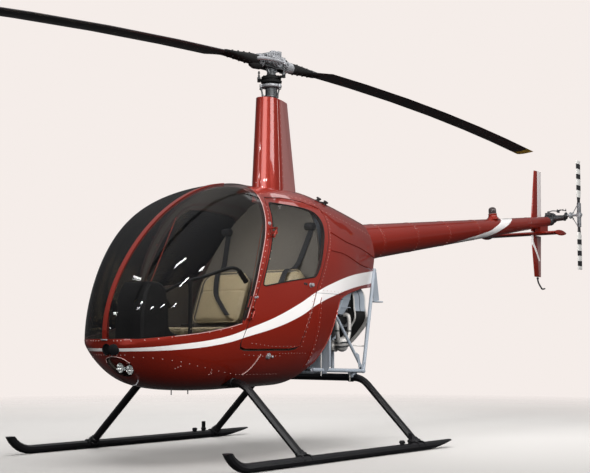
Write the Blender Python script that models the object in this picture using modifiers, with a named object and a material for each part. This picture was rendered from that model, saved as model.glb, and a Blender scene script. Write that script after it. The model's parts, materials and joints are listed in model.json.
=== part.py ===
"""Two-seat piston helicopter on skids, modelled as separate solid pieces.

Metres, +Z up. +X points aft, +Y to starboard, and the ground is z = 0. Every place below is
measured from the main rotor's axis; the whole model is then shifted by MAST_X, so that the
origin lies on the ground under the middle of the whole helicopter's box. Left and right are
the pilot's, so left is port and has negative y.
"""
import math

import bmesh
import bpy
from mathutils import Matrix, Vector

# Driving dimensions
ROTOR_RADIUS = 3.835
ROTOR_CHORD = 0.183
HUB_Z = 2.70
BLADE_AZIMUTH = math.radians(0.8)
TEETER_SLOPE = 0.0208
BLADE_DROOP = 0.0162
TAIL_HUB = (4.341, -0.303, 1.960)
TAIL_ROTOR_RADIUS = 0.533
TAIL_CHORD = 0.095
CABIN_HALF_WIDTH = 0.56
SKID_HALF_TREAD = 0.935
SKID_RADIUS = 0.0285
FRONT_STRUT_X = -0.806
REAR_STRUT_X = 0.440
TUBE_RADIUS = 0.0255
FRONT_TUBE = (FRONT_STRUT_X, 0.444, 0.475)
REAR_TUBE = (REAR_STRUT_X, 0.465, 0.480)
SKIN = 0.022
GLASS = 0.006
SEAM = 0.0003
DOOR_GAP = 0.0025

# The box runs from the forward blade's tip to the tail rotor's trailing edge
BOX_FRONT = -(ROTOR_RADIUS * math.cos(BLADE_AZIMUTH)
              + 0.75 * ROTOR_CHORD * math.sin(BLADE_AZIMUTH))
BOX_REAR = TAIL_HUB[0] + TAIL_CHORD / 2
MAST_X = -(BOX_FRONT + BOX_REAR) / 2

# Fuselage: the nose point, and the domes that its top, sides and belly follow
NOSE_X = -1.555
NOSE_Z = 0.80
TOP_DOME = {"length": 1.086, "power": 1.68, "height": 0.988}
SIDE_DOME = {"length": 1.405, "power": 2.61, "height": CABIN_HALF_WIDTH}
BELLY_DOME = {"length": 0.834, "power": 2.90, "height": 0.380}
TAIL_END_X = 0.98
TOP_AFT = [(-0.469, 1.788), (0.10, 1.800), (0.40, 1.762), (0.70, 1.706), (TAIL_END_X, 1.649)]
SIDE_AFT = [(-0.150, 0.560), (0.15, 0.500), (0.45, 0.410), (0.75, 0.300), (TAIL_END_X, 0.210)]
BELLY_AFT = [(-0.721, 0.420), (0.0, 0.435), (0.3, 0.500), (TAIL_END_X, 0.660)]
WIDEST_Z = [(NOSE_X, 0.702), (-1.0, 0.863), (-0.3, 1.0), (0.3, 1.10), (TAIL_END_X, 1.30)]
UPPER_POWER = [(NOSE_X, 1.90), (-1.0, 3.9), (-0.3, 2.1), (TAIL_END_X, 2.2)]
LOWER_POWER = [(NOSE_X, 1.20), (-1.0, 2.62), (0.0, 2.4), (TAIL_END_X, 2.2)]
HULL_STATIONS = 12
HULL_RING = 15

# Side outlines of the openings and panels, as (x, z)
SCREEN_SILL = [(-1.80, 0.744), (-1.494, 0.746), (-1.341, 0.764), (-1.196, 0.782),
               (-1.027, 0.812), (-0.892, 0.844)]
SCREEN_REAR = [(-0.861, 0.875), (-0.820, 0.986), (-0.778, 1.112), (-0.750, 1.207),
               (-0.715, 1.303), (-0.674, 1.401), (-0.640, 1.488), (-0.605, 1.580),
               (-0.560, 1.680), (-0.520, 1.750), (-0.500, 1.95), (-1.80, 1.95)]
DOOR_FRONT_TOP = (-0.530, 1.626)
DOOR_FRONT_SLOPE = 0.404
DOOR_SILL_Z = 0.675
DOOR_SILL_LIFT = 0.009
DOOR_REAR = [(-0.330, 0.700), (-0.292, 0.825), (-0.262, 0.903), (-0.223, 1.002), (-0.187, 1.101),
             (-0.114, 1.205), (-0.024, 1.312), (0.061, 1.421), (0.125, 1.533), (0.150, 1.600),
             (0.125, 1.652), (-0.035, 1.687), (-0.247, 1.695), (-0.480, 1.672)]
WINDOW = [(-0.490, 1.622), (-0.400, 1.641), (-0.218, 1.639), (-0.050, 1.628), (0.030, 1.603),
          (0.055, 1.548), (0.031, 1.475), (-0.033, 1.380), (-0.107, 1.273), (-0.175, 1.185),
          (-0.205, 1.158), (-0.250, 1.148), (-0.474, 1.117), (-0.665, 1.084), (-0.708, 1.080),
          (-0.718, 1.100), (-0.679, 1.210), (-0.625, 1.340), (-0.551, 1.510)]
BAY_EDGE = [(0.90, 1.135), (0.548, 1.105), (0.316, 1.067), (0.216, 1.042), (0.135, 1.012),
            (0.108, 0.944), (0.078, 0.876), (0.050, 0.794), (0.016, 0.707), (-0.015, 0.650),
            (-0.050, 0.580), (-0.095, 0.530), (-0.150, 0.380)]
COWL_SPLIT_Z = 1.050
ROOF_REAR_X = 0.170

# Hinges of the doors
HINGE_Y = 0.545
HINGE_ZS = (0.90, 1.42)

# Inside: the floor, and the front face of the slanted bulkhead behind the seats
FLOOR_TOP = 0.525
BULKHEAD_FOOT = (-0.385, 0.505)
BULKHEAD_SLOPE = 0.3704
SEAT_TOP = 0.735
SEAT_Y = 0.2425
SEAT_HALF_WIDTH = 0.225
SEAT_BACK_HEIGHT = 0.397
COLUMN_X = -0.815
PEDAL_X = -1.205
LAMPS = [(-1.467, -0.054, 0.574), (-1.434, -0.100, 0.563)]
LAMP_STAND_X = -1.386

# Controls on the mast above its fairing, from the fixed ring up to the turning plate
FIXED_PLATE = (2.521, 2.545)
TURNING_PLATE = (2.556, 2.604)

# Engine bay: the upright firewall, and the corners of the tube frame on the starboard side
FIREWALL_X = (0.055, 0.065)
FRAME_FOOT = (0.060, 0.400, 0.525)
FRAME_CORNER = (0.52, 0.42, 0.522)
FRAME_TOP = (0.80, 0.22, 1.22)
FRAME_RADIUS = 0.014
CYLINDER_XS = {-1: (0.305, 0.500), 1: (0.283, 0.478)}
CYLINDER_Z = 0.862
HEAD_BOTTOM = 0.790
MUFFLER = (0.425, 0.640)
DRIVE_SHAFT_Z = 1.29
SHEAVE_X = 0.596
SHEAVE_RADIUS = 0.105
FAN_X = (0.6203, 0.76)
FAN_Z = 0.93
FAN_RADIUS = 0.26

# Tail surfaces
CONE_START = 0.72
CONE_END = 4.25
CONE_WALL = 0.008
FIN_Y = 0.055
STABILIZER_Z = 1.778

PARTS = "two_seat_helicopter"
CUTTERS = "cutters"


def start_scene():
    """Empties the scene and makes the two collections."""
    for obj in list(bpy.data.objects):
        bpy.data.objects.remove(obj)
    for name in (PARTS, CUTTERS):
        collection = bpy.data.collections.new(name)
        bpy.context.scene.collection.children.link(collection)


def material(name, color, roughness, metallic=0.0, alpha=1.0):
    """A plain finish, made once and then shared."""
    found = bpy.data.materials.get(name)
    if found:
        return found
    finish = bpy.data.materials.new(name)
    finish.use_nodes = True
    shader = finish.node_tree.nodes["Principled BSDF"]
    shader.inputs["Base Color"].default_value = (*color, 1.0)
    shader.inputs["Roughness"].default_value = roughness
    shader.inputs["Metallic"].default_value = metallic
    shader.inputs["Alpha"].default_value = alpha
    finish.diffuse_color = (*color, alpha)
    return finish


def red_paint():
    return material("red_paint", (0.30, 0.018, 0.012), 0.25, 0.3)


def black_paint():
    return material("black_paint", (0.015, 0.015, 0.016), 0.4)


def grey_metal():
    return material("grey_metal", (0.35, 0.36, 0.38), 0.4, 0.8)


def grey_paint():
    return material("grey_paint", (0.30, 0.32, 0.35), 0.5)


def tinted_glass():
    return material("tinted_glass", (0.03, 0.03, 0.035), 0.05, 0.0, 0.4)


def seat_fabric():
    return material("seat_fabric", (0.22, 0.20, 0.14), 0.9)


def black_plastic():
    return material("black_plastic", (0.02, 0.02, 0.02), 0.5)


def put(name, mesh, finish, collection=PARTS):
    """Puts a mesh in the model as one object, shaded smooth apart from its edges."""
    obj = bpy.data.objects.new(name, mesh)
    bpy.data.collections[collection].objects.link(obj)
    if finish:
        mesh.materials.clear()
        mesh.materials.append(finish)
    mesh.shade_smooth()
    mesh.set_sharp_from_angle(angle=math.radians(35))
    if collection == CUTTERS:
        obj.display_type = 'WIRE'
        obj.hide_render = True
    return obj


def mesh_from(bm, name):
    """Closes a bmesh into a mesh, with its faces pointing out."""
    bmesh.ops.recalc_face_normals(bm, faces=bm.faces)
    mesh = bpy.data.meshes.new(name)
    bm.to_mesh(mesh)
    bm.free()
    return mesh


def evaluated_mesh(obj, name):
    """The mesh of an object with its modifiers done, its curve caps welded."""
    bpy.context.view_layer.update()
    graph = bpy.context.evaluated_depsgraph_get()
    mesh = bpy.data.meshes.new_from_object(obj.evaluated_get(graph))
    mesh.name = name
    bm = bmesh.new()
    bm.from_mesh(mesh)
    bmesh.ops.remove_doubles(bm, verts=bm.verts, dist=0.00002)
    bmesh.ops.dissolve_degenerate(bm, edges=bm.edges, dist=0.00002)
    bmesh.ops.recalc_face_normals(bm, faces=bm.faces)
    bm.to_mesh(mesh)
    bm.free()
    return mesh


def box(name, low, high, finish=None, collection=PARTS):
    """A box between two corners."""
    bm = bmesh.new()
    bmesh.ops.create_cube(bm, size=1.0)
    size = [b - a for a, b in zip(low, high)]
    centre = [(a + b) / 2 for a, b in zip(low, high)]
    bmesh.ops.scale(bm, vec=size, verts=bm.verts)
    bmesh.ops.translate(bm, vec=centre, verts=bm.verts)
    return put(name, mesh_from(bm, name), finish, collection)


def round_edges(obj, width, segments=2):
    modifier = obj.modifiers.new("rounded edges", 'BEVEL')
    modifier.width = width
    modifier.segments = segments
    modifier.limit_method = 'ANGLE'
    modifier.angle_limit = math.radians(40)


def rod(name, start, end, radius, finish=None, collection=PARTS, sides=16, end_radius=None):
    """A round bar, or a cone, between two points."""
    start, end = Vector(start), Vector(end)
    run = end - start
    bm = bmesh.new()
    top = radius if end_radius is None else end_radius
    bmesh.ops.create_cone(bm, cap_ends=True, segments=sides, radius1=radius, radius2=top,
                          depth=run.length)
    turn = run.to_track_quat('Z', 'Y').to_matrix().to_4x4()
    bmesh.ops.transform(bm, matrix=Matrix.Translation((start + end) / 2) @ turn, verts=bm.verts)
    return put(name, mesh_from(bm, name), finish, collection)


def tube(name, points, radius, finish=None, collection=PARTS, resolution=2):
    """A bent tube: a poly curve with a round bevel and filled caps, made a mesh."""
    curve = bpy.data.curves.new(name, 'CURVE')
    curve.dimensions = '3D'
    curve.bevel_depth = radius
    curve.bevel_resolution = resolution
    curve.use_fill_caps = True
    spline = curve.splines.new('POLY')
    spline.points.add(len(points) - 1)
    for place, point in zip(spline.points, points):
        place.co = (*point, 1.0)
    return mesh_of_curve(name, curve, finish, collection)


def mesh_of_curve(name, curve, finish, collection):
    """Turns a curve into a closed mesh object and removes the curve."""
    temporary = bpy.data.objects.new(name + " curve", curve)
    bpy.context.scene.collection.objects.link(temporary)
    mesh = evaluated_mesh(temporary, name)
    bpy.data.objects.remove(temporary)
    return put(name, mesh, finish, collection)


def plate(name, outline, low, high, finish=None, collection=PARTS, normal='Y'):
    """A flat outline given thickness: (x, z) points along Y, (x, y) along Z, (y, z) along X."""
    curve = bpy.data.curves.new(name, 'CURVE')
    curve.dimensions = '2D'
    curve.fill_mode = 'BOTH'
    curve.extrude = (high - low) / 2
    spline = curve.splines.new('POLY')
    spline.use_cyclic_u = True
    spline.points.add(len(outline) - 1)
    for place, point in zip(spline.points, outline):
        place.co = (point[0], point[1], 0.0, 1.0)
    obj = mesh_of_curve(name, curve, finish, collection)
    turns = {
        'Y': Matrix(((1, 0, 0, 0), (0, 0, 1, 0), (0, 1, 0, 0), (0, 0, 0, 1))),
        'Z': Matrix.Identity(4),
        'X': Matrix(((0, 0, 1, 0), (1, 0, 0, 0), (0, 1, 0, 0), (0, 0, 0, 1))),
    }
    shift = {'Y': (0, (low + high) / 2, 0), 'Z': (0, 0, (low + high) / 2),
             'X': ((low + high) / 2, 0, 0)}
    bm = bmesh.new()
    bm.from_mesh(obj.data)
    bmesh.ops.transform(bm, matrix=Matrix.Translation(shift[normal]) @ turns[normal],
                        verts=bm.verts)
    bmesh.ops.recalc_face_normals(bm, faces=bm.faces)
    bm.to_mesh(obj.data)
    bm.free()
    return obj


def boolean(obj, operand, operation, solver='EXACT'):
    """Cuts, keeps or joins, and stores the result in the object's own mesh."""
    modifier = obj.modifiers.new(operation.lower() + " " + operand.name, 'BOOLEAN')
    modifier.operation = operation
    modifier.solver = solver
    modifier.object = operand
    mesh = evaluated_mesh(obj, obj.name)
    obj.modifiers.clear()
    obj.data = mesh
    return obj


def cut(obj, *cutters, solver='EXACT'):
    for cutter in cutters:
        boolean(obj, cutter, 'DIFFERENCE', solver)
    return obj


def keep(obj, *volumes, solver='EXACT'):
    for volume in volumes:
        boolean(obj, volume, 'INTERSECT', solver)
    return obj


def join(obj, *others, solver='EXACT'):
    for other in others:
        boolean(obj, other, 'UNION', solver)
    return obj


def offset(outline, distance):
    """Moves a closed outline out by a distance, or in where it is negative."""
    count = len(outline)
    area = sum(outline[i][0] * outline[(i + 1) % count][1]
               - outline[(i + 1) % count][0] * outline[i][1] for i in range(count))
    side = 1 if area > 0 else -1
    moved = []
    for i in range(count):
        a, b, c = (Vector(outline[(i + k) % count]) for k in (-1, 0, 1))
        first = (b - a).normalized()
        second = (c - b).normalized()
        normal = Vector((first.y + second.y, -first.x - second.x)).normalized()
        stretch = max(0.4, normal.dot(Vector((first.y, -first.x))))
        moved.append(tuple(b + normal * side * distance / stretch))
    return moved


def along(points, x):
    """A smooth curve through points that are sorted by x: cubic, with no overshoot."""
    if x <= points[0][0]:
        return points[0][1]
    if x >= points[-1][0]:
        return points[-1][1]
    steps = [b[0] - a[0] for a, b in zip(points, points[1:])]
    slopes = [(b[1] - a[1]) / h for a, b, h in zip(points, points[1:], steps)]
    tangents = [slopes[0]]
    for before, after in zip(slopes, slopes[1:]):
        flat = before * after <= 0
        tangents.append(0.0 if flat else 2 * before * after / (before + after))
    tangents.append(slopes[-1])
    i = next(k for k in range(len(steps)) if x <= points[k + 1][0])
    t = (x - points[i][0]) / steps[i]
    rise = (2 * t**3 - 3 * t**2 + 1) * points[i][1] + (3 * t**2 - 2 * t**3) * points[i + 1][1]
    lean = (t**3 - 2 * t**2 + t) * tangents[i] + (t**3 - t**2) * tangents[i + 1]
    return rise + lean * steps[i]


def dome(shape, x):
    """How far a dome has opened at x, from 0 at the nose to its full height."""
    reach = min(1.0, max(0.0, 1.0 - (x - NOSE_X) / shape["length"]))
    return shape["height"] * (1.0 - reach ** shape["power"]) ** (1.0 / shape["power"])


def hull_section(x):
    """Top, belly, half width, height of the widest point, and the two roundness powers."""
    if x < TOP_AFT[0][0]:
        top = NOSE_Z + dome(TOP_DOME, x)
    else:
        top = along(TOP_AFT, x)
    if x < SIDE_AFT[0][0]:
        half = dome(SIDE_DOME, x)
    else:
        half = along(SIDE_AFT, x)
    if x < BELLY_AFT[0][0]:
        belly = NOSE_Z - dome(BELLY_DOME, x)
    else:
        belly = along(BELLY_AFT, x)
    margin = 0.15 * (top - belly)
    widest = min(max(along(WIDEST_Z, x), belly + margin), top - margin)
    return top, belly, half, widest, along(UPPER_POWER, x), along(LOWER_POWER, x)


def half_ring(x, inset, count):
    """Port half of a section from top to belly, as (y, z) points at even steps."""
    top, belly, half, widest, upper, lower = hull_section(x)
    half = max(0.001, half - inset)
    up = max(0.001, top - inset - widest)
    down = max(0.001, widest - belly - inset)
    dense = []
    for k in range(181):
        angle = math.radians(k)
        power, height = (upper, up) if k <= 90 else (lower, down)
        side = abs(math.sin(angle)) ** (2 / power)
        rise = abs(math.cos(angle)) ** (2 / power)
        dense.append((-half * side, widest + height * (rise if k <= 90 else -rise)))
    return even_steps(dense, count)


def even_steps(points, count):
    """Points at even distances along a line of points, its two ends kept."""
    lengths = [0.0]
    for a, b in zip(points, points[1:]):
        lengths.append(lengths[-1] + math.dist(a, b))
    picked = []
    k = 0
    for i in range(count):
        target = lengths[-1] * i / (count - 1)
        while k < len(points) - 2 and lengths[k + 1] < target:
            k += 1
        share = (target - lengths[k]) / max(1e-9, lengths[k + 1] - lengths[k])
        a, b = points[k], points[k + 1]
        picked.append((a[0] + (b[0] - a[0]) * share, a[1] + (b[1] - a[1]) * share))
    return picked


def hull_stations(inset):
    """Places of the sections along X: close together at the nose."""
    start = NOSE_X + inset
    front = [start + (-0.30 - start) * (1 - math.cos(math.radians(90 * k / HULL_STATIONS)))
             for k in range(1, HULL_STATIONS + 1)]
    aft = [-0.30 + (TAIL_END_X + 0.30) * k / 9 for k in range(1, 10)]
    return start, front + aft


def half_hull(name, inset, closed):
    """The port half of the fuselage as an open skin, or with its rear face for a volume."""
    start, stations = hull_stations(inset)
    bm = bmesh.new()
    nose = bm.verts.new((start, 0.0, NOSE_Z))
    rings = []
    for x in stations:
        ring = half_ring(x, inset, HULL_RING)
        rings.append([bm.verts.new((x, y, z)) for y, z in ring])
    for a, b in zip(rings[0], rings[0][1:]):
        bm.faces.new((nose, a, b))
    for before, after in zip(rings, rings[1:]):
        for k in range(HULL_RING - 1):
            bm.faces.new((before[k], after[k], after[k + 1], before[k + 1]))
    if closed:
        bm.faces.new(rings[-1])
    for ring in rings:
        ring[0].co.y = 0.0
        ring[-1].co.y = 0.0
    bmesh.ops.triangulate(bm, faces=bm.faces)
    return mesh_from(bm, name)


def mirrored(obj):
    modifier = obj.modifiers.new("other half", 'MIRROR')
    modifier.use_axis = (False, True, False)
    modifier.use_mirror_merge = True
    modifier.merge_threshold = 0.0001
    return obj


def hull_skin(name, thickness, finish, collection=PARTS):
    """The whole fuselage as a shell of one thickness, open at the tail end."""
    obj = put(name, half_hull(name, 0.0, False), finish, collection)
    mirrored(obj)
    shell = obj.modifiers.new("skin", 'SOLIDIFY')
    shell.thickness = thickness
    shell.offset = -1.0
    shell.use_even_offset = False
    return obj


def hull_volume(name, inset):
    """The space inside the fuselage, smaller by an inset, as a cutter."""
    obj = put(name, half_hull(name, inset, True), None, CUTTERS)
    mirrored(obj)
    return obj


def fit_inside(*pieces):
    """Trims pieces to the space inside the fuselage's skin, a seam away from it."""
    middle = hull_volume("middle of the skin", SKIN / 2)
    skin = hull_skin("skin seat", SKIN + SEAM, None, CUTTERS)
    by_door = hull_skin("door clearance", SKIN + 0.006, None, CUTTERS)
    keep(by_door, side_prism("door clearance region", door_outline(), 0.006), solver='MANIFOLD')
    for piece in pieces:
        keep(piece, middle, solver='MANIFOLD')
        cut(piece, skin, by_door, solver='MANIFOLD')


def door_outline(sill=DOOR_SILL_Z):
    """The door's outline in side view, on the middle of the gap round it."""
    top_x, top_z = DOOR_FRONT_TOP
    foot_x = top_x - DOOR_FRONT_SLOPE * (top_z - sill)
    front = [(foot_x + 0.060, sill), (foot_x + 0.022, sill + 0.012),
             (foot_x + 0.018, sill + 0.045)]
    foot = [(-0.370, sill + 0.006), (-0.420, sill)]
    return [DOOR_FRONT_TOP] + list(reversed(DOOR_REAR)) + foot + front


def screen_outline():
    return SCREEN_SILL + SCREEN_REAR


def side_prism(name, outline, margin=0.0, low=-1.0, high=1.0):
    """A cutter through the fuselage from side to side, grown by a margin."""
    shape = offset(outline, margin) if margin else outline
    return plate(name, shape, low, high, None, CUTTERS)


def fuselage():
    """The fuselage's skin, split where the real panels meet."""
    door = side_prism("door opening", door_outline(), DOOR_GAP)
    screen = side_prism("windscreen opening", screen_outline())
    bay = side_prism("engine bay opening", BAY_EDGE + [(-0.15, 0.2), (1.2, 0.2), (1.2, 1.135)])
    tub_region = [(-1.8, 0.2), (-1.8, 0.860), (-0.40, 0.860), (-0.30, COWL_SPLIT_Z),
                  (0.30, COWL_SPLIT_Z), (0.30, 0.2)]
    tub = hull_skin("cabin_tub", SKIN, red_paint())
    keep(tub, side_prism("tub region", tub_region, -SEAM / 2))
    cut(tub, screen, door, bay)
    cut(tub, tube("front tube seat", cross_tube_path(*FRONT_TUBE), TUBE_RADIUS + SEAM, None,
                  CUTTERS))
    cut(tub, lamp_window())
    roof_region = [(-0.9, 0.8602), (-0.78, 0.8602), (-0.50, 1.3), (-0.30, 1.60),
                   (ROOF_REAR_X - 0.02, 1.60), (ROOF_REAR_X - 0.02, 2.0), (-1.2, 2.0),
                   (-1.2, 0.8602)]
    roof = hull_skin("cabin_roof", SKIN, red_paint())
    keep(roof, side_prism("roof region", roof_region), solver='MANIFOLD')
    cut(roof, screen, door, solver='MANIFOLD')
    strip_region = box("strip region", (-2, -0.0197, 0.5), (0, 0.0197, 2), None, CUTTERS)
    strip = hull_skin("windscreen_bow", SKIN, red_paint())
    keep(strip, side_prism("bow region", screen_outline(), -SEAM), strip_region)
    for side, name in ((-1, "left"), (1, "right")):
        half = box("screen half " + name, (-2, min(side * 0.02, side), 0.5),
                   (0, max(side * 0.02, side), 2), None, CUTTERS)
        glass = hull_skin("windscreen_" + name, GLASS, tinted_glass())
        keep(glass, side_prism("screen region " + name, screen_outline(), -SEAM), half)
    cowls(door, bay)


def cowls(door, bay):
    """Upper and side cowlings aft of the cabin, as far as the tail cone."""
    slope = (COWL_SPLIT_Z + SEAM, ROOF_REAR_X - 0.02 + SEAM)
    region = [(-0.35, slope[0]), (0.30, slope[0]), (0.30, 0.9), (0.86, 0.9), (1.02, 1.56),
              (1.02, 2.0), (slope[1], 2.0), (slope[1], 1.60 - SEAM), (-0.35, 1.60 - SEAM)]
    top_cut = [(slope[1] - 0.01, -0.17), (1.1, -0.12), (1.1, 0.12), (slope[1] - 0.01, 0.17)]
    top_region = plate("top cowl region", top_cut, 1.3, 2.0, None, CUTTERS, 'Z')
    top_hole = plate("top cowl opening", offset(top_cut, SEAM), 1.3, 2.0, None, CUTTERS, 'Z')
    prism = side_prism("cowl region", region)
    top = hull_skin("top_cowl", SKIN, red_paint())
    keep(top, prism, top_region)
    cone = cone_seat()
    cut(top, cone)
    for side, name in ((-1, "left"), (1, "right")):
        half = box("cowl half " + name, (-1, min(0.0, side), 0.5), (2, max(0.0, side), 2),
                   None, CUTTERS)
        cowl = hull_skin("engine_cowl_" + name, SKIN, red_paint())
        keep(cowl, prism, half)
        cut(cowl, door, bay, top_hole, cone)


def lamp_window():
    """The opening in the nose for the landing lamps."""
    return box("lamp opening", (-1.62, -0.125, 0.530), (-1.30, 0.018, 0.612), None, CUTTERS)


def doors():
    """Both doors with their windows. Each hangs on two hinges along its front edge.

    The slanted hinge line lowers the front corner as a door opens, so its sill is lifted.
    """
    inner = offset(door_outline(DOOR_SILL_Z + DOOR_SILL_LIFT), -DOOR_GAP)
    for side, name in ((-1, "left"), (1, "right")):
        low, high = (-1.0, -0.1) if side < 0 else (0.1, 1.0)
        door = hull_skin("door_" + name, SKIN, red_paint())
        keep(door, side_prism("door region " + name, inner, 0.0, low, high))
        cut(door, side_prism("window opening " + name, WINDOW, 0.0, low, high))
        window = hull_skin("door_window_" + name, GLASS, tinted_glass())
        keep(window, side_prism("window region " + name, WINDOW, -SEAM, low, high))
        for level, z in enumerate(HINGE_ZS):
            hang(door, name, side, level, z)
        carry(place_empty("door_%s_axis" % name, hinge_point(1.1, side)), door, window)


def hinge_point(z, side):
    """A point of a door's hinge axis at height z."""
    return Vector((DOOR_FRONT_TOP[0] - DOOR_FRONT_SLOPE * (DOOR_FRONT_TOP[1] - z),
                   side * HINGE_Y, z))


def hang(door, name, side, level, z):
    """One hinge: a knuckle on the door between a bracket's two pins on the post."""
    centre = hinge_point(z, side)
    upward = (hinge_point(z + 0.02, side) - centre).normalized()
    tag = " %s %d" % (name, level)
    knuckle = rod("door knuckle" + tag, centre - upward * 0.020, centre + upward * 0.020, 0.007,
                  None, CUTTERS, 12)
    strap = side_box("door strap" + tag, centre, side, (-0.002, 0.013), (-0.003, 0.005), 0.008)
    leaf = side_box("door leaf" + tag, centre, side, (0.009, 0.015), (-0.060, 0.006), 0.010)
    join(door, leaf, strap, knuckle, solver='MANIFOLD')
    post = bpy.data.objects["cabin_roof"]
    for way in (-1, 1):
        end = centre + upward * way * 0.021
        pin = rod("post pin" + tag, end, end + upward * way * 0.015, 0.007, None, CUTTERS, 12)
        middle = centre + upward * way * 0.031
        arm = side_box("post arm" + tag, middle, side, (-0.022, 0.0), (-0.004, 0.006), 0.005)
        foot = side_box("post foot" + tag, middle, side, (-0.022, -0.010), (-0.060, 0.006), 0.005)
        join(post, foot, arm, pin, solver='MANIFOLD')


def side_box(name, centre, side, run, reach, half_height):
    """A small box by a hinge: run along X, reach outboard of the hinge's axis."""
    ys = [centre.y + side * reach[0], centre.y + side * reach[1]]
    return box(name, (centre.x + run[0], min(ys), centre.z - half_height),
               (centre.x + run[1], max(ys), centre.z + half_height), None, CUTTERS)


def place_empty(name, point):
    """An empty on a joint's axis, or at the model's origin."""
    empty = bpy.data.objects.new(name, None)
    empty.location = point
    bpy.data.collections[PARTS].objects.link(empty)
    return empty


def carry(empty, *pieces):
    """Hangs pieces on an empty without moving them."""
    bpy.context.view_layer.update()
    for piece in pieces:
        piece.parent = empty
        piece.matrix_parent_inverse = empty.matrix_world.inverted()


def bulkhead_x(z):
    """Front face of the slanted bulkhead behind the seats, at height z."""
    return BULKHEAD_FOOT[0] + BULKHEAD_SLOPE * (z - BULKHEAD_FOOT[1])


def cabin():
    """Floor, bulkhead and seats."""
    low, top, thick = BULKHEAD_FOOT[1], 1.72, 0.020
    floor = box("cabin_floor", (-1.42, -0.6, FLOOR_TOP - 0.020), (-0.40, 0.6, FLOOR_TOP),
                black_plastic())
    bulkhead = plate("cabin_bulkhead", [(bulkhead_x(low), low), (bulkhead_x(low) + thick, low),
                                        (bulkhead_x(top) + thick, top), (bulkhead_x(top), top)],
                     -0.6, 0.6, grey_paint())
    foot, edge = FLOOR_TOP + SEAM, SEAT_TOP
    base = plate("seat_base", [(-0.86, foot), (-0.84, edge), (bulkhead_x(edge) - SEAM, edge),
                               (bulkhead_x(foot) - SEAM, foot)], -0.50, 0.50, seat_fabric())
    fit_inside(floor, bulkhead, base)
    for side, name in ((-1, "left"), (1, "right")):
        seat(name, side * SEAT_Y)


def seat(name, y):
    """A cushion on the seat base, and a backrest with a rounded top on the bulkhead."""
    cushion_top, thick = SEAT_TOP + 0.090, 0.070
    cushion = box("seat_cushion_" + name, (-0.87, y - SEAT_HALF_WIDTH, SEAT_TOP + SEAM),
                  (-0.325, y + SEAT_HALF_WIDTH, cushion_top), seat_fabric())
    round_edges(cushion, 0.02)
    low = cushion_top + 0.003
    back = plate("seat_back_" + name, arched(SEAT_HALF_WIDTH, SEAT_BACK_HEIGHT, 0.095), -thick,
                 0.0, seat_fabric(), PARTS, 'X')
    lean = Matrix.Rotation(math.atan(BULKHEAD_SLOPE), 4, 'Y')
    back.data.transform(Matrix.Translation((bulkhead_x(low) - SEAM, y, low)) @ lean)
    round_edges(back, 0.02)


def arched(half_width, height, radius):
    """A rectangle standing on y = 0, its two upper corners rounded."""
    line = [(-half_width, 0.0), (half_width, 0.0)]
    for side, start in ((1, 0), (-1, 90)):
        for k in range(5):
            angle = math.radians(start + 22.5 * k)
            line.append((side * (half_width - radius) + radius * math.cos(angle),
                         height - radius + radius * math.sin(angle)))
    return line


def controls():
    """Console, T-bar cyclic, pedals, and the landing lamps on their stand by the nose."""
    console = plate("instrument_console", [(-1.34, 0.5253), (-1.37, 0.80), (-1.35, 1.02),
                                           (-1.27, 1.10), (-1.16, 1.08), (-1.12, 0.84),
                                           (-1.00, 0.78), (-0.98, 0.5253)], -0.13, 0.13,
                    black_plastic())
    fit_inside(console)
    stick = rod("cyclic_control", (COLUMN_X, 0.0, SEAT_TOP + SEAM), (COLUMN_X, 0.0, 1.135), 0.0135,
                black_plastic(), sides=12)
    bar = tube("cyclic bar", [(-0.665, -0.340, 1.118), (-0.725, -0.338, 1.176),
                              (-0.765, -0.280, 1.194), (-0.800, -0.120, 1.149),
                              (COLUMN_X, 0.0, 1.125), (-0.800, 0.120, 1.101),
                              (-0.765, 0.280, 1.056), (-0.725, 0.338, 1.030),
                              (-0.665, 0.340, 0.972)], 0.013, None, CUTTERS)
    join(stick, bar)
    for side, name in ((-1, "left"), (1, "right")):
        pedals("pedals_" + name, side)
    landing_lamps()


def pedals(name, side):
    """Two pedals on posts from the floor, joined by their shaft."""
    ys = [side * 0.163, side * 0.234]
    shaft = rod(name, (PEDAL_X, ys[0], 0.575), (PEDAL_X, ys[1], 0.575), 0.009, black_plastic(),
                sides=10)
    for number, y in enumerate(ys):
        foot = box("pedal foot %d" % number, (PEDAL_X + 0.008, y - 0.010, FLOOR_TOP + SEAM),
                   (PEDAL_X + 0.036, y + 0.010, FLOOR_TOP + 0.014), None, CUTTERS)
        post = rod("pedal post %d" % number, (PEDAL_X + 0.02, y, FLOOR_TOP + 0.008),
                   (PEDAL_X - 0.012, y, 0.66), 0.008, None, CUTTERS, 8)
        pad = box("pedal pad %d" % number, (PEDAL_X - 0.020, y - 0.028, 0.610),
                  (PEDAL_X - 0.004, y + 0.028, 0.695), None, CUTTERS)
        join(shaft, foot, post, pad)


def landing_lamps():
    """Two lamps looking out of the nose, on a plate that stands on the floor."""
    stand = box("landing_lamps", (LAMP_STAND_X, -0.125, FLOOR_TOP + SEAM),
                (LAMP_STAND_X + 0.010, -0.030, 0.600), grey_metal())
    fit_inside(stand)
    for number, (x, y, z) in enumerate(LAMPS):
        join(stand, rod("lamp %d" % number, (LAMP_STAND_X + 0.005, y, z), (x, y, z), 0.014, None,
                        CUTTERS, 16, 0.021))


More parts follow.
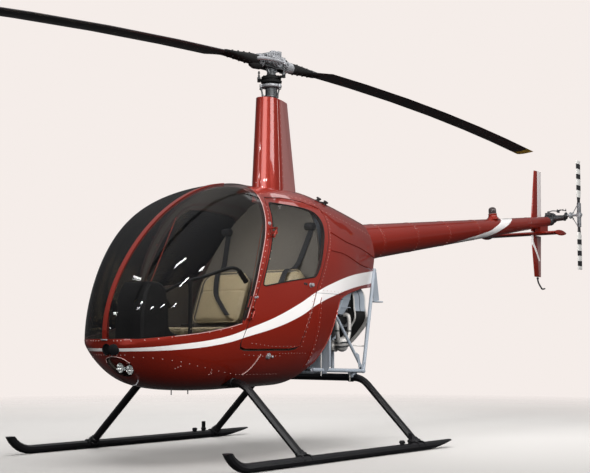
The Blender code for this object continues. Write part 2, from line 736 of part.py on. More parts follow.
def cross_tube_path(x, elbow_y, elbow_z):
    """Skid to skid over both elbows, the elbows rounded."""
    foot = (SKID_HALF_TREAD, SKID_RADIUS)
    bend = 0.07
    leg = math.dist(foot, (elbow_y, elbow_z))
    down = [(foot[0] - elbow_y) / leg, (foot[1] - elbow_z) / leg]
    half = [foot]
    start = (elbow_y + down[0] * bend, elbow_z + down[1] * bend)
    finish = (elbow_y - bend, elbow_z)
    for k in range(5):
        t = k / 4
        mix = [(1 - t)**2, 2 * t * (1 - t), t**2]
        half.append(tuple(mix[0] * start[i] + mix[1] * (elbow_y, elbow_z)[i] + mix[2] * finish[i]
                          for i in range(2)))
    port = [(x, -y, z) for y, z in half]
    return port + [(x, y, z) for y, z in reversed(half)]


def skid_path():
    """Centre line of a skid in side view, from its upturned front to its rear end."""
    bend_x, bend = -1.33, 0.20
    points = []
    for k in range(7):
        angle = math.radians(60 - 10 * k)
        points.append((bend_x - bend * math.sin(angle),
                       SKID_RADIUS + bend * (1 - math.cos(angle))))
    return points + [(0.20, SKID_RADIUS), (0.83, SKID_RADIUS)]


def landing_gear():
    """Two skids on two bent cross tubes."""
    for side, name in ((-1, "left"), (1, "right")):
        y = side * SKID_HALF_TREAD
        path = [(x, y, z) for x, z in skid_path()]
        skid = tube("skid_" + name, path, SKID_RADIUS, black_paint(), resolution=3)
        cut(skid, box("skid tip cut " + name, (-1.8, y - 0.1, 0.120), (-1.2, y + 0.1, 0.30),
                      None, CUTTERS))
        cut(skid, plate("skid end cut " + name, [(0.50, -0.01), (0.85, 0.052), (0.9, -0.01)],
                        y - 0.1, y + 0.1, None, CUTTERS))
        for x in (FRONT_STRUT_X, REAR_STRUT_X - 0.07):
            join(skid, box("skid shoe %s %.1f" % (name, x), (x - 0.15, y - 0.016, 0.0),
                           (x + 0.15, y + 0.016, 0.02), None, CUTTERS))
        lug = box("handling lug " + name, (0.315, y - 0.006, 0.04), (0.345, y + 0.006, 0.125),
                  None, CUTTERS)
        join(skid, lug)
        tube("skid seat " + name, path[6:], SKID_RADIUS + SEAM, None, CUTTERS, 3)
    for name, route in (("cross_tube_front", FRONT_TUBE), ("cross_tube_rear", REAR_TUBE)):
        pipe = tube(name, cross_tube_path(*route), TUBE_RADIUS, black_paint())
        cut(pipe, bpy.data.objects["skid seat left"], bpy.data.objects["skid seat right"])


def tail_radius(x):
    """Radius of the tail cone at x."""
    return along([(0.90, 0.150), (3.12, 0.0895), (4.25, 0.0475)], x)


def tail_axis_z(x):
    """Height of the tail cone's axis at x."""
    return 1.4815 + 0.131 * (x - 1.0)


def cone_seat():
    """The tail cone grown by a seam, to cut what touches it."""
    start, end = CONE_START - SEAM, CONE_END + SEAM
    return rod("cone seat", (start, 0, tail_axis_z(start)), (end, 0, tail_axis_z(end)),
               tail_radius(CONE_START) + SEAM, None, CUTTERS, 32, tail_radius(CONE_END) + SEAM)


def tail():
    """Tail cone, fins, stabiliser, tail skid and light."""
    cone = rod("tail_cone", (CONE_START, 0, tail_axis_z(CONE_START)),
               (CONE_END, 0, tail_axis_z(CONE_END)), tail_radius(CONE_START), red_paint(), PARTS,
               32, tail_radius(CONE_END))
    start, end = CONE_START - 0.01, CONE_END + 0.01
    cut(cone, rod("cone inside", (start, 0, tail_axis_z(start)), (end, 0, tail_axis_z(end)),
                  tail_radius(CONE_START) - CONE_WALL, None, CUTTERS, 32,
                  tail_radius(CONE_END) - CONE_WALL))
    seat = cone_seat()
    wing("horizontal_stabilizer", [((4.03, -0.20, STABILIZER_Z), 0.22),
                                   ((4.03, 0.62, STABILIZER_Z), 0.22)], 0.16, red_paint(), 'Z')
    slot = wing("stabilizer seat", [((4.0295, -0.25, STABILIZER_Z), 0.2212),
                                    ((4.0295, 0.65, STABILIZER_Z), 0.2212)],
                0.163, None, 'Z', CUTTERS)
    upper = wing("upper_fin", [((4.0303, FIN_Y, STABILIZER_Z), 0.2055),
                               ((4.037, FIN_Y, 1.952), 0.209), ((4.106, FIN_Y, 2.405), 0.148)],
                 0.11, red_paint(), 'Y')
    lower = wing("lower_fin", [((4.086, FIN_Y, 1.357), 0.137),
                               ((4.0303, FIN_Y, STABILIZER_Z), 0.2055)], 0.11, red_paint(), 'Y')
    cut(upper, seat, slot)
    cut(lower, slot)
    beacon = rod("beacon_light", (3.13, 0, tail_axis_z(3.13)), (3.13, 0, 1.945), 0.034, red_paint())
    cut(beacon, seat)
    tube("tail_skid", [(4.15, FIN_Y, 1.3567), (4.15, FIN_Y, 1.335), (4.17, FIN_Y, 1.30),
                       (4.235, FIN_Y, 1.245), (4.30, FIN_Y, 1.25)], 0.008, black_paint())
    pylon = plate("stabilizer_bracket", [(4.06, STABILIZER_Z), (4.06, 1.90), (4.22, 1.90),
                                         (4.22, STABILIZER_Z)], -0.03, 0.03, red_paint())
    fin_seat = box("fin seat", (4.0, 0.0437, 1.3), (4.3, 0.07, 2.5), None, CUTTERS)
    cut(pylon, seat, slot, fin_seat)


def airfoil(chord, thickness, count=7):
    """Closed symmetric section, as (along the chord, across it), leading edge at 0."""
    upper = []
    for k in range(count + 1):
        x = (1 - math.cos(math.pi * k / count)) / 2
        y = 5 * thickness * (0.2969 * math.sqrt(x) - 0.1260 * x - 0.3516 * x**2
                             + 0.2843 * x**3 - 0.1036 * x**4)
        upper.append((x * chord, y * chord))
    return upper + [(x, -y) for x, y in reversed(upper[1:-1])]


def wing(name, stations, thickness, finish, across, collection=PARTS):
    """A lofted wing: stations of (leading edge point, chord), the chord along +X."""
    bm = bmesh.new()
    rings = []
    for (x, y, z), chord in stations:
        ring = []
        for run, rise in airfoil(chord, thickness):
            place = (x + run, y + rise, z) if across == 'Y' else (x + run, y, z + rise)
            ring.append(bm.verts.new(place))
        rings.append(ring)
    for before, after in zip(rings, rings[1:]):
        for k in range(len(before)):
            n = (k + 1) % len(before)
            bm.faces.new((before[k], before[n], after[n], after[k]))
    bm.faces.new(rings[0])
    bm.faces.new(list(reversed(rings[-1])))
    return put(name, mesh_from(bm, name), finish, collection)


def mast_and_fairing():
    """Mast tube and its teardrop fairing, standing on the roof."""
    outside = hull_volume("fuselage volume", -SEAM)
    sections = [(1.70, -0.050, 0.120, 0.085, 0.285), (1.83, -0.050, 0.120, 0.085, 0.270),
                (2.44, -0.045, 0.090, 0.068, 0.174)]
    bm = bmesh.new()
    rings = []
    for z, middle, front, half, rear in sections:
        rings.append([bm.verts.new((x, y, z)) for x, y in teardrop(middle, front, half, rear)])
    for before, after in zip(rings, rings[1:]):
        for k in range(len(before)):
            n = (k + 1) % len(before)
            bm.faces.new((before[k], before[n], after[n], after[k]))
    fairing = put("mast_fairing", mesh_from(bm, "mast_fairing"), red_paint())
    shell = fairing.modifiers.new("skin", 'SOLIDIFY')
    shell.thickness = 0.006
    shell.offset = -1.0
    cut(fairing, outside)
    pipe = rod("mast_tube", (0, 0, 1.70), (0, 0, FIXED_PLATE[1] + 0.003), 0.042, grey_metal(),
               PARTS, 24)
    cut(pipe, outside, rod("mast bore", (0, 0, 1.90), (0, 0, 2.60), 0.032, None, CUTTERS, 24))


def teardrop(middle, front, half, rear):
    """Closed plan section: an elliptical front and straightening sides to the rear edge."""
    upper = []
    for k in range(7):
        angle = math.radians(15 * k)
        upper.append((middle - front * math.cos(angle), half * math.sin(angle)))
    for k in range(1, 6):
        t = k / 5
        upper.append((middle + (rear - middle) * t, half * (1 - t**1.5) + 0.004 * t))
    return upper + [(x, -y) for x, y in reversed(upper[1:])]


def blade_z(s):
    """Height of the blades' axis at s metres out, aft positive: tilted, and drooping."""
    return HUB_Z + TEETER_SLOPE * s - BLADE_DROOP * s * s


def blade_point(s, across=0.0, lift=0.0):
    """A point on the rotor: s along the blades, across to port, and lift above the axis."""
    c, d = math.cos(BLADE_AZIMUTH), math.sin(BLADE_AZIMUTH)
    return Vector((s * c + across * d, s * d - across * c, blade_z(s) + lift))


def main_rotor():
    """Shaft, swashplate, hub, grips, pitch links and the two blades."""
    axis = place_empty("main_rotor_axis", (0, 0, HUB_Z))
    shaft = rod("rotor_shaft", (0, 0, 2.20), (0, 0, HUB_Z - 0.045), 0.0313, grey_metal(), PARTS, 24)
    fixed = rod("swashplate_fixed", (0, 0, FIXED_PLATE[0]), (0, 0, FIXED_PLATE[1]), 0.075,
                black_paint(), PARTS, 24)
    cut(fixed, rod("fixed bore", (0, 0, 2.4), (0, 0, 2.6), 0.0423, None, CUTTERS, 24))
    turning = rod("swashplate_rotating", (0, 0, TURNING_PLATE[0]), (0, 0, TURNING_PLATE[1]), 0.075,
                  black_paint(), PARTS, 24)
    ear_top = TURNING_PLATE[1] - 0.010
    for side in (-1, 1):
        join(turning, box("swash ear %d" % side, (-0.012, min(0.05 * side, 0.127 * side),
                                                  ear_top - 0.024),
                          (0.012, max(0.05 * side, 0.127 * side), ear_top), None, CUTTERS))
    cut(turning, rod("turning bore", (0, 0, 2.4), (0, 0, 2.7), 0.0316, None, CUTTERS, 24))
    hub = rod("rotor_hub", (0, -0.075, HUB_Z), (0, 0.075, HUB_Z), 0.045, grey_metal(), PARTS, 20)
    beam = box("hub beam", (-0.19, -0.045, HUB_Z - 0.036), (0.19, 0.045, HUB_Z + 0.036), None,
               CUTTERS)
    bolts = [rod("hub bolt %d" % k, (0.135 * k, -0.07, HUB_Z), (0.135 * k, 0.07, HUB_Z), 0.026,
                 None, CUTTERS, 16) for k in (-1, 1)]
    cap = box("hub cap", (-0.065, -0.042, HUB_Z + 0.030), (0.105, 0.042, HUB_Z + 0.080), None,
              CUTTERS)
    nuts = [rod("hub nut %d" % k, (0.02 + 0.058 * k, 0, HUB_Z + 0.07),
                (0.02 + 0.058 * k, 0, HUB_Z + 0.100), 0.022, None, CUTTERS, 6) for k in (-1, 0, 1)]
    join(hub, beam, cap, *bolts, *nuts)
    tilt = (Matrix.Translation((0, 0, HUB_Z)) @ Matrix.Rotation(BLADE_AZIMUTH, 4, 'Z')
            @ Matrix.Rotation(-TEETER_SLOPE, 4, 'Y') @ Matrix.Translation((0, 0, -HUB_Z)))
    hub.data.transform(tilt)
    for side, name in ((-1, "fore"), (1, "aft")):
        grip = rod("blade_grip_" + name, blade_point(side * 0.1909), blade_point(side * 0.42),
                   0.045, grey_metal(), PARTS, 16, 0.034)
        lead = -side
        horn = tube("pitch horn " + name, [blade_point(side * 0.26),
                                           blade_point(side * 0.22, lead * 0.07),
                                           blade_point(side * 0.06, lead * 0.115, -0.01),
                                           blade_point(0.0, lead * 0.115, -0.01)],
                    0.012, None, CUTTERS)
        join(grip, horn)
        root = rod("grip seat " + name, blade_point(side * 0.19), blade_point(side * 0.4203),
                   0.0453, None, CUTTERS, 16, 0.0343)
        blade = main_blade(name, side, root)
        y = -lead * 0.115
        link = rod("pitch_link_" + name, (0, y, ear_top + SEAM), (0, y, HUB_Z - 0.0223), 0.008,
                   grey_metal(), PARTS, 10)
        carry(axis, grip, blade, link)
    carry(axis, shaft, turning, hub)


def main_blade(name, side, grip):
    """One blade: an airfoil along the drooping axis, its leading edge forward in the turn."""
    stations = [0.40, 0.47, 0.56, 1.0, 1.6, 2.2, 2.8, 3.3, ROTOR_RADIUS]
    chords = [0.075, 0.10, ROTOR_CHORD] + [ROTOR_CHORD] * 6
    deeps = [0.45, 0.30, 0.13] + [0.13] * 6
    bm = bmesh.new()
    rings = []
    for s, chord, deep in zip(stations, chords, deeps):
        ring = []
        for run, rise in airfoil(chord, deep):
            across = -side * (run - 0.25 * chord)
            ring.append(bm.verts.new(blade_point(side * s, -across, rise)))
        rings.append(ring)
    for before, after in zip(rings, rings[1:]):
        for k in range(len(before)):
            n = (k + 1) % len(before)
            bm.faces.new((before[k], before[n], after[n], after[k]))
    bm.faces.new(rings[0])
    bm.faces.new(rings[-1])
    blade = put("main_blade_" + name, mesh_from(bm, name), black_paint())
    cut(blade, grip)
    return blade


def tail_rotor():
    """Gearbox at the end of the tail cone, and the tail rotor on its port side."""
    x, y, z = TAIL_HUB
    gearbox = rod("tail_gearbox", (4.24, 0, tail_axis_z(4.24)), (4.36, 0, tail_axis_z(4.25) + 0.01),
                  0.050, grey_metal(), PARTS, 16)
    arm = rod("gearbox arm", (x, 0.02, z - 0.02), (x, -0.16, z), 0.040, None, CUTTERS, 16, 0.028)
    barrel = rod("gearbox barrel", (x, 0.055, z - 0.02), (x, -0.04, z - 0.02), 0.045, None,
                 CUTTERS, 16)
    join(gearbox, barrel, arm)
    bore = rod("gearbox bore", (x, -0.08, z), (x, -0.30, z), 0.0125, None, CUTTERS, 16)
    cut(gearbox, cone_seat(), bore)
    shaft = rod("tail_rotor_hub", (x, -0.10, z), (x, y - 0.030, z), 0.012, grey_metal(), PARTS, 16)
    yoke = box("tail yoke", (x - 0.028, y - 0.012, z - 0.10), (x + 0.028, y + 0.012, z + 0.10),
               None, CUTTERS)
    spider = rod("pitch spider", (x, y + 0.085, z), (x, y + 0.055, z), 0.032, None, CUTTERS, 16)
    join(shaft, yoke, spider)
    blades = [tail_blade(name, side) for side, name in ((-1, "a"), (1, "b"))]
    carry(place_empty("tail_rotor_axis", TAIL_HUB), shaft, *blades)


def tail_blade(name, side):
    """One tail rotor blade, standing in the rotor's plane."""
    x, y, z = TAIL_HUB
    bm = bmesh.new()
    rings = []
    for s, chord, deep in ((0.1003, 0.05, 0.36), (0.15, 0.06, 0.30), (0.20, TAIL_CHORD, 0.13),
                           (TAIL_ROTOR_RADIUS, TAIL_CHORD, 0.13)):
        rings.append([bm.verts.new((x + run - chord / 2, y + rise, z + side * s))
                      for run, rise in airfoil(chord, deep)])
    for before, after in zip(rings, rings[1:]):
        for k in range(len(before)):
            n = (k + 1) % len(before)
            bm.faces.new((before[k], before[n], after[n], after[k]))
    bm.faces.new(rings[0])
    bm.faces.new(rings[-1])
    return put("tail_blade_" + name, mesh_from(bm, name), black_paint())


def on_side(point, side):
    """A starboard point, or its mirror image on the port side."""
    return (point[0], side * point[1], point[2])


def engine_bay():
    """Firewall, tube frame, engine, fan shroud, exhaust and drive shaft."""
    wall = plate("firewall", [(-0.40, 0.509), (0.40, 0.509), (0.45, 0.60), (0.45, 0.85),
                              (-0.45, 0.85), (-0.45, 0.60)], *FIREWALL_X, grey_paint(), PARTS, 'X')
    upper_wall = box("upper firewall", (FIREWALL_X[0], -0.60, 0.83), (FIREWALL_X[1], 0.60, 1.60),
                     None, CUTTERS)
    fit_inside(upper_wall)
    join(wall, upper_wall, solver='MANIFOLD')
    engine_frame()
    engine()
    shroud = rod("fan_shroud", (FAN_X[0], 0, FAN_Z), (FAN_X[1], 0, FAN_Z), FAN_RADIUS,
                 grey_paint(), PARTS, 24)
    cut(shroud, rod("fan inlet", (0.66, 0, FAN_Z), (0.80, 0, FAN_Z), 0.105, None, CUTTERS, 24,
                    0.135))
    exhaust()
    shaft = rod("drive_shaft", (FIREWALL_X[1] + SEAM, 0, DRIVE_SHAFT_Z), (0.66, 0, DRIVE_SHAFT_Z),
                0.018, grey_metal(), PARTS, 12)
    join(shaft, rod("upper sheave", (SHEAVE_X, 0, DRIVE_SHAFT_Z),
                    (SHEAVE_X + 0.016, 0, DRIVE_SHAFT_Z), SHEAVE_RADIUS, None, CUTTERS, 24))


def engine():
    """Crankcase on its two mounts, with four finned cylinders lying across."""
    block = box("engine_block", (0.215, -0.10, 0.705), (0.605, 0.10, 0.99), grey_metal())
    join(block, box("mount bar", (0.49, -0.17, 0.70), (0.55, 0.17, 0.725), None, CUTTERS),
         rod("crankshaft end", (0.60, 0, CYLINDER_Z), (0.62, 0, CYLINDER_Z), 0.078, None, CUTTERS))
    for side, xs in CYLINDER_XS.items():
        for x in xs:
            join(block, *cylinder(x, side))


def cylinder(x, side):
    """Barrel with three fins, and the head: the pieces of one cylinder."""
    tag = " %d %.3f" % (side, x)
    pieces = [rod("barrel" + tag, (x, side * 0.09, CYLINDER_Z), (x, side * 0.20, CYLINDER_Z),
                  0.056, None, CUTTERS)]
    for k in range(3):
        y = 0.118 + 0.024 * k
        pieces.append(rod("fin" + tag, (x, side * y, CYLINDER_Z), (x, side * (y + 0.008),
                                                                  CYLINDER_Z), 0.070, None,
                          CUTTERS))
    low, high = sorted((side * 0.186, side * 0.262))
    pieces.append(box("head" + tag, (x - 0.070, low, HEAD_BOTTOM), (x + 0.070, high, 0.940), None,
                      CUTTERS))
    return pieces


def exhaust():
    """Four pipes from the cylinder heads into one muffler, and its tail pipe."""
    x, z = MUFFLER
    system = rod("exhaust_pipe", (x, -0.318, z), (x, 0.264, z), 0.052, grey_metal(), PARTS, 24)
    top = HEAD_BOTTOM - SEAM
    for side, xs in CYLINDER_XS.items():
        front, rear = xs
        routes = [[(front + 0.045, side * 0.222, top), (front + 0.045, side * 0.222, 0.762),
                   (0.366, side * 0.262, 0.735), (0.375, side * 0.280, 0.700),
                   (0.390, side * 0.262, 0.662), (x - 0.01, side * 0.235, z)],
                  [(rear + 0.015, side * 0.222, top), (rear + 0.015, side * 0.222, 0.762),
                   (0.513, side * 0.264, 0.735), (0.506, side * 0.282, 0.700),
                   (0.485, side * 0.262, 0.664), (x + 0.02, side * 0.235, z)]]
        for route in routes:
            join(system, tube("riser", route, 0.021, None, CUTTERS, 1), solver='MANIFOLD')
    tail_pipe = tube("tail pipe", [(x, 0.02, z), (x + 0.01, 0.02, 0.575), (0.482, 0.02, 0.556)],
                     0.024, None, CUTTERS, 1)
    join(system, tail_pipe, solver='MANIFOLD')


def engine_frame():
    """Welded tubes that carry the engine, the rear cross tube and the tail cone."""
    frame = tube("engine_frame", [on_side(FRAME_FOOT, -1), on_side(FRAME_CORNER, -1),
                                  on_side(FRAME_CORNER, 1), on_side(FRAME_FOOT, 1)],
                 FRAME_RADIUS, grey_paint())
    tubes = [("top member", on_side(FRAME_TOP, -1), on_side(FRAME_TOP, 1))]
    for side in (-1, 1):
        corner, top = on_side(FRAME_CORNER, side), on_side(FRAME_TOP, side)
        tubes += [("rear post %d" % side, corner, top),
                  ("diagonal %d" % side, corner, (0.0903, side * 0.35, 1.15)),
                  ("cone carrier %d" % side, (0.80, side * 0.09, 1.22), (0.80, side * 0.09, 1.42)),
                  ("engine mount %d" % side, (0.52, side * 0.15, 0.522),
                   (0.52, side * 0.15, 0.6997))]
    for name, start, end in tubes:
        join(frame, rod(name, start, end, FRAME_RADIUS - 0.001, None, CUTTERS, 8),
             solver='MANIFOLD')
    for side in (-1, 1):
        low, high = sorted((side * 0.36, side * 0.41))
        join(frame, box("tube saddle %d" % side, (0.415, low, 0.490), (0.465, high, 0.525), None,
                        CUTTERS), solver='MANIFOLD')
    tube_seat = tube("rear tube seat", cross_tube_path(*REAR_TUBE), TUBE_RADIUS + SEAM, None,
                     CUTTERS)
    wall_seat = box("firewall seat", (0.0, -1.0, 0.4), (FIREWALL_X[1] + SEAM, 1.0, 1.7), None,
                    CUTTERS)
    cut(frame, tube_seat, wall_seat, cone_seat(), solver='MANIFOLD')


def settle():
    """Moves the whole model so that the origin is under the middle of its box."""
    bpy.context.view_layer.update()
    frame = place_empty("helicopter", (MAST_X, 0, 0))
    for obj in list(bpy.data.objects):
        if obj is not frame and obj.parent is None:
            obj.parent = frame


start_scene()
fuselage()
doors()
cabin()
controls()
landing_gear()
tail()
mast_and_fairing()
main_rotor()
tail_rotor()
engine_bay()
settle()
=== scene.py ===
"""Looks of the two-seat piston helicopter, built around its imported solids.

Every place below is in metres and measured from the main rotor's axis: +X aft, +Y to starboard,
+Z up from the ground. It is moved by MAST_X into the part's own frame when a piece is made.
"""
import json
import math

import bmesh
import bpy
import numpy as np
from mathutils import Matrix, Vector

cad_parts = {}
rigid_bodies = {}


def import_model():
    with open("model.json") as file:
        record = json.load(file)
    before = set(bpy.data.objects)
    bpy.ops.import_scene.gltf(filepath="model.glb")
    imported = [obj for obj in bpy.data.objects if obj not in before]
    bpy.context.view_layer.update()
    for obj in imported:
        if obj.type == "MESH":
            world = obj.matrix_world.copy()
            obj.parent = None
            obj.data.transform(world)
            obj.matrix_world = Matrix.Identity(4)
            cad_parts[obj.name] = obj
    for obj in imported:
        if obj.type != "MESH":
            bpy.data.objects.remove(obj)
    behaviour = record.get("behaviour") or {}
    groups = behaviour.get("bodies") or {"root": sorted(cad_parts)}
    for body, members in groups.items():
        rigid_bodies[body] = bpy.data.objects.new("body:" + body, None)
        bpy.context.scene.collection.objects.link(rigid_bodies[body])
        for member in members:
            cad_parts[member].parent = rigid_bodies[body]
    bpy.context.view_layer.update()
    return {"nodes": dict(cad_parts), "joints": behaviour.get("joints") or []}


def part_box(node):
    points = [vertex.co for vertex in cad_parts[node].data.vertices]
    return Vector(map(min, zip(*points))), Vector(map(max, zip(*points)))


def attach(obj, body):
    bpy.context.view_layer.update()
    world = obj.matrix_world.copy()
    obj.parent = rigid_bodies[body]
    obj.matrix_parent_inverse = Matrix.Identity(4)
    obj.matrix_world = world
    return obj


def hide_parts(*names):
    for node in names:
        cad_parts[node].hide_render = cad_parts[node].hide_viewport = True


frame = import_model()

MAST_X = next(j["pos_m"][0] for j in frame["joints"] if j["name"] == "main_rotor_spin")

# Fuselage: the same named values as in the part's source
CABIN_HALF_WIDTH = 0.56
NOSE_X = -1.555
NOSE_Z = 0.80
TOP_DOME = (1.086, 1.68, 0.988)
SIDE_DOME = (1.405, 2.61, CABIN_HALF_WIDTH)
BELLY_DOME = (0.834, 2.90, 0.380)
TAIL_END_X = 0.98
TOP_AFT = [(-0.469, 1.788), (0.10, 1.800), (0.40, 1.762), (0.70, 1.706), (TAIL_END_X, 1.649)]
SIDE_AFT = [(-0.150, 0.560), (0.15, 0.500), (0.45, 0.410), (0.75, 0.300), (TAIL_END_X, 0.210)]
BELLY_AFT = [(-0.721, 0.420), (0.0, 0.435), (0.3, 0.500), (TAIL_END_X, 0.660)]
WIDEST_Z = [(NOSE_X, 0.702), (-1.0, 0.863), (-0.3, 1.0), (0.3, 1.10), (TAIL_END_X, 1.30)]
UPPER_POWER = [(NOSE_X, 1.90), (-1.0, 3.9), (-0.3, 2.1), (TAIL_END_X, 2.2)]
LOWER_POWER = [(NOSE_X, 1.20), (-1.0, 2.62), (0.0, 2.4), (TAIL_END_X, 2.2)]
SKIN = 0.022
COWL_SKIN = 0.006
GLASS = 0.006
SCREEN_SILL = [(-1.80, 0.744), (-1.494, 0.746), (-1.341, 0.764), (-1.196, 0.782),
               (-1.027, 0.812), (-0.892, 0.844)]
SCREEN_REAR = [(-0.861, 0.875), (-0.820, 0.986), (-0.778, 1.112), (-0.750, 1.207),
               (-0.715, 1.303), (-0.674, 1.401), (-0.640, 1.488), (-0.605, 1.580),
               (-0.560, 1.680), (-0.520, 1.750), (-0.500, 1.95), (-1.80, 1.95)]
DOOR_FRONT_TOP = (-0.530, 1.626)
DOOR_FRONT_SLOPE = 0.404
DOOR_SILL_Z = 0.675
DOOR_SILL_LIFT = 0.009
DOOR_GAP = 0.0025
DOOR_REAR = [(-0.330, 0.700), (-0.292, 0.825), (-0.262, 0.903), (-0.223, 1.002), (-0.187, 1.101),
             (-0.114, 1.205), (-0.024, 1.312), (0.061, 1.421), (0.125, 1.533), (0.150, 1.600),
             (0.125, 1.652), (-0.035, 1.687), (-0.247, 1.695), (-0.480, 1.672)]
WINDOW = [(-0.490, 1.622), (-0.400, 1.641), (-0.218, 1.639), (-0.050, 1.628), (0.030, 1.603),
          (0.055, 1.548), (0.031, 1.475), (-0.033, 1.380), (-0.107, 1.273), (-0.175, 1.185),
          (-0.205, 1.158), (-0.250, 1.148), (-0.474, 1.117), (-0.665, 1.084), (-0.708, 1.080),
          (-0.718, 1.100), (-0.679, 1.210), (-0.625, 1.340), (-0.551, 1.510)]
BAY_EDGE = [(0.90, 1.135), (0.548, 1.105), (0.316, 1.067), (0.216, 1.042), (0.135, 1.012),
            (0.108, 0.944), (0.078, 0.876), (0.050, 0.794), (0.016, 0.707), (-0.015, 0.650),
            (-0.050, 0.580), (-0.095, 0.530), (-0.150, 0.380)]
COWL_SPLIT_Z = 1.050
ROOF_REAR_X = 0.170
HINGE_Y = 0.545
HINGE_ZS = (0.90, 1.42)
LAMPS = [(-1.467, -0.054, 0.574), (-1.434, -0.100, 0.563)]
BULKHEAD_FOOT = (-0.385, 0.505)
BULKHEAD_SLOPE = 0.3704
FLOOR_TOP = 0.525
SEAT_TOP = 0.735
SEAT_Y = 0.2425
HUB_Z = 2.70
BLADE_AZIMUTH = math.radians(0.8)
TEETER_SLOPE = 0.0208
BLADE_DROOP = 0.0162
TAIL_HUB = (4.341, -0.303, 1.960)
CONE_START = 0.72
CONE_END = 4.25
CONE_RADII = (0.150, 0.0475)

# The painted stripe: its upper and lower edge on the fuselage in side view, as (x, z)
STRIPE_TOP = [(-1.537, .690), (-1.333, .711), (-1.024, .758), (-.834, .814), (-.62, .881),
              (-.38, .975), (-.167, 1.069), (-.004, 1.116), (.323, 1.186), (.823, 1.247)]
STRIPE_LOW = [(-1.529, .672), (-1.325, .681), (-1.019, .719), (-.828, .765), (-.614, .815),
              (-.376, .891), (-.169, .983), (-.007, 1.028), (.316, 1.095), (.827, 1.158)]
# ... and on the tail cone: height over the axis in radii, and the place along the cone
CONE_STRIPE_FRONT = [(-1.0, 2.306), (-.86, 2.449), (-.68, 2.63), (-.51, 2.80), (-.30, 2.963),
                     (.09, 3.084), (.57, 3.205), (1.0, 3.27)]
CONE_STRIPE_REAR = [(-1.0, 2.92), (-.67, 3.093), (-.33, 3.209), (.01, 3.301), (.85, 3.47),
                    (1.0, 3.50)]

ENGINE_LIFT = 0.05
SCROLL = [(-0.245, 1.090), (-0.262, 0.980), (-0.262, 0.880), (-0.130, 0.738), (-0.030, 0.695),
          (0.100, 0.695), (0.210, 0.755), (0.262, 0.890), (0.255, 1.020), (0.170, 1.130),
          (0.020, 1.172), (-0.130, 1.165)]

# Bright lamps of the hall that only show in glossy surfaces:
# (place, towards, width, height, brightness)
HALL_LAMPS = [
    ((-4.20, -3.66, 5.06), (-1.28, -0.35, 1.20), 1.10, 0.16, 144),
    ((-1.41, -6.09, 3.04), (-1.17, -0.43, 1.17), 0.40, 0.16, 144),
    ((-5.22, 1.78, 5.25), (-1.44, -0.15, 1.11), 1.40, 0.10, 96),
    ((-3.15, -5.55, 3.13), (-1.28, -0.39, 1.08), 0.90, 0.10, 216),
    ((-6.64, -0.97, 3.85), (-1.47, -0.22, 0.96), 0.45, 0.08, 168),
    ((-6.21, -3.09, 3.15), (-1.44, -0.28, 0.93), 0.45, 0.08, 168),
    ((-5.05, -4.70, 2.70), (-1.39, -0.33, 0.94), 0.45, 0.08, 192),
    ((-3.52, -5.82, 2.08), (-1.34, -0.37, 0.95), 0.40, 0.08, 192),
    ((-6.83, -0.81, 3.53), (-1.48, -0.21, 0.93), 0.45, 0.06, 144),
    ((-6.24, 2.90, 3.06), (-1.53, -0.07, 0.90), 0.60, 0.08, 144),
    ((3.66, 0.93, 5.41), (-0.64, -0.36, 1.66), 2.20, 1.60, 3.0),
]

LAMP_LEVEL = 0.40

# Wide studio lights: (name, place, towards, size, watts, shows in paint and metal)
STUDIO_LIGHTS = [
    ("ceiling", (-0.6, -0.6, 7.0), (-0.2, -0.1, 1.0), (7.0, 5.0), 540, False),
    ("key", (-5.5, -6.5, 4.6), (-0.6, 0, 1.0), (6.4, 4.6), 330, True),
    ("cabin", (-1.05, -0.05, 1.56), (-0.55, -0.05, 1.0), (0.4, 0.6), 13.0, False),
    ("port fill", (-2.6, -8.5, 3.4), (-0.2, -0.5, 1.0), (5.0, 4.0), 420, False),
    ("rim", (4.5, 6.0, 5.0), (0.5, 0, 1.4), (3.0, 3.0), 260, False),
    ("front strip", (-8.5, 0.5, 3.4), (-0.8, 0, 1.2), (2.0, 4.6), 110, True),
    ("tail side", (3.0, -6.5, 4.0), (3.0, 0, 1.8), (4.0, 1.2), 100, True),
]
LIGHT_COLOR = {"key": (1.0, 0.97, 0.94)}

# Camera of the photograph
CAMERA_PLACE = (-6.720, -5.330, 0.733)
CAMERA_YAW = 38.435
CAMERA_PITCH = 5.010
CAMERA_ROLL = -0.03
CAMERA_LENS = 72.89
SENSOR_WIDTH = 36.0


# ---------------------------------------------------------------- finishes

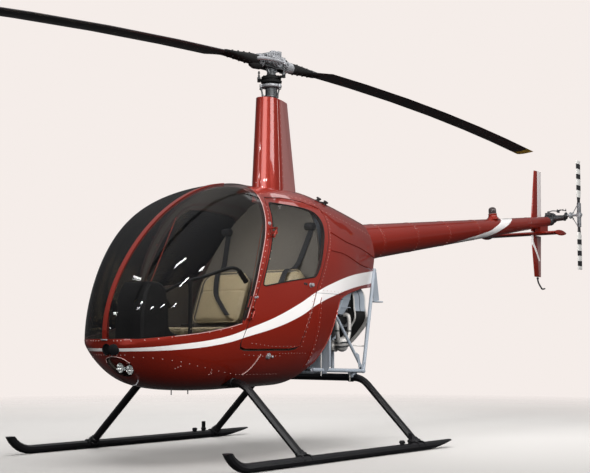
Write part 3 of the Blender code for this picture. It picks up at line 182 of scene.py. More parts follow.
class Graph:
    """Short calls for adding and linking the nodes of one material."""

    def __init__(self, name):
        self.material = bpy.data.materials.new(name)
        self.material.use_nodes = True
        self.tree = self.material.node_tree
        self.shader = self.tree.nodes["Principled BSDF"]
        where = self.tree.nodes.new("ShaderNodeTexCoord")
        self.place = where.outputs["Object"]

    def set(self, **values):
        for name, value in values.items():
            label = name.replace("_", " ").title().replace("Ior", "IOR")
            self.shader.inputs[label].default_value = value
        return self

    def feed(self, value, socket):
        if isinstance(value, bpy.types.NodeSocket):
            self.tree.links.new(value, socket)
        else:
            socket.default_value = value

    def calc(self, operation, *values, clamp=False):
        node = self.tree.nodes.new("ShaderNodeMath")
        node.operation = operation
        node.use_clamp = clamp
        for value, socket in zip(values, node.inputs):
            self.feed(value, socket)
        return node.outputs[0]

    def axes(self):
        node = self.tree.nodes.new("ShaderNodeSeparateXYZ")
        self.tree.links.new(self.place, node.inputs[0])
        return node.outputs

    def noise(self, scale, detail=2.0, stretch=(1, 1, 1), roughness=0.5):
        spread = self.tree.nodes.new("ShaderNodeMapping")
        spread.inputs["Scale"].default_value = stretch
        self.tree.links.new(self.place, spread.inputs["Vector"])
        node = self.tree.nodes.new("ShaderNodeTexNoise")
        node.inputs["Scale"].default_value = scale
        node.inputs["Detail"].default_value = detail
        node.inputs["Roughness"].default_value = roughness
        self.tree.links.new(spread.outputs[0], node.inputs["Vector"])
        return node.outputs[0]

    def span(self, value, low, high, to_low=0.0, to_high=1.0):
        """Maps a value's range to another one, clamped."""
        node = self.tree.nodes.new("ShaderNodeMapRange")
        for given, socket in zip((value, low, high, to_low, to_high), node.inputs):
            self.feed(given, socket)
        return node.outputs[0]

    def curve(self, value, points):
        """A smooth curve through points that lie between 0 and 1 on both axes."""
        node = self.tree.nodes.new("ShaderNodeFloatCurve")
        line = node.mapping.curves[0]
        for place in points[1:-1]:
            line.points.new(*place)
        for knot, place in zip(sorted(line.points, key=lambda k: k.location[0]), points):
            knot.location = place
        node.mapping.update()
        self.tree.links.new(value, node.inputs["Value"])
        return node.outputs[0]

    def mix(self, share, first, second):
        """Mixes two colours by a share."""
        node = self.tree.nodes.new("ShaderNodeMix")
        node.data_type = 'RGBA'
        self.feed(share, node.inputs["Factor"])
        for value, key in ((first, "A"), (second, "B")):
            socket = next(s for s in node.inputs if s.name == key and s.type == 'RGBA')
            self.feed(value if isinstance(value, bpy.types.NodeSocket) else (*value, 1.0), socket)
        return next(s for s in node.outputs if s.type == 'RGBA')

    def color(self, value):
        self.feed(value, self.shader.inputs["Base Color"])

    def rough(self, value):
        self.feed(value, self.shader.inputs["Roughness"])

    def bump(self, height, strength, distance=0.001):
        node = self.tree.nodes.new("ShaderNodeBump")
        node.inputs["Strength"].default_value = strength
        node.inputs["Distance"].default_value = distance
        self.tree.links.new(height, node.inputs["Height"])
        self.tree.links.new(node.outputs[0], self.shader.inputs["Normal"])


def shade(color, factor):
    """A colour made lighter or darker."""
    return tuple(min(1.0, c * factor) for c in color)


def plain(name, color, roughness, metallic=0.0, drift=0.12, grain=180.0, bump=0.15,
          stretch=(1, 1, 1)):
    """A finish whose colour and roughness wander a little, with a fine grain."""
    graph = Graph(name)
    graph.set(metallic=metallic)
    broad = graph.noise(6.0, 4.0, stretch)
    graph.color(graph.mix(broad, shade(color, 1 - drift), shade(color, 1 + drift)))
    fine = graph.noise(grain, 2.0, stretch)
    graph.rough(graph.span(fine, 0.3, 0.7, roughness * 0.85, min(1.0, roughness * 1.15)))
    graph.bump(fine, bump, 0.0004)
    return graph.material


PAINT_RED = (0.32, 0.019, 0.007)
PAINT_DARK = (0.16, 0.008, 0.005)
PAINT_WHITE_AND_SHEEN = (0.97, 0.94, 0.925)
PAINT_METAL = 0.40


def paint(name, mask=None):
    """Metallic red under clear coat, with orange peel; mask says where it is white: real stripes,
    and on the fins and the fairing a painted reflection.
    """
    graph = Graph(name)
    graph.set(coat_weight=1.0, coat_roughness=0.03, coat_ior=1.5, ior=1.45)
    flake = graph.noise(900.0, 2.0)
    drift = graph.noise(1.6, 3.0)
    red_part = graph.mix(graph.span(flake, 0.35, 0.65), shade(PAINT_RED, 0.86),
                         shade(PAINT_RED, 1.14))
    red_part = graph.mix(graph.span(drift, 0.35, 0.7, 0.0, 0.22), red_part, PAINT_DARK)
    peel = graph.noise(160.0, 2.0)
    if mask:
        share = mask(graph)
        # White for the stripes; on the fins and the fairing the pale share is a painted reflection
        graph.color(graph.mix(share, red_part, PAINT_WHITE_AND_SHEEN))
        graph.feed(graph.span(share, 0.0, 1.0, PAINT_METAL, 0.0),
                   graph.shader.inputs["Metallic"])
        graph.rough(graph.span(share, 0.0, 1.0, 0.36, 0.30))
    else:
        graph.color(red_part)
        graph.set(metallic=PAINT_METAL)
        graph.rough(graph.span(drift, 0.3, 0.7, 0.33, 0.39))
    graph.bump(peel, 0.05, 0.0003)
    return graph.material


def unit_points(points, low, high):
    """Points scaled to lie between 0 and 1."""
    return [((a - low[0]) / (high[0] - low[0]), (b - low[1]) / (high[1] - low[1]))
            for a, b in points]


def hull_stripe(graph):
    """1 between the stripe's two edges on the fuselage."""
    low, high = (-1.56, 0.60), (0.90, 1.30)
    x, _, z = graph.axes()
    run = graph.span(graph.calc('SUBTRACT', x, MAST_X), low[0], high[0])
    edges = []
    for line in (STRIPE_LOW, STRIPE_TOP):
        first = [(low[0], line[0][1] - 0.001)]
        last = [(high[0], line[-1][1] + 0.008)]
        share = graph.curve(run, unit_points(first + line + last, low, high))
        edges.append(graph.span(share, 0.0, 1.0, low[1], high[1]))
    over = graph.calc('SUBTRACT', z, edges[0])
    under = graph.calc('SUBTRACT', edges[1], z)
    inside = graph.calc('MINIMUM', over, under)
    return graph.span(inside, -0.0008, 0.0008)


def cone_stripe(graph):
    """1 between the stripe's two edges on the tail cone."""
    low, high = (-1.0, 2.0), (1.0, 3.6)
    x, _, z = graph.axes()
    x = graph.calc('SUBTRACT', x, MAST_X)
    axis = graph.span(x, 0.0, 5.0, tail_axis_z(0.0), tail_axis_z(5.0))
    radius = graph.span(x, 0.0, 5.0, tail_radius(0.0), tail_radius(5.0))
    level = graph.calc('DIVIDE', graph.calc('SUBTRACT', z, axis), radius)
    share = graph.span(level, -1.0, 1.0)
    edges = []
    for line in (CONE_STRIPE_FRONT, CONE_STRIPE_REAR):
        found = graph.curve(share, unit_points(line, low, high))
        edges.append(graph.span(found, 0.0, 1.0, low[1], high[1]))
    over = graph.calc('SUBTRACT', x, edges[0])
    under = graph.calc('SUBTRACT', edges[1], x)
    return graph.span(graph.calc('MINIMUM', over, under), -0.0015, 0.0015)


def upper_fin_painted_reflection(graph):
    """1 on the rear half of the upper fin, which is made pale as a painted reflection."""
    x, _, z = graph.axes()
    edge = graph.span(z, 1.78, 2.40, MAST_X + 4.141, MAST_X + 4.161)
    return graph.span(graph.calc('SUBTRACT', x, edge), -0.0015, 0.0015, 0.0, 0.85)


def lower_fin_stripe_and_sheen(graph):
    """1 on the slanting stripe of the lower fin, less on its rear half, which is a painted
    reflection.
    """
    x, _, z = graph.axes()
    middle = graph.span(z, 1.516, 1.70, MAST_X + 4.190, MAST_X + 4.040)
    away = graph.calc('ABSOLUTE', graph.calc('SUBTRACT', x, middle))
    bar = graph.calc('MULTIPLY', graph.span(away, 0.020, 0.023, 0.95, 0.0),
                     graph.span(z, 1.512, 1.516))
    # The paler rear half is a painted reflection; the slanting bar is a real stripe
    edge = graph.span(z, 1.36, 1.74, MAST_X + 4.168, MAST_X + 4.135)
    rear = graph.span(graph.calc('SUBTRACT', x, edge), -0.0015, 0.0015, 0.0, 0.22)
    return graph.calc('MAXIMUM', bar, rear)


def fairing_rear_painted_sheen(graph):
    """A greyer rear half of the mast fairing: a painted reflection of the sky."""
    x, _, z = graph.axes()
    edge = graph.span(z, 1.70, 2.44, MAST_X + 0.035, MAST_X + 0.010)
    return graph.span(graph.calc('SUBTRACT', x, edge), 0.0, 0.03, 0.0, 0.16)


def tinted(name, alpha, color=(0.003, 0.0033, 0.0036)):
    """Tinted acrylic: see-through, glossy, with faint smears."""
    graph = Graph(name)
    graph.set(ior=1.5, specular_ior_level=0.85)
    smear = graph.noise(3.0, 3.0, (1, 1, 0.25))
    graph.color(graph.mix(smear, shade(color, 0.8), shade(color, 1.3)))
    graph.rough(graph.span(smear, 0.3, 0.7, 0.003, 0.008))
    graph.feed(graph.span(smear, 0.2, 0.8, alpha - 0.02, alpha + 0.02),
               graph.shader.inputs["Alpha"])
    return graph.material


def dull(material, level):
    """Lowers the strength of a material's reflections."""
    shader = next(n for n in material.node_tree.nodes if n.type == 'BSDF_PRINCIPLED')
    shader.inputs["Specular IOR Level"].default_value = level
    return material


def leather(name, color):
    """Soft covering with a pebbled grain and slight creases."""
    graph = Graph(name)
    graph.set(sheen_weight=0.15)
    broad = graph.noise(5.0, 4.0)
    graph.color(graph.mix(broad, shade(color, 0.80), shade(color, 1.15)))
    cells = graph.tree.nodes.new("ShaderNodeTexVoronoi")
    cells.inputs["Scale"].default_value = 420.0
    graph.tree.links.new(graph.place, cells.inputs["Vector"])
    crease = graph.noise(38.0, 5.0)
    height = graph.calc('ADD', cells.outputs["Distance"], graph.calc('MULTIPLY', crease, 1.6))
    graph.rough(graph.span(crease, 0.3, 0.7, 0.50, 0.66))
    graph.bump(height, 0.30, 0.0012)
    return graph.material


def blade_finish():
    """Black blade with a yellow tip."""
    graph = Graph("blade_black_and_tip")
    graph.set(coat_weight=0.25, coat_roughness=0.15)
    reach = graph.calc('ABSOLUTE', graph.calc('SUBTRACT', graph.axes()[0], MAST_X))
    tip = graph.span(reach, 3.728, 3.731)
    fine = graph.noise(30.0, 4.0, (0.3, 1, 1))
    black = graph.mix(fine, (0.010, 0.010, 0.011), (0.028, 0.028, 0.030))
    yellow = graph.mix(fine, (0.80, 0.60, 0.03), (0.92, 0.72, 0.06))
    graph.color(graph.mix(tip, black, yellow))
    graph.rough(graph.span(fine, 0.3, 0.7, 0.40, 0.55))
    graph.bump(fine, 0.05, 0.0003)
    return graph.material


def tail_radius(x):
    """Radius of the tail cone at x."""
    share = (x - CONE_START) / (CONE_END - CONE_START)
    return CONE_RADII[0] + (CONE_RADII[1] - CONE_RADII[0]) * share


def tail_axis_z(x):
    """Height of the tail cone's axis at x."""
    return 1.4815 + 0.131 * (x - 1.0)


# ---------------------------------------------------------------- mesh building

def piece(name, bm, finish, body, replaces=(), angle=35):
    """Turns a mesh that was built from the mast into a shown piece."""
    bmesh.ops.recalc_face_normals(bm, faces=bm.faces)
    mesh = bpy.data.meshes.new(name)
    bm.to_mesh(mesh)
    bm.free()
    return piece_of(name, mesh, finish, body, replaces, angle)


def piece_of(name, mesh, finish, body, replaces=(), angle=35):
    """Places a finished mesh, and tells its body and what it stands for."""
    mesh.transform(Matrix.Translation((MAST_X, 0, 0)))
    mesh.materials.clear()
    mesh.materials.append(finish)
    if angle:
        mesh.shade_smooth()
        mesh.set_sharp_from_angle(angle=math.radians(angle))
    obj = bpy.data.objects.new(name, mesh)
    bpy.context.scene.collection.objects.link(obj)
    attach(obj, body)
    if replaces:
        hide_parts(*replaces)
    return obj


def flowing(points, steps=6, closed=False):
    """A smooth line through points, which it passes exactly."""
    points = [Vector(p) for p in points]
    count = len(points)
    ends = range(count if closed else count - 1)
    line = []
    for i in ends:
        b, c = points[i], points[(i + 1) % count]
        a = points[i - 1] if closed or i > 0 else b * 2 - c
        d = points[(i + 2) % count] if closed or i + 2 < count else c * 2 - b
        for k in range(steps):
            t = k / steps
            line.append(0.5 * (2 * b + (c - a) * t + (2 * a - 5 * b + 4 * c - d) * t**2
                               + (3 * b - a - 3 * c + d) * t**3))
    if not closed:
        line.append(points[-1])
    return line


def square_to(direction):
    """Two directions at right angles to one direction."""
    direction = Vector(direction).normalized()
    aside = Vector((0, 0, 1)) if abs(direction.z) < 0.9 else Vector((1, 0, 0))
    first = direction.cross(aside).normalized()
    return first, direction.cross(first).normalized()


def loft(bm, rings, caps=True, closed=True):
    """Joins rings of equal count. A ring of one point closes to that point."""
    made = [[bm.verts.new(p) for p in ring] for ring in rings]
    for before, after in zip(made, made[1:]):
        count = max(len(before), len(after))
        for k in range(count if closed else count - 1):
            n = (k + 1) % count
            corners = [before[k % len(before)], before[n % len(before)],
                       after[n % len(after)], after[k % len(after)]]
            unique = list(dict.fromkeys(corners))
            if len(unique) > 2:
                bm.faces.new(unique)
    if caps:
        for ring in (made[0], made[-1]):
            if len(ring) > 2:
                bm.faces.new(ring)
    return made


def lathe(bm, start, direction, profile, sides=24):
    """A turned form: profile is a list of (distance along, radius)."""
    start = Vector(start)
    direction = Vector(direction).normalized()
    u, v = square_to(direction)
    rings = []
    for run, radius in profile:
        centre = start + direction * run
        if radius < 1e-6:
            rings.append([centre])
            continue
        rings.append([centre + (u * math.cos(a) + v * math.sin(a)) * radius
                      for a in (2 * math.pi * k / sides for k in range(sides))])
    loft(bm, rings)


def rod(bm, start, end, radius, sides=12, end_radius=None):
    """A round bar between two points, which may taper."""
    start, end = Vector(start), Vector(end)
    last = radius if end_radius is None else end_radius
    lathe(bm, start, end - start, [(0, radius), ((end - start).length, last)], sides)


def sweep(bm, points, radius, sides=10, steps=5, closed=False):
    """A round tube along a smooth line. radius is one number or one for each given point."""
    line = flowing(points, steps, closed) if steps > 1 else [Vector(p) for p in points]
    count = len(line)
    if isinstance(radius, (int, float)):
        radii = [radius] * count
    else:
        radii = list(np.interp(np.linspace(0, len(radius) - 1, count),
                               np.arange(len(radius)), radius))
    tangents = []
    for i in range(count):
        before = line[i - 1] if closed or i > 0 else line[i]
        after = line[(i + 1) % count] if closed or i + 1 < count else line[i]
        tangents.append((after - before).normalized())
    u, _ = square_to(tangents[0])
    rings = []
    for place, tangent, size in zip(line, tangents, radii):
        u = (u - tangent * u.dot(tangent)).normalized()
        v = tangent.cross(u)
        rings.append([place + (u * math.cos(a) + v * math.sin(a)) * size
                      for a in (2 * math.pi * k / sides for k in range(sides))])
    if closed:
        rings.append(rings[0])
    made = loft(bm, rings, caps=not closed)
    if closed:
        bmesh.ops.remove_doubles(bm, verts=made[0] + made[-1], dist=1e-6)


def block(bm, low, high, bevel=0.002, turn=None, segments=2):
    """A box with softened edges. turn is applied about the model's origin."""
    before = set(bm.verts)
    made = bmesh.ops.create_cube(bm, size=1.0)["verts"]
    size = [abs(b - a) for a, b in zip(low, high)]
    centre = [(a + b) / 2 for a, b in zip(low, high)]
    bmesh.ops.scale(bm, vec=size, verts=made)
    bmesh.ops.translate(bm, vec=centre, verts=made)
    if bevel:
        edges = list({e for v in made for e in v.link_edges})
        bmesh.ops.bevel(bm, geom=edges, offset=min(bevel, min(size) * 0.45), segments=segments,
                        affect='EDGES', profile=0.5)
    if turn:
        fresh = [v for v in bm.verts if v not in before]
        bmesh.ops.transform(bm, matrix=turn, verts=fresh)


def slab(bm, outline, low, high, normal='Y', bevel=0.0):
    """A flat outline given thickness: (x, z) points for Y, (x, y) for Z, (y, z) for X."""
    place = {'Y': lambda p, w: (p[0], w, p[1]), 'Z': lambda p, w: (p[0], p[1], w),
             'X': lambda p, w: (w, p[0], p[1])}[normal]
    if not bevel:
        loft(bm, [[place(p, low) for p in outline], [place(p, high) for p in outline]])
        return
    inner = offset(outline, -bevel)
    loft(bm, [[place(p, low) for p in inner], [place(p, low + bevel) for p in outline],
              [place(p, high - bevel) for p in outline], [place(p, high) for p in inner]])


def offset(outline, distance):
    """Moves a closed outline out by a distance, or in where it is negative."""
    count = len(outline)
    area = sum(outline[i][0] * outline[(i + 1) % count][1]
               - outline[(i + 1) % count][0] * outline[i][1] for i in range(count))
    side = 1 if area > 0 else -1
    moved = []
    for i in range(count):
        a, b, c = (Vector(outline[(i + k) % count]) for k in (-1, 0, 1))
        first = (b - a).normalized()
        second = (c - b).normalized()
        normal = Vector((first.y + second.y, -first.x - second.x)).normalized()
        stretch = max(0.4, normal.dot(Vector((first.y, -first.x))))
        moved.append(tuple(b + normal * side * distance / stretch))
    return moved


def heads(bm, places, radius, height=None, sides=8):
    """Low round heads, such as rivets, at (point, normal) places."""
    height = height or radius * 0.45
    for point, normal in places:
        normal = Vector(normal).normalized()
        lathe(bm, Vector(point) - normal * 0.0006, normal,
              [(0.0, radius), (0.0006 + height * 0.5, radius * 0.85),
               (0.0006 + height * 0.9, radius * 0.45), (0.0006 + height, 0.0)], sides)


# ---------------------------------------------------------------- fuselage surface

def along(points, x):
    """A smooth curve through points that are sorted by x: cubic, with no overshoot."""
    xs, ys = np.array(points, float).T
    steps = np.diff(xs)
    slopes = np.diff(ys) / steps
    product = slopes[:-1] * slopes[1:]
    total = slopes[:-1] + slopes[1:]
    inner = np.where(product <= 0, 0.0, 2 * product / np.where(total == 0, 1.0, total))
    tangents = np.concatenate(([slopes[0]], inner, [slopes[-1]]))
    x = np.clip(x, xs[0], xs[-1])
    i = np.clip(np.searchsorted(xs, x, side="left") - 1, 0, len(steps) - 1)
    t = (x - xs[i]) / steps[i]
    rise = (2 * t**3 - 3 * t**2 + 1) * ys[i] + (3 * t**2 - 2 * t**3) * ys[i + 1]
    lean = (t**3 - 2 * t**2 + t) * tangents[i] + (t**3 - t**2) * tangents[i + 1]
    return rise + lean * steps[i]


def dome(shape, x):
    """How far a dome has opened at x, from 0 at the nose to its full height."""
    length, power, height = shape
    reach = np.clip(1.0 - (x - NOSE_X) / length, 0.0, 1.0)
    return height * (1.0 - reach ** power) ** (1.0 / power)


def hull_section(x):
    """Top, belly, half width, height of the widest point, and the two roundness powers."""
    x = np.asarray(x, float)
    top = np.where(x < TOP_AFT[0][0], NOSE_Z + dome(TOP_DOME, x), along(TOP_AFT, x))
    half = np.where(x < SIDE_AFT[0][0], dome(SIDE_DOME, x), along(SIDE_AFT, x))
    belly = np.where(x < BELLY_AFT[0][0], NOSE_Z - dome(BELLY_DOME, x), along(BELLY_AFT, x))
    margin = 0.15 * (top - belly)
    widest = np.minimum(np.maximum(along(WIDEST_Z, x), belly + margin), top - margin)
    return top, belly, half, widest, along(UPPER_POWER, x), along(LOWER_POWER, x)


def half_ring(x, inset, count):
    """Port half of a section from top to belly, as (y, z) points at even steps."""
    top, belly, half, widest, upper, lower = (float(v) for v in hull_section(x))
    half = max(0.001, half - inset)
    up = max(0.001, top - inset - widest)
    down = max(0.001, widest - belly - inset)
    angle = np.radians(np.linspace(0, 180, 721))
    high = angle <= math.pi / 2
    power = np.where(high, upper, lower)
    side = np.abs(np.sin(angle)) ** (2 / power)
    rise = np.abs(np.cos(angle)) ** (2 / power) * np.where(high, up, -down)
    y, z = -half * side, widest + rise
    run = np.concatenate(([0.0], np.cumsum(np.hypot(np.diff(y), np.diff(z)))))
    even = np.linspace(0, run[-1], count)
    y, z = np.interp(even, run, y), np.interp(even, run, z)
    y[0] = y[-1] = 0.0
    return list(zip(y, z))


def skin_y(x, z):
    """Half width of the fuselage at a place in side view."""
    top, belly, half, widest, upper, lower = (float(v) for v in hull_section(x))
    height, power = (top - widest, upper) if z >= widest else (widest - belly, lower)
    share = min(1.0, abs((z - widest) / height))
    return half * (1.0 - share ** power) ** (1.0 / power)


def hull_gauge(points):
    """1 on the fuselage's surface, less inside it."""
    x = np.maximum(points[:, 0], NOSE_X + 0.0015)
    top, belly, half, widest, upper, lower = hull_section(x)
    rise = points[:, 2] - widest
    height = np.where(rise >= 0, top - widest, widest - belly)
    power = np.where(rise >= 0, upper, lower)
    total = np.abs(points[:, 1] / half) ** power + np.abs(rise / height) ** power
    return np.maximum(total, 1e-9) ** (1.0 / power)


def hull_normals(points):
    """Outward directions of the fuselage at points."""
    points = np.asarray(points, float).reshape(-1, 3)
    step = 0.0004
    gradient = np.zeros_like(points)
    for axis in range(3):
        move = np.zeros(3)
        move[axis] = step
        gradient[:, axis] = hull_gauge(points + move) - hull_gauge(points - move)
    return gradient / np.maximum(np.linalg.norm(gradient, axis=1, keepdims=True), 1e-12)


def on_hull(x, z, side=-1, lift=0.0):
    """A point of the fuselage in side view, and its outward direction."""
    point = np.array([[x, side * skin_y(x, z), z]])
    normal = Vector(hull_normals(point)[0])
    return Vector(point[0]) + normal * lift, normal


RING = 61
NOSE_STATIONS = 70
AFT_STATIONS = 44


def hull_shell(name, thickness, lift=0.0):
    """The whole fuselage as a fine shell with a thickness, open at the tail end."""
    bm = bmesh.new()
    layers = []
    for inset in (-lift, thickness - lift):
        start = NOSE_X + inset
        turn = np.radians(np.linspace(0, 90, NOSE_STATIONS + 1)[1:])
        front = start + (-0.30 - start) * (1 - np.cos(turn))
        aft = np.linspace(-0.30, TAIL_END_X, AFT_STATIONS + 1)[1:]
        rings = [[bm.verts.new((start, 0.0, NOSE_Z))]]
        for x in np.concatenate((front, aft)):
            port = half_ring(x, inset, RING)
            loop = port + [(-y, z) for y, z in reversed(port[1:-1])]
            rings.append([bm.verts.new((x, y, z)) for y, z in loop])
        layers.append(rings)
        for before, after in zip(rings, rings[1:]):
            count = len(after)
            for k in range(count):
                n = (k + 1) % count
                corners = [before[k % len(before)], after[k], after[n], before[n % len(before)]]
                bm.faces.new(list(dict.fromkeys(corners)))
    outer, inner = layers[0][-1], layers[1][-1]
    for k in range(len(outer)):
        n = (k + 1) % len(outer)
        bm.faces.new((outer[k], outer[n], inner[n], inner[k]))
    bmesh.ops.triangulate(bm, faces=bm.faces)
    bmesh.ops.recalc_face_normals(bm, faces=bm.faces)
    mesh = bpy.data.meshes.new(name)
    bm.to_mesh(mesh)
    bm.free()
    return mesh


SHELLS = {}


def skin(name, thickness, lift=0.0):
    """A working copy of the fine shell of one thickness."""
    key = (thickness, lift)
    if key not in SHELLS:
        SHELLS[key] = hull_shell("shell %.3f %.3f" % key, thickness, lift)
    obj = bpy.data.objects.new(name + " work", SHELLS[key].copy())
    bpy.context.scene.collection.objects.link(obj)
    return obj


def tool(bm):
    """A hidden solid that cuts others."""
    bmesh.ops.recalc_face_normals(bm, faces=bm.faces)
    mesh = bpy.data.meshes.new("tool")
    bm.to_mesh(mesh)
    bm.free()
    obj = bpy.data.objects.new("tool", mesh)
    bpy.context.scene.collection.objects.link(obj)
    TOOLS.append(obj)
    return obj


TOOLS = []


def prism(outline, low=-1.0, high=1.0, margin=0.0, normal='Y'):
    """A cutter with a side outline."""
    shape = offset(outline, margin) if margin else outline
    bm = bmesh.new()
    slab(bm, [tuple(p) for p in shape], low, high, normal)
    bmesh.ops.triangulate(bm, faces=bm.faces)
    return tool(bm)


def boolean(obj, other, operation):
    """Replaces a work object's mesh by the result with another solid."""
    modifier = obj.modifiers.new("cut", 'BOOLEAN')
    modifier.operation = operation
    modifier.solver = 'MANIFOLD'
    modifier.object = other
    bpy.context.view_layer.update()
    graph = bpy.context.evaluated_depsgraph_get()
    mesh = bpy.data.meshes.new_from_object(obj.evaluated_get(graph))
    obj.modifiers.clear()
    obj.data = mesh


def keep(obj, *others):
    """Leaves what lies inside the others."""
    for other in others:
        boolean(obj, other, 'INTERSECT')
    return obj


def cut(obj, *others):
    """Takes the others away."""
    for other in others:
        boolean(obj, other, 'DIFFERENCE')
    return obj


def panel(name, work, finish, body, slot, replaces=()):
    """Ends a cut of the shell: clean mesh, true normals along the surface, shown piece."""
    mesh = work.data
    bpy.data.objects.remove(work)
    bm = bmesh.new()
    bm.from_mesh(mesh)
    bmesh.ops.remove_doubles(bm, verts=bm.verts, dist=0.00003)
    bmesh.ops.dissolve_degenerate(bm, edges=bm.edges, dist=0.00003)
    bmesh.ops.recalc_face_normals(bm, faces=bm.faces)
    hull_faces = len(bm.faces)
    bm.to_mesh(mesh)
    bm.free()
    mesh.name = name
    mesh.shade_smooth()
    inward = set_normals(mesh, hull_faces)
    shown = piece_of(name, mesh, finish, body, replaces, angle=0)
    # Inner faces and cut edges of the red skins get the dark painted shade
    if slot == "red_paint" and "bow" not in name:
        mesh.materials.append(inside_finish())
        mesh.polygons.foreach_set("material_index", inward.astype(np.int32))
    return shown


def inside_finish():
    """Dark red-brown painted shade on the inner faces and edges of the painted skins."""
    name = "inside_painted_shade"
    return bpy.data.materials.get(name) or plain(name, (0.040, 0.022, 0.020), 0.7, 0.0, 0.3,
                                                 120.0, 0.2)


def set_normals(mesh, hull_faces):
    """Gives the faces that lie along the fuselage its exact outward directions."""
    count = len(mesh.loops)
    corner = np.zeros(count, np.int32)
    mesh.loops.foreach_get("vertex_index", corner)
    places = np.zeros(len(mesh.vertices) * 3)
    mesh.vertices.foreach_get("co", places)
    places = places.reshape(-1, 3)
    faces = np.zeros(len(mesh.polygons) * 3)
    mesh.polygons.foreach_get("normal", faces)
    sizes = np.zeros(len(mesh.polygons), np.int32)
    mesh.polygons.foreach_get("loop_total", sizes)
    flat = np.repeat(faces.reshape(-1, 3), sizes, axis=0)
    smooth = hull_normals(places)[corner]
    facing = (flat * smooth).sum(axis=1)
    sign = np.sign(facing)[:, None]
    limit = np.repeat(np.arange(len(sizes)) < hull_faces, sizes)
    along_skin = (np.abs(facing) > 0.80) & limit
    normals = np.where(along_skin[:, None], smooth * sign, flat)
    mesh.normals_split_custom_set([tuple(n) for n in normals])
    starts = np.concatenate([[0], np.cumsum(sizes)[:-1]])
    return np.minimum.reduceat(facing, starts) < 0.5


def door_outline(sill=DOOR_SILL_Z):
    """The door's outline in side view, on the middle of the gap round it."""
    top_x, top_z = DOOR_FRONT_TOP
    foot_x = top_x - DOOR_FRONT_SLOPE * (top_z - sill)
    front = [(foot_x + 0.060, sill), (foot_x + 0.022, sill + 0.012),
             (foot_x + 0.018, sill + 0.045)]
    foot = [(-0.370, sill + 0.006), (-0.420, sill)]
    return [DOOR_FRONT_TOP] + list(reversed(DOOR_REAR)) + foot + front


def fuselage(paints, glass_screen, glass_door):
    """Every panel of the fuselage, cut from fine shells."""
    door = prism(door_outline(), margin=DOOR_GAP)
    screen = prism(SCREEN_SILL + SCREEN_REAR)
    bay = prism(BAY_EDGE + [(-0.15, 0.2), (1.2, 0.2), (1.2, 1.135)])
    seam = 0.0012
    tub_region = [(-1.8, 0.2), (-1.8, 0.860), (-0.40, 0.860), (-0.30, COWL_SPLIT_Z),
                  (0.30, COWL_SPLIT_Z), (0.30, 0.2)]
    tub = keep(skin("cabin_tub", SKIN), prism(tub_region, margin=-seam))
    cut(tub, screen, door, bay, lamp_opening(), vent_opening())
    panel("cabin_tub.shell", tub, paints["hull"], "airframe", "red_paint", ["cabin_tub"])
    roof_region = [(-0.9, 0.860), (-0.78, 0.860), (-0.50, 1.3), (-0.30, 1.60),
                   (ROOF_REAR_X - 0.02, 1.60), (ROOF_REAR_X - 0.02, 2.0), (-1.2, 2.0),
                   (-1.2, 0.860)]
    roof = keep(skin("cabin_roof", SKIN), prism(roof_region, margin=-seam))
    cut(roof, screen, door)
    panel("cabin_roof.shell", roof, paints["hull"], "airframe", "red_paint", ["cabin_roof"])
    strip = bmesh.new()
    block(strip, (-2, -0.0185, 0.5), (0, 0.0185, 2), 0)
    bow = keep(skin("bow", SKIN, 0.004), prism(SCREEN_SILL + SCREEN_REAR, margin=-0.0006),
               tool(strip))
    panel("windscreen_bow.strip", bow, paints["hull"], "airframe", "red_paint",
          ["windscreen_bow"])
    for side, word in ((-1, "left"), (1, "right")):
        half = bmesh.new()
        block(half, (-2, min(side * 0.0195, side), 0.5), (0, max(side * 0.0195, side), 2), 0)
        pane = keep(skin("screen", GLASS), prism(SCREEN_SILL + SCREEN_REAR, margin=-0.0012),
                    tool(half))
        panel("windscreen_%s.pane" % word, pane, glass_screen, "airframe", "tinted_glass",
              ["windscreen_" + word])
    cowls(paints, door, bay)
    doors(paints, glass_door)


def cowls(paints, door, bay):
    """Upper and side cowlings aft of the cabin, with a ledge along the shoulder."""
    edge = ROOF_REAR_X - 0.0176
    region = [(-0.35, COWL_SPLIT_Z + 0.0012), (0.30, COWL_SPLIT_Z + 0.0012), (0.30, 0.9),
              (0.727, 0.9), (1.02, 1.468), (1.02, 2.0), (edge, 2.0), (edge, 1.5988),
              (-0.35, 1.5988)]
    plan = [(edge - 0.01, -0.17), (1.1, -0.12), (1.1, 0.12), (edge - 0.01, 0.17)]
    cone = bmesh.new()
    rod(cone, (0.6, 0, tail_axis_z(0.6)), (1.4, 0, tail_axis_z(1.4)), tail_radius(0.6) + 0.001,
        48, tail_radius(1.4) + 0.001)
    cone = tool(cone)
    rear = prism(region)
    top = keep(skin("top_cowl", COWL_SKIN), rear, prism(plan, 1.3, 2.0, -0.0012, 'Z'))
    cut(top, cone)
    panel("top_cowl.shell", top, paints["hull"], "airframe", "red_paint", ["top_cowl"])
    hole = prism(plan, 1.3, 2.0, 0.0, 'Z')
    for side, word in ((-1, "left"), (1, "right")):
        half = bmesh.new()
        block(half, (-1, min(0.0, side), 0.5), (2, max(0.0, side), 2), 0)
        cowl = keep(skin("cowl", COWL_SKIN), rear, tool(half))
        cut(cowl, door, bay, hole, cone)
        panel("engine_cowl_%s.shell" % word, cowl, paints["hull"], "airframe", "red_paint",
              ["engine_cowl_" + word])


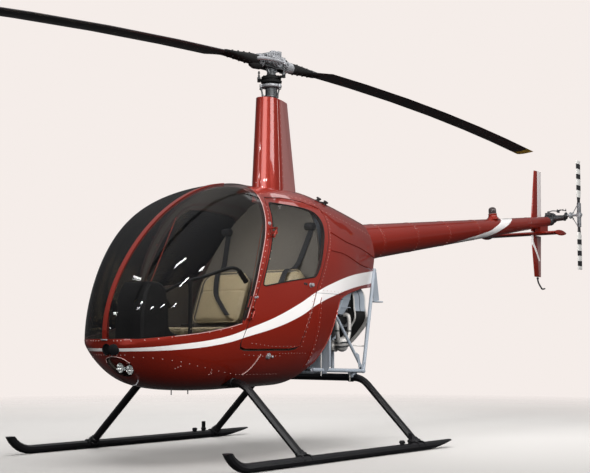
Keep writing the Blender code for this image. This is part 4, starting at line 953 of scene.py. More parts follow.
def linings(finish):
    """Dark trim a little inside the cabin's skins, seen through the glass and the door."""
    thick, lift = 0.0016, -0.0236
    door = prism(door_outline(), margin=DOOR_GAP + 0.004)
    screen = prism(SCREEN_SILL + SCREEN_REAR, margin=0.007)
    foot, top = 0.535, 1.70
    region = [(-1.8, foot), (bulkhead_x(foot) - 0.004, foot), (bulkhead_x(top) - 0.004, top),
              (0.08, 2.0), (-1.8, 2.0)]
    shell = keep(skin("lining", thick, lift), prism(region))
    cut(shell, door, screen, lamp_opening(), vent_opening())
    panel("cabin_lining.trim", shell, finish, "airframe", "black_plastic")
    inner = offset(door_outline(DOOR_SILL_Z + DOOR_SILL_LIFT), -DOOR_GAP - 0.010)
    window = window_outline()
    for side, word in ((-1, "left"), (1, "right")):
        low, high = (-1.0, -0.1) if side < 0 else (0.1, 1.0)
        trim = keep(skin("door lining", thick, lift), prism(inner, low, high))
        cut(trim, prism(window, low, high, 0.006))
        panel("door_lining_%s.trim" % word, trim, finish, "door_" + word, "black_plastic")
        flange = keep(skin("door flange", 0.002, -0.016),
                      prism(offset(door_outline(), 0.012), low, high))
        cut(flange, prism(offset(door_outline(), -0.004), low, high))
        panel("door_frame_%s.flange" % word, flange, finish, "airframe", "black_plastic")


def lamp_opening():
    """The almond-shaped recess of the landing lamps."""
    outline = flowing([(-0.135, 0.590), (-0.105, 0.628), (-0.040, 0.640), (0.015, 0.624),
                       (0.030, 0.590), (0.005, 0.540), (-0.045, 0.520), (-0.100, 0.540)], 5,
                      closed=True)
    bm = bmesh.new()
    slab(bm, [tuple(p) for p in outline], -1.70, -1.25, 'X')
    bmesh.ops.triangulate(bm, faces=bm.faces)
    return tool(bm)


def window_outline():
    """The door window's outline in side view, as a smooth closed line."""
    return [tuple(p) for p in flowing(WINDOW, 4, closed=True)]


def vent_opening():
    """The round fresh air hole in the nose."""
    bm = bmesh.new()
    rod(bm, (-1.62, -0.014, 0.685), (-1.45, -0.014, 0.685), 0.028, 28)
    bmesh.ops.triangulate(bm, faces=bm.faces)
    return tool(bm)


def doors(paints, glass):
    """Both doors, with their windows."""
    inner = offset(door_outline(DOOR_SILL_Z + DOOR_SILL_LIFT), -DOOR_GAP)
    window = window_outline()
    for side, word in ((-1, "left"), (1, "right")):
        low, high = (-1.0, -0.1) if side < 0 else (0.1, 1.0)
        door = keep(skin("door", SKIN), prism(inner, low, high))
        cut(door, prism(window, low, high))
        panel("door_%s.shell" % word, door, paints["hull"], "door_" + word, "red_paint",
              ["door_" + word])
        pane = keep(skin("pane", GLASS), prism(window, low, high, -0.0008))
        panel("door_window_%s.pane" % word, pane, glass, "door_" + word, "tinted_glass",
              ["door_window_" + word])


# ---------------------------------------------------------------- fuselage details

def on_nose(y, z, lift=0.0):
    """A point of the fuselage in front view, and its outward direction."""
    low, high = NOSE_X + 0.0016, -0.6
    for _ in range(40):
        middle = (low + high) / 2
        inside = hull_gauge(np.array([[middle, y, z]]))[0] < 1.0
        low, high = (low, middle) if inside else (middle, high)
    point = np.array([[high, y, z]])
    normal = Vector(hull_normals(point)[0])
    return Vector(point[0]) + normal * lift, normal


def hull_line(places, side, lift, steps=6):
    """Points over the fuselage along a smooth line given in side view."""
    line = flowing([(x, 0, z) for x, z in places], steps)
    return [on_hull(p[0], p[2], side, lift)[0] for p in line]


def spread(points, gap):
    """Points at even distances along a line of points."""
    points = [Vector(p) for p in points]
    runs = [0.0]
    for a, b in zip(points, points[1:]):
        runs.append(runs[-1] + (b - a).length)
    count = max(1, round(runs[-1] / gap))
    picked = []
    for i in range(count + 1):
        at = runs[-1] * i / count
        k = min(len(points) - 2, max(0, int(np.searchsorted(runs, at, side="right")) - 1))
        share = (at - runs[k]) / max(1e-9, runs[k + 1] - runs[k])
        picked.append(points[k].lerp(points[k + 1], share))
    return picked


def rivet_row(bm, places, side, gap, radius=0.0034, height=0.0016):
    """Rivet heads at even steps along a side-view line over the fuselage."""
    line = [on_hull(x, z, side)[0] for x, z in places]
    spots = []
    for point in spread(line, gap):
        spots.append(on_hull(point.x, point.z, side, 0.0))
    heads(bm, spots, radius, height, 8)


def rivets(finish):
    """All rivet rows of the skin."""
    tub, roof, cowl = bmesh.new(), bmesh.new(), bmesh.new()
    doors_of = {-1: bmesh.new(), 1: bmesh.new()}
    rail = [(-1.521, 0.734), (-1.473, 0.740), (-1.411, 0.748), (-1.335, 0.759), (-1.255, 0.773),
            (-1.168, 0.779), (-1.077, 0.794), (-0.976, 0.810)]
    belly = [(-1.480, 0.638), (-1.452, 0.637), (-1.411, 0.633), (-1.376, 0.629),
             (-1.336, 0.623), (-1.286, 0.614), (-1.238, 0.605), (-1.177, 0.588),
             (-1.119, 0.578), (-1.059, 0.561), (-0.95, 0.545), (-0.82, 0.526)]
    for side in (-1, 1):
        rivet_row(tub, rail, side, 0.078, 0.0042, 0.002)
        rivet_row(tub, belly, side, 0.058, 0.0042, 0.002)
        rivet_row(tub, [(-0.82, 0.526), (-0.40, 0.520)], side, 0.036)
        rivet_row(tub, [(-0.51, 0.655), (-0.23, 0.655)], side, 0.030)
        rivet_row(tub, [(-0.50, 0.640), (-0.70, 0.640), (-0.84, 0.650)], side, 0.045)
        rivet_row(tub, [(-0.235, 0.980), (-0.290, 0.800), (-0.300, 0.700)], side, 0.034)
        rivet_row(tub, [(-0.150, 0.980), (-0.158, 0.860), (-0.150, 0.680), (-0.140, 0.580)],
                  side, 0.032)
        for x, z in ((-1.262, 0.577), (-1.272, 0.570), (-1.252, 0.584), (-1.041, 0.545),
                     (-1.032, 0.537), (-1.043, 0.530)):
            heads(tub, [on_hull(x, z, side)], 0.0042, 0.002, 8)
        rivet_row(roof, [(-0.545, 1.598), (-0.582, 1.530), (-0.600, 1.490)], side, 0.036, 0.0045,
                  0.002)
        rivet_row(roof, [(-0.640, 1.410), (-0.690, 1.300), (-0.727, 1.205), (-0.757, 1.110),
                         (-0.795, 0.990), (-0.824, 0.905)], side, 0.041, 0.0045, 0.002)
        rivet_row(roof, [(-0.480, 1.700), (-0.240, 1.722), (-0.020, 1.714), (0.120, 1.680)],
                  side, 0.045)
        rivet_row(cowl, [(0.175, 1.600), (0.140, 1.510), (0.080, 1.410), (-0.010, 1.290),
                         (-0.090, 1.185), (-0.160, 1.090)], side, 0.030)
        rivet_row(cowl, [(0.180, 1.640), (0.45, 1.600), (0.75, 1.560), (0.97, 1.530)], side,
                  0.050)
        rivet_row(cowl, [(-0.12, 1.070), (0.12, 1.065), (0.30, 1.090), (0.55, 1.130),
                         (0.84, 1.160)], side, 0.055)
        rivet_row(doors_of[side], [(-0.655, 1.250), (-0.590, 1.420), (-0.530, 1.560)], side,
                  0.055)
        rivet_row(doors_of[side], [(-0.800, 0.720), (-0.600, 0.700), (-0.380, 0.700)], side,
                  0.040)
        rivet_row(doors_of[side], [(-0.320, 0.760), (-0.280, 0.900), (-0.235, 1.030)], side,
                  0.040)
    for y in np.linspace(-0.13, 0.13, 11):
        if abs(y + 0.014) > 0.045:
            heads(tub, [on_nose(y, 0.735)], 0.0042, 0.002, 8)
        heads(tub, [on_nose(y, 0.650)], 0.0042, 0.002, 8)
    piece("rivets_tub.heads", tub, finish, "airframe")
    piece("rivets_roof.heads", roof, finish, "airframe")
    piece("rivets_cowls.heads", cowl, finish, "airframe")
    for side, word in ((-1, "left"), (1, "right")):
        piece("rivets_door_%s.heads" % word, doors_of[side], finish, "door_" + word)


def beads(red, pale, black):
    """Raised seams, panel edges and seals that catch the light along the skin; the pale ones carry
    painted highlights.
    """
    bm = bmesh.new()
    for side in (-1, 1):
        edges = [
            ([(0.123, 1.482), (0.34, 1.435), (0.631, 1.407), (0.906, 1.368), (0.955, 1.362)],
             0.0060),
            ([(0.053, 1.351), (0.276, 1.338), (0.566, 1.286), (0.853, 1.267), (0.900, 1.262)],
             0.0060),
            ([(-0.150, 1.020), (-0.170, 0.966), (-0.181, 0.869), (-0.168, 0.668),
              (-0.150, 0.560)], 0.0028),
        ]
        for line, radius in edges:
            sweep(bm, hull_line(line, side, 0.0), radius, 8, 1)
        bay = [(0.548, 1.108), (0.316, 1.070), (0.216, 1.045), (0.133, 1.015), (0.105, 0.944),
               (0.075, 0.876), (0.047, 0.794), (0.013, 0.707), (-0.018, 0.650),
               (-0.053, 0.580)]
        sweep(bm, hull_line(bay, side, -0.001, 4), 0.0035, 8, 1)
    piece("skin_seams.beads", bm, red, "airframe")

    # Windscreen pillar and sill edges, the seam below and the arc over the lamp recess are pale as
    # painted highlights
    bm = bmesh.new()
    for side in (-1, 1):
        pillar = [(x + 0.0035, z) for x, z in SCREEN_REAR[:9]]
        sweep(bm, hull_line(pillar, side, 0.0008, 4), 0.0022, 8, 1)
        sill = [(x, z - 0.0025) for x, z in SCREEN_SILL[2:]]
        sweep(bm, hull_line(sill, side, 0.0008, 4), 0.0018, 8, 1)
        sweep(bm, hull_line([(-0.696, 0.652), (-0.733, 0.560), (-0.763, 0.524)], side, 0.002),
              0.0032, 8, 1)
    arc = [on_nose(y, z, 0.001)[0] for y, z in ((0.026, 0.604), (0.016, 0.625), (-0.010, 0.637),
                                                (-0.040, 0.642), (-0.075, 0.638),
                                                (-0.107, 0.629), (-0.132, 0.603))]
    sweep(bm, arc, 0.0026, 8, 4)
    piece("pale_edges.beads", bm, pale, "airframe")

    for side, word in ((-1, "left"), (1, "right")):
        bm = bmesh.new()
        outline = offset(door_outline(DOOR_SILL_Z + DOOR_SILL_LIFT), -DOOR_GAP - 0.003)
        line = [on_hull(p[0], p[1], side, -0.0004)[0] for p in outline]
        sweep(bm, line, 0.0022, 6, 1, closed=True)
        piece("door_edge_%s.bead" % word, bm, red, "door_" + word)
        bm = bmesh.new()
        line = [on_hull(x, z, side, -0.001)[0] for x, z in window_outline()]
        sweep(bm, line, 0.0045, 8, 1, closed=True)
        piece("door_window_seal_%s.rubber" % word, bm, black, "door_" + word)


def hinge_point(z, side):
    """A point of a door's hinge axis at height z."""
    return Vector((DOOR_FRONT_TOP[0] - DOOR_FRONT_SLOPE * (DOOR_FRONT_TOP[1] - z),
                   side * HINGE_Y, z))


def hinges(red, steel):
    """Knuckles and straps on the doors, pins and brackets on the posts."""
    post = bmesh.new()
    for side, word in ((-1, "left"), (1, "right")):
        bm = bmesh.new()
        for z in HINGE_ZS:
            centre = hinge_point(z, side)
            upward = (hinge_point(z + 0.02, side) - centre).normalized()
            lathe(bm, centre - upward * 0.0195, upward,
                  [(0, 0.0), (0, 0.0060), (0.001, 0.0070), (0.038, 0.0070), (0.039, 0.0060),
                   (0.039, 0.0)], 16)
            block(bm, (centre.x - 0.001, min(centre.y - side * 0.003,
                                             centre.y + side * 0.005), centre.z - 0.008),
                  (centre.x + 0.016, max(centre.y - side * 0.003, centre.y + side * 0.005),
                   centre.z + 0.008), 0.001)
            block(bm, (centre.x + 0.009, min(centre.y - side * 0.06,
                                             centre.y + side * 0.006), centre.z - 0.010),
                  (centre.x + 0.015, max(centre.y - side * 0.06, centre.y + side * 0.006),
                   centre.z + 0.010), 0.001)
            for way in (-1, 1):
                end = centre + upward * way * 0.0215
                lathe(post, end, upward * way, [(0, 0.0), (0, 0.0060), (0.001, 0.0068),
                                                (0.013, 0.0068), (0.015, 0.004), (0.015, 0.0)],
                      16)
                middle = centre + upward * way * 0.031
                ys = sorted((middle.y - side * 0.004, middle.y + side * 0.006))
                block(post, (middle.x - 0.022, ys[0], middle.z - 0.005),
                      (middle.x, ys[1], middle.z + 0.005), 0.001)
                ys = sorted((middle.y - side * 0.06, middle.y + side * 0.006))
                block(post, (middle.x - 0.022, ys[0], middle.z - 0.005),
                      (middle.x - 0.010, ys[1], middle.z + 0.005), 0.001)
        piece("door_hinges_%s.knuckles" % word, bm, red, "door_" + word)
        for low, high in ((0.835, 0.862), (0.942, 1.010)):
            for shift in (-0.030, -0.048):
                line = [on_hull(hinge_point(z, side).x + shift, z, side, 0.0012)[0]
                        for z in (low, (low + high) / 2, high)]
                sweep(post, line, 0.0026, 8, 1)
    piece("door_hinges.pins", post, red, "airframe")

    bm = bmesh.new()
    for side in (-1, 1):
        for x, z, radius in ((-0.600, 1.482, 0.010), (-0.616, 0.640, 0.017),
                             (-0.571, 0.635, 0.007), (-0.792, 1.003, 0.006),
                             (-0.775, 1.006, 0.006)):
            spot, out = on_hull(x, z, side)
            lathe(bm, spot - out * 0.002, out,
                  [(0, radius * 1.25), (0.003, radius * 1.25), (0.005, radius),
                   (0.007 + radius * 0.3, radius * 0.92), (0.008 + radius * 0.45, radius * 0.5),
                   (0.008 + radius * 0.45, 0.0)], 20)
    piece("skin_caps.turned", bm, steel, "airframe")


def latches(steel, black):
    """Door latch knobs and recessed plates, each carried by its door."""
    for side, word in ((-1, "left"), (1, "right")):
        bm = bmesh.new()
        spot, out = on_hull(-0.262, 1.098, side)
        lathe(bm, spot - out * 0.002, out,
              [(0, 0.016), (0.003, 0.016), (0.004, 0.009), (0.012, 0.009), (0.016, 0.0125),
               (0.024, 0.0125), (0.028, 0.008), (0.028, 0.0)], 22)
        piece("door_latch_%s.knob" % word, bm, steel, "door_" + word)
        bm = bmesh.new()
        for x, z in ((-0.325, 1.106), (-0.306, 1.103)):
            spot, out = on_hull(x, z, side)
            lathe(bm, spot - out * 0.001, out, [(0, 0.008), (0.004, 0.008), (0.005, 0.005),
                                                (0.005, 0.0)], 14)
        piece("door_latch_%s.plate" % word, bm, black, "door_" + word)


def nose_fittings(chrome, glass, dark, pale):
    """Fresh air ring and its flap, landing lamps in their recess, drains, and air probes."""
    bm = bmesh.new()
    centre, out = on_nose(-0.014, 0.685)
    out = Vector((-1, -0.05, -0.02)).normalized()
    lathe(bm, centre - out * 0.030, out,
          [(0, 0.0250), (0, 0.0275), (0.026, 0.0275), (0.029, 0.034), (0.034, 0.0345),
           (0.038, 0.032), (0.037, 0.027), (0.030, 0.0250)], 32)
    rod(bm, centre - out * 0.028, centre - out * 0.022, 0.0260, 28)
    flap = centre + Vector((-0.002, -0.062, -0.002))
    turned = Vector((-1, -0.75, -0.1)).normalized()
    lathe(bm, flap, turned, [(0, 0.0), (0, 0.029), (0.004, 0.034), (0.010, 0.034),
                             (0.014, 0.028), (0.016, 0.0)], 28)
    rod(bm, flap, centre + Vector((0.0, -0.034, 0.0)), 0.005, 8)
    # The vent's ring and flap are near black with weak reflections
    vent_near_black = dull(plain("vent_black", (0.006, 0.006, 0.007), 0.55, 0.0, 0.2, 300.0, 0.1), 0.10)
    piece("nose_vent.ring", bm, vent_near_black, "airframe")

    bm = bmesh.new()
    for y in (-0.045, 0.005):
        spot, away = on_nose(y, 0.652, 0.001)
        lathe(bm, spot, away, [(0, 0.005), (0.004, 0.005), (0.006, 0.003), (0.006, 0.0)], 10)
    clip = [on_nose(y, 0.742, 0.003) for y in (-0.024, 0.024)]
    block(bm, (clip[0][0].x - 0.006, -0.026, 0.737), (clip[0][0].x + 0.004, 0.026, 0.745), 0.002)
    piece("nose_clips.steel", bm, pale, "airframe")

    bowls, lenses, pocket = bmesh.new(), bmesh.new(), bmesh.new()
    for x, y, z in LAMPS:
        start = Vector((x, y, z))
        look = Vector((-1.0, 0.0, -0.06)).normalized()
        back = start - look * 0.030
        lathe(bowls, back, look,
              [(0, 0.0), (0, 0.012), (0.008, 0.019), (0.020, 0.0270), (0.030, 0.0295),
               (0.034, 0.0305), (0.037, 0.0295), (0.033, 0.0275), (0.020, 0.022),
               (0.010, 0.012), (0.006, 0.0)], 30)
        rod(bowls, back + look * 0.006, back + look * 0.016, 0.0045, 12)
        lathe(lenses, back + look * 0.0315, look, [(0, 0.0), (0, 0.0272), (0.003, 0.0266),
                                                   (0.006, 0.017), (0.0068, 0.0)], 30)
        rod(bowls, back, Vector((-1.384, y, z)), 0.006, 10)
    piece("landing_lamps.bowls", bowls, chrome, "airframe", ["landing_lamps"])
    piece("landing_lamps.lenses", lenses, glass, "airframe")
    block(pocket, (-1.388, -0.126, FLOOR_TOP + 0.004), (-1.380, -0.028, 0.612), 0.003)
    for y in (-0.116, -0.038):
        rod(pocket, (-1.386, y, 0.602), (-1.400, y, 0.602), 0.004, 8)
    piece("landing_lamps.stand", pocket, dark, "airframe")

    bm = bmesh.new()
    sweep(bm, [(-1.350, -0.080, 0.508), (-1.353, -0.080, 0.488), (-1.372, -0.080, 0.470),
               (-1.395, -0.080, 0.468)], [0.0045, 0.0038, 0.0034, 0.0026], 10, 4)
    for x in (-1.070, -0.921):
        rod(bm, (x, -0.085, 0.470), (x, -0.085, 0.400), 0.0035, 10)
    piece("air_probe.tubes", bm, pale, "airframe")


def top_fittings(black):
    """Small vents and the fuel caps on the cowls, seen against the sky in the photograph."""
    bm = bmesh.new()
    for x, y in ((0.291, -0.182), (0.372, -0.186), (0.291, 0.182), (0.372, 0.186)):
        spot, out = on_hull(x, 1.73 if x < 0.3 else 1.712, 1 if y > 0 else -1)
        lathe(bm, spot - out * 0.002, out,
              [(0, 0.022), (0.004, 0.022), (0.006, 0.013), (0.016, 0.012), (0.018, 0.019),
               (0.026, 0.019), (0.029, 0.014), (0.029, 0.0)], 18)
    for side in (-1, 1):
        spot, out = on_hull(0.335, 1.722, side)
        block(bm, (spot.x - 0.05, spot.y - 0.006, spot.z - 0.004),
              (spot.x + 0.05, spot.y + 0.006, spot.z + 0.008), 0.003)
    piece("fuel_caps.turned", bm, black, "airframe")


# ---------------------------------------------------------------- rotor head

def blade_z(s):
    """Height of the blades' axis at s metres out, aft positive: tilted, and drooping."""
    return HUB_Z + TEETER_SLOPE * s - BLADE_DROOP * s * s


def blade_point(s, across=0.0, lift=0.0):
    """A point on the rotor: s along the blades, across to port, and lift above the axis."""
    c, d = math.cos(BLADE_AZIMUTH), math.sin(BLADE_AZIMUTH)
    return Vector((s * c + across * d, s * d - across * c, blade_z(s) + lift))


def hub_turn():
    """The hub's attitude: turned to the blades and teetered with them."""
    return (Matrix.Translation((0, 0, HUB_Z)) @ Matrix.Rotation(BLADE_AZIMUTH, 4, 'Z')
            @ Matrix.Rotation(-TEETER_SLOPE, 4, 'Y'))


def bolt(bm, start, direction, length, radius):
    """A bolt with a six-sided head at its start, a washer, and a nut at its end."""
    head = 1.9
    start = Vector(start)
    direction = Vector(direction).normalized()
    lathe(bm, start, direction, [(0, radius * head * 0.9), (radius * 0.2, radius * head),
                                 (radius * 1.2, radius * head)], 6)
    lathe(bm, start + direction * radius * 1.2, direction,
          [(0, radius * head * 1.15), (radius * 0.3, radius * head * 1.15)], 14)
    rod(bm, start, start + direction * length, radius, 10)
    end = start + direction * length
    lathe(bm, end - direction * radius * 1.5, direction,
          [(0, radius * head), (radius, radius * head), (radius * 1.2, radius * head * 0.85)], 6)


def rotor_head(steel, black, dark_steel):
    """Compact hub: two cheek plates, a ribbed drum across, a bolted crown."""
    turn = hub_turn()
    bm, dark = bmesh.new(), bmesh.new()
    half = [(0.0, 0.046), (0.05, 0.040), (0.085, 0.040), (0.105, 0.043), (0.128, 0.034),
            (0.142, 0.012)]
    outline = half + [(x, -z) for x, z in reversed(half)]
    outline = outline + [(-x, z) for x, z in reversed(outline)]
    outline = list(dict.fromkeys([(round(x, 4), z) for x, z in outline]))
    outline = [tuple(p) for p in flowing(outline, 4, closed=True)]
    for side in (-1, 1):
        low, high = sorted((side * 0.034, side * 0.046))
        slab(dark, outline, low, high, 'Y', 0.002)
        for x in (-0.105, 0.105):
            bolt(bm, (x, side * 0.066, 0), (0, -side, 0), 0.058, 0.0105)
        lathe(bm, (0, side * 0.046, 0.006), (0, side, 0),
              [(0, 0.044), (0.008, 0.044), (0.010, 0.038), (0.018, 0.038), (0.019, 0.041),
               (0.027, 0.041), (0.028, 0.024), (0.034, 0.024), (0.036, 0.012), (0.037, 0.0)], 28)
    block(dark, (-0.090, -0.034, -0.030), (0.090, 0.034, 0.026), 0.004)
    block(bm, (-0.052, -0.058, 0.026), (0.060, 0.058, 0.050), 0.006)
    for k in range(5):
        x = -0.045 + 0.0245 * k
        block(bm, (x - 0.0045, -0.050, 0.048), (x + 0.0045, 0.050, 0.074 + 0.005 * min(k, 3)),
              0.002)
    lathe(bm, (0.020, 0, 0.048), (0, 0, 1), [(0, 0.030), (0.024, 0.030), (0.030, 0.024),
                                             (0.044, 0.023), (0.048, 0.016), (0.050, 0.0)], 8)
    for x, y in ((-0.070, -0.040), (-0.070, 0.040), (-0.095, -0.040), (-0.095, 0.040),
                 (0.080, -0.040), (0.080, 0.040), (0.104, -0.040), (0.104, 0.040)):
        lathe(bm, (x, y, 0.030), (0, 0, 1), [(0, 0.0085), (0.014, 0.0085), (0.016, 0.006),
                                             (0.024, 0.006), (0.025, 0.0)], 6)
    for form, name, finish in ((bm, "rotor_hub.drum", steel), (dark, "rotor_hub.plates",
                                                                dark_steel)):
        bmesh.ops.transform(form, matrix=turn, verts=form.verts)
        piece(name, form, finish, "main_rotor",
              ["rotor_hub"] if form is bm else ())

    for side, word in ((-1, "fore"), (1, "aft")):
        grip(side, word, steel, black)
    mast_top(steel, black, dark_steel)


def grip(side, word, steel, black):
    """The spindle housing of one blade, its boot, its horn, and the blade's black root."""
    lead = -side
    start, end = blade_point(side * 0.118), blade_point(side * 0.262)
    along_blade = end - start
    bm = bmesh.new()
    lathe(bm, start, along_blade, [(0, 0.024), (0.004, 0.050), (0.012, 0.053), (0.018, 0.053),
                                   (0.022, 0.043), (0.030, 0.042), (0.033, 0.047),
                                   (0.044, 0.047), (0.047, 0.040), (0.075, 0.037), (0.120, 0.034),
                                   (0.128, 0.02)], 28)
    for k in range(8):
        angle = 2 * math.pi * k / 8
        u, v = square_to(along_blade)
        place = start + (u * math.cos(angle) + v * math.sin(angle)) * 0.044
        lathe(bm, place + along_blade.normalized() * 0.014, along_blade,
              [(0, 0.0055), (0.011, 0.0055), (0.012, 0.004)], 6)
    path = [blade_point(side * 0.205, lead * 0.030), blade_point(side * 0.190, lead * 0.075),
            blade_point(side * 0.130, lead * 0.108, -0.006),
            blade_point(side * 0.060, lead * 0.116, -0.010),
            blade_point(0.0, lead * 0.116, -0.010)]
    sweep(bm, path, [0.015, 0.014, 0.012, 0.010, 0.010], 10, 6)
    lathe(bm, blade_point(0.0, lead * 0.116, -0.024), (0, 0, 1),
          [(0, 0.008), (0.002, 0.013), (0.024, 0.013), (0.028, 0.008), (0.036, 0.008),
           (0.038, 0.005)], 14)
    hump = blade_point(side * 0.215, 0.0, 0.030)
    block(bm, (hump.x - 0.022, hump.y - 0.014, hump.z - 0.008),
          (hump.x + 0.022, hump.y + 0.014, hump.z + 0.010), 0.006)
    piece("blade_grip_%s.housing" % word, bm, steel, "main_rotor",
          ["blade_grip_" + word])

    bm = bmesh.new()
    lathe(bm, blade_point(side * 0.092), along_blade,
          [(0, 0.022), (0.003, 0.032), (0.007, 0.027), (0.011, 0.036), (0.015, 0.030),
           (0.019, 0.040), (0.023, 0.034), (0.028, 0.044), (0.030, 0.030)], 24)
    if side < 0:
        lathe(bm, blade_point(-0.105, 0.0, -0.026), blade_point(-0.25, 0.0, -0.036)
              - blade_point(-0.105, 0.0, -0.026),
              [(0, 0.010), (0.012, 0.026), (0.040, 0.034), (0.090, 0.034), (0.125, 0.022),
               (0.140, 0.004)], 20)
    piece("blade_boot_%s.rubber" % word, bm, black, "main_rotor")

    rings = []
    begin = 0.168 if side < 0 else 0.225
    for s, wide, tall in ((begin, 0.034, 0.028), (begin + 0.010, 0.046, 0.036),
                          (0.26, 0.048, 0.034), (0.33, 0.050, 0.029),
                          (0.40, 0.054, 0.022), (0.47, 0.058, 0.0160), (0.54, 0.060, 0.0125)):
        ring = []
        for k in range(20):
            angle = 2 * math.pi * k / 20
            c, d = math.cos(angle), math.sin(angle)
            ring.append(blade_point(side * s, wide * math.copysign(abs(c)**0.7, c),
                                    tall * math.copysign(abs(d)**0.8, d)))
        rings.append(ring)
    bm = bmesh.new()
    loft(bm, rings)
    for s in (0.27, 0.33, 0.39, 0.45):
        for way in (-1, 1):
            top = blade_point(side * s, way * 0.022, 0.026 - (s - 0.27) * 0.07)
            lathe(bm, top, (0, 0, 1), [(0, 0.007), (0.009, 0.007), (0.010, 0.005)], 6)
            low = blade_point(side * s, way * 0.022, -0.026 + (s - 0.27) * 0.07)
            lathe(bm, low, (0, 0, -1), [(0, 0.007), (0.009, 0.007), (0.010, 0.005)], 6)
    piece("blade_root_%s.fitting" % word, bm, black, "main_rotor")


def mast_top(steel, black, dark_steel):
    """Shaft, swashplates, pitch links, and the control rods out of the fairing."""
    low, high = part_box("swashplate_rotating")
    fixed_low, fixed_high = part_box("swashplate_fixed")
    tall = high.z - low.z
    bm = bmesh.new()
    lathe(bm, (0, 0, low.z), (0, 0, 1),
          [(0, 0.033), (0, 0.066), (0.004, 0.074), (tall * 0.36, 0.076), (tall * 0.40, 0.060),
           (tall * 0.56, 0.060), (tall * 0.60, 0.070), (tall * 0.94, 0.071), (tall, 0.066),
           (tall, 0.040), (tall + 0.012, 0.038), (tall + 0.012, 0.033)], 36)
    for side in (-1, 1):
        block(bm, (-0.013, min(side * 0.05, side * 0.104), low.z + tall * 0.62),
              (0.013, max(side * 0.05, side * 0.104), low.z + tall * 0.95), 0.003)
        lathe(bm, (0, side * 0.115, low.z + tall * 0.55), (0, 0, 1),
              [(0, 0.012), (tall * 0.45, 0.012)], 14)
    for k in range(10):
        angle = 2 * math.pi * (k + 0.5) / 10
        lathe(bm, (0.062 * math.cos(angle), 0.062 * math.sin(angle), high.z - 0.001), (0, 0, 1),
              [(0, 0.0055), (0.004, 0.0055), (0.005, 0.004)], 6)
    piece("swashplate_rotating.star", bm, black, "main_rotor",
          ["swashplate_rotating"])

    bm = bmesh.new()
    tall = fixed_high.z - fixed_low.z
    lathe(bm, (0, 0, fixed_low.z), (0, 0, 1),
          [(0, 0.0435), (0, 0.058), (0.004, 0.071), (tall * 0.5, 0.075), (tall - 0.003, 0.074),
           (tall, 0.070), (tall, 0.0435)], 36)
    for k in range(3):
        angle = math.radians(30 + 120 * k)
        out = Vector((math.cos(angle), math.sin(angle), 0))
        centre = out * 0.077
        lathe(bm, (centre.x, centre.y, fixed_low.z + 0.002), (0, 0, 1),
              [(0, 0.011), (tall - 0.004, 0.011)], 12)
    piece("swashplate_fixed.ring", bm, steel, "airframe", ["swashplate_fixed"])

    bm = bmesh.new()
    for side in (-1, 1):
        y = side * 0.115
        lathe(bm, (0, y, high.z - 0.004), (0, 0, 1),
              [(0, 0.007), (0.004, 0.0125), (0.016, 0.0125), (0.020, 0.007), (0.026, 0.0065),
               (0.026, 0.0085), (0.030, 0.0085), (0.030, 0.0050), (0.046, 0.0050),
               (0.046, 0.0085), (0.050, 0.0085), (0.052, 0.0065),
               (HUB_Z - 0.036 - high.z, 0.0065), (HUB_Z - 0.034 - high.z, 0.003)], 12)
    piece("pitch_links.rods", bm, dark_steel, "main_rotor",
          ["pitch_link_fore", "pitch_link_aft"])

    bm = bmesh.new()
    top = HUB_Z - 0.024
    lathe(bm, (0, 0, high.z + 0.004), (0, 0, 1),
          [(0, 0.032), (0.010, 0.032), (0.014, 0.027), (top - high.z - 0.030, 0.027),
           (top - high.z - 0.026, 0.034), (top - high.z - 0.010, 0.036),
           (top - high.z - 0.004, 0.030)], 24)
    for side in (-1, 1):
        slab(bm, [(0.020, high.z + 0.020), (0.034, high.z + 0.022), (0.058, HUB_Z - 0.040),
                  (0.040, HUB_Z - 0.034)] if side > 0 else
             [(-0.020, high.z + 0.020), (-0.034, high.z + 0.022), (-0.058, HUB_Z - 0.040),
              (-0.040, HUB_Z - 0.034)], -0.010, 0.010, 'Y', 0.002)
    piece("droop_stops.lugs", bm, steel, "main_rotor")

    bm = bmesh.new()
    rim = fixed_low.z
    for k in range(3):
        angle = math.radians(30 + 120 * k)
        x, y = 0.077 * math.cos(angle), 0.077 * math.sin(angle)
        foot = Vector((x * 0.52 - 0.012, y * 0.55, 2.39))
        head = Vector((x, y, rim))
        sweep(bm, [foot, foot.lerp(head, 0.5), head], 0.006, 10, 3)
        lathe(bm, head - Vector((0, 0, 0.018)), (0, 0, 1),
              [(0, 0.006), (0.003, 0.011), (0.014, 0.011), (0.017, 0.006)], 12)
        lathe(bm, foot.lerp(head, 0.55), head - foot, [(0, 0.0085), (0.008, 0.0085)], 6)
    lathe(bm, (0, 0, 2.40), (0, 0, 1), [(0, 0.052), (0.012, 0.056), (0.018, 0.048),
                                        (0.050, 0.046), (0.055, 0.052), (0.066, 0.052),
                                        (0.070, 0.0435)], 24)
    piece("swashplate_controls.rods", bm, dark_steel, "airframe")


# ---------------------------------------------------------------- engine bay

def raised(bm):
    """Lifts engine pieces to where the photograph shows them."""
    bmesh.ops.translate(bm, vec=(0, 0, ENGINE_LIFT), verts=bm.verts)
    return bm


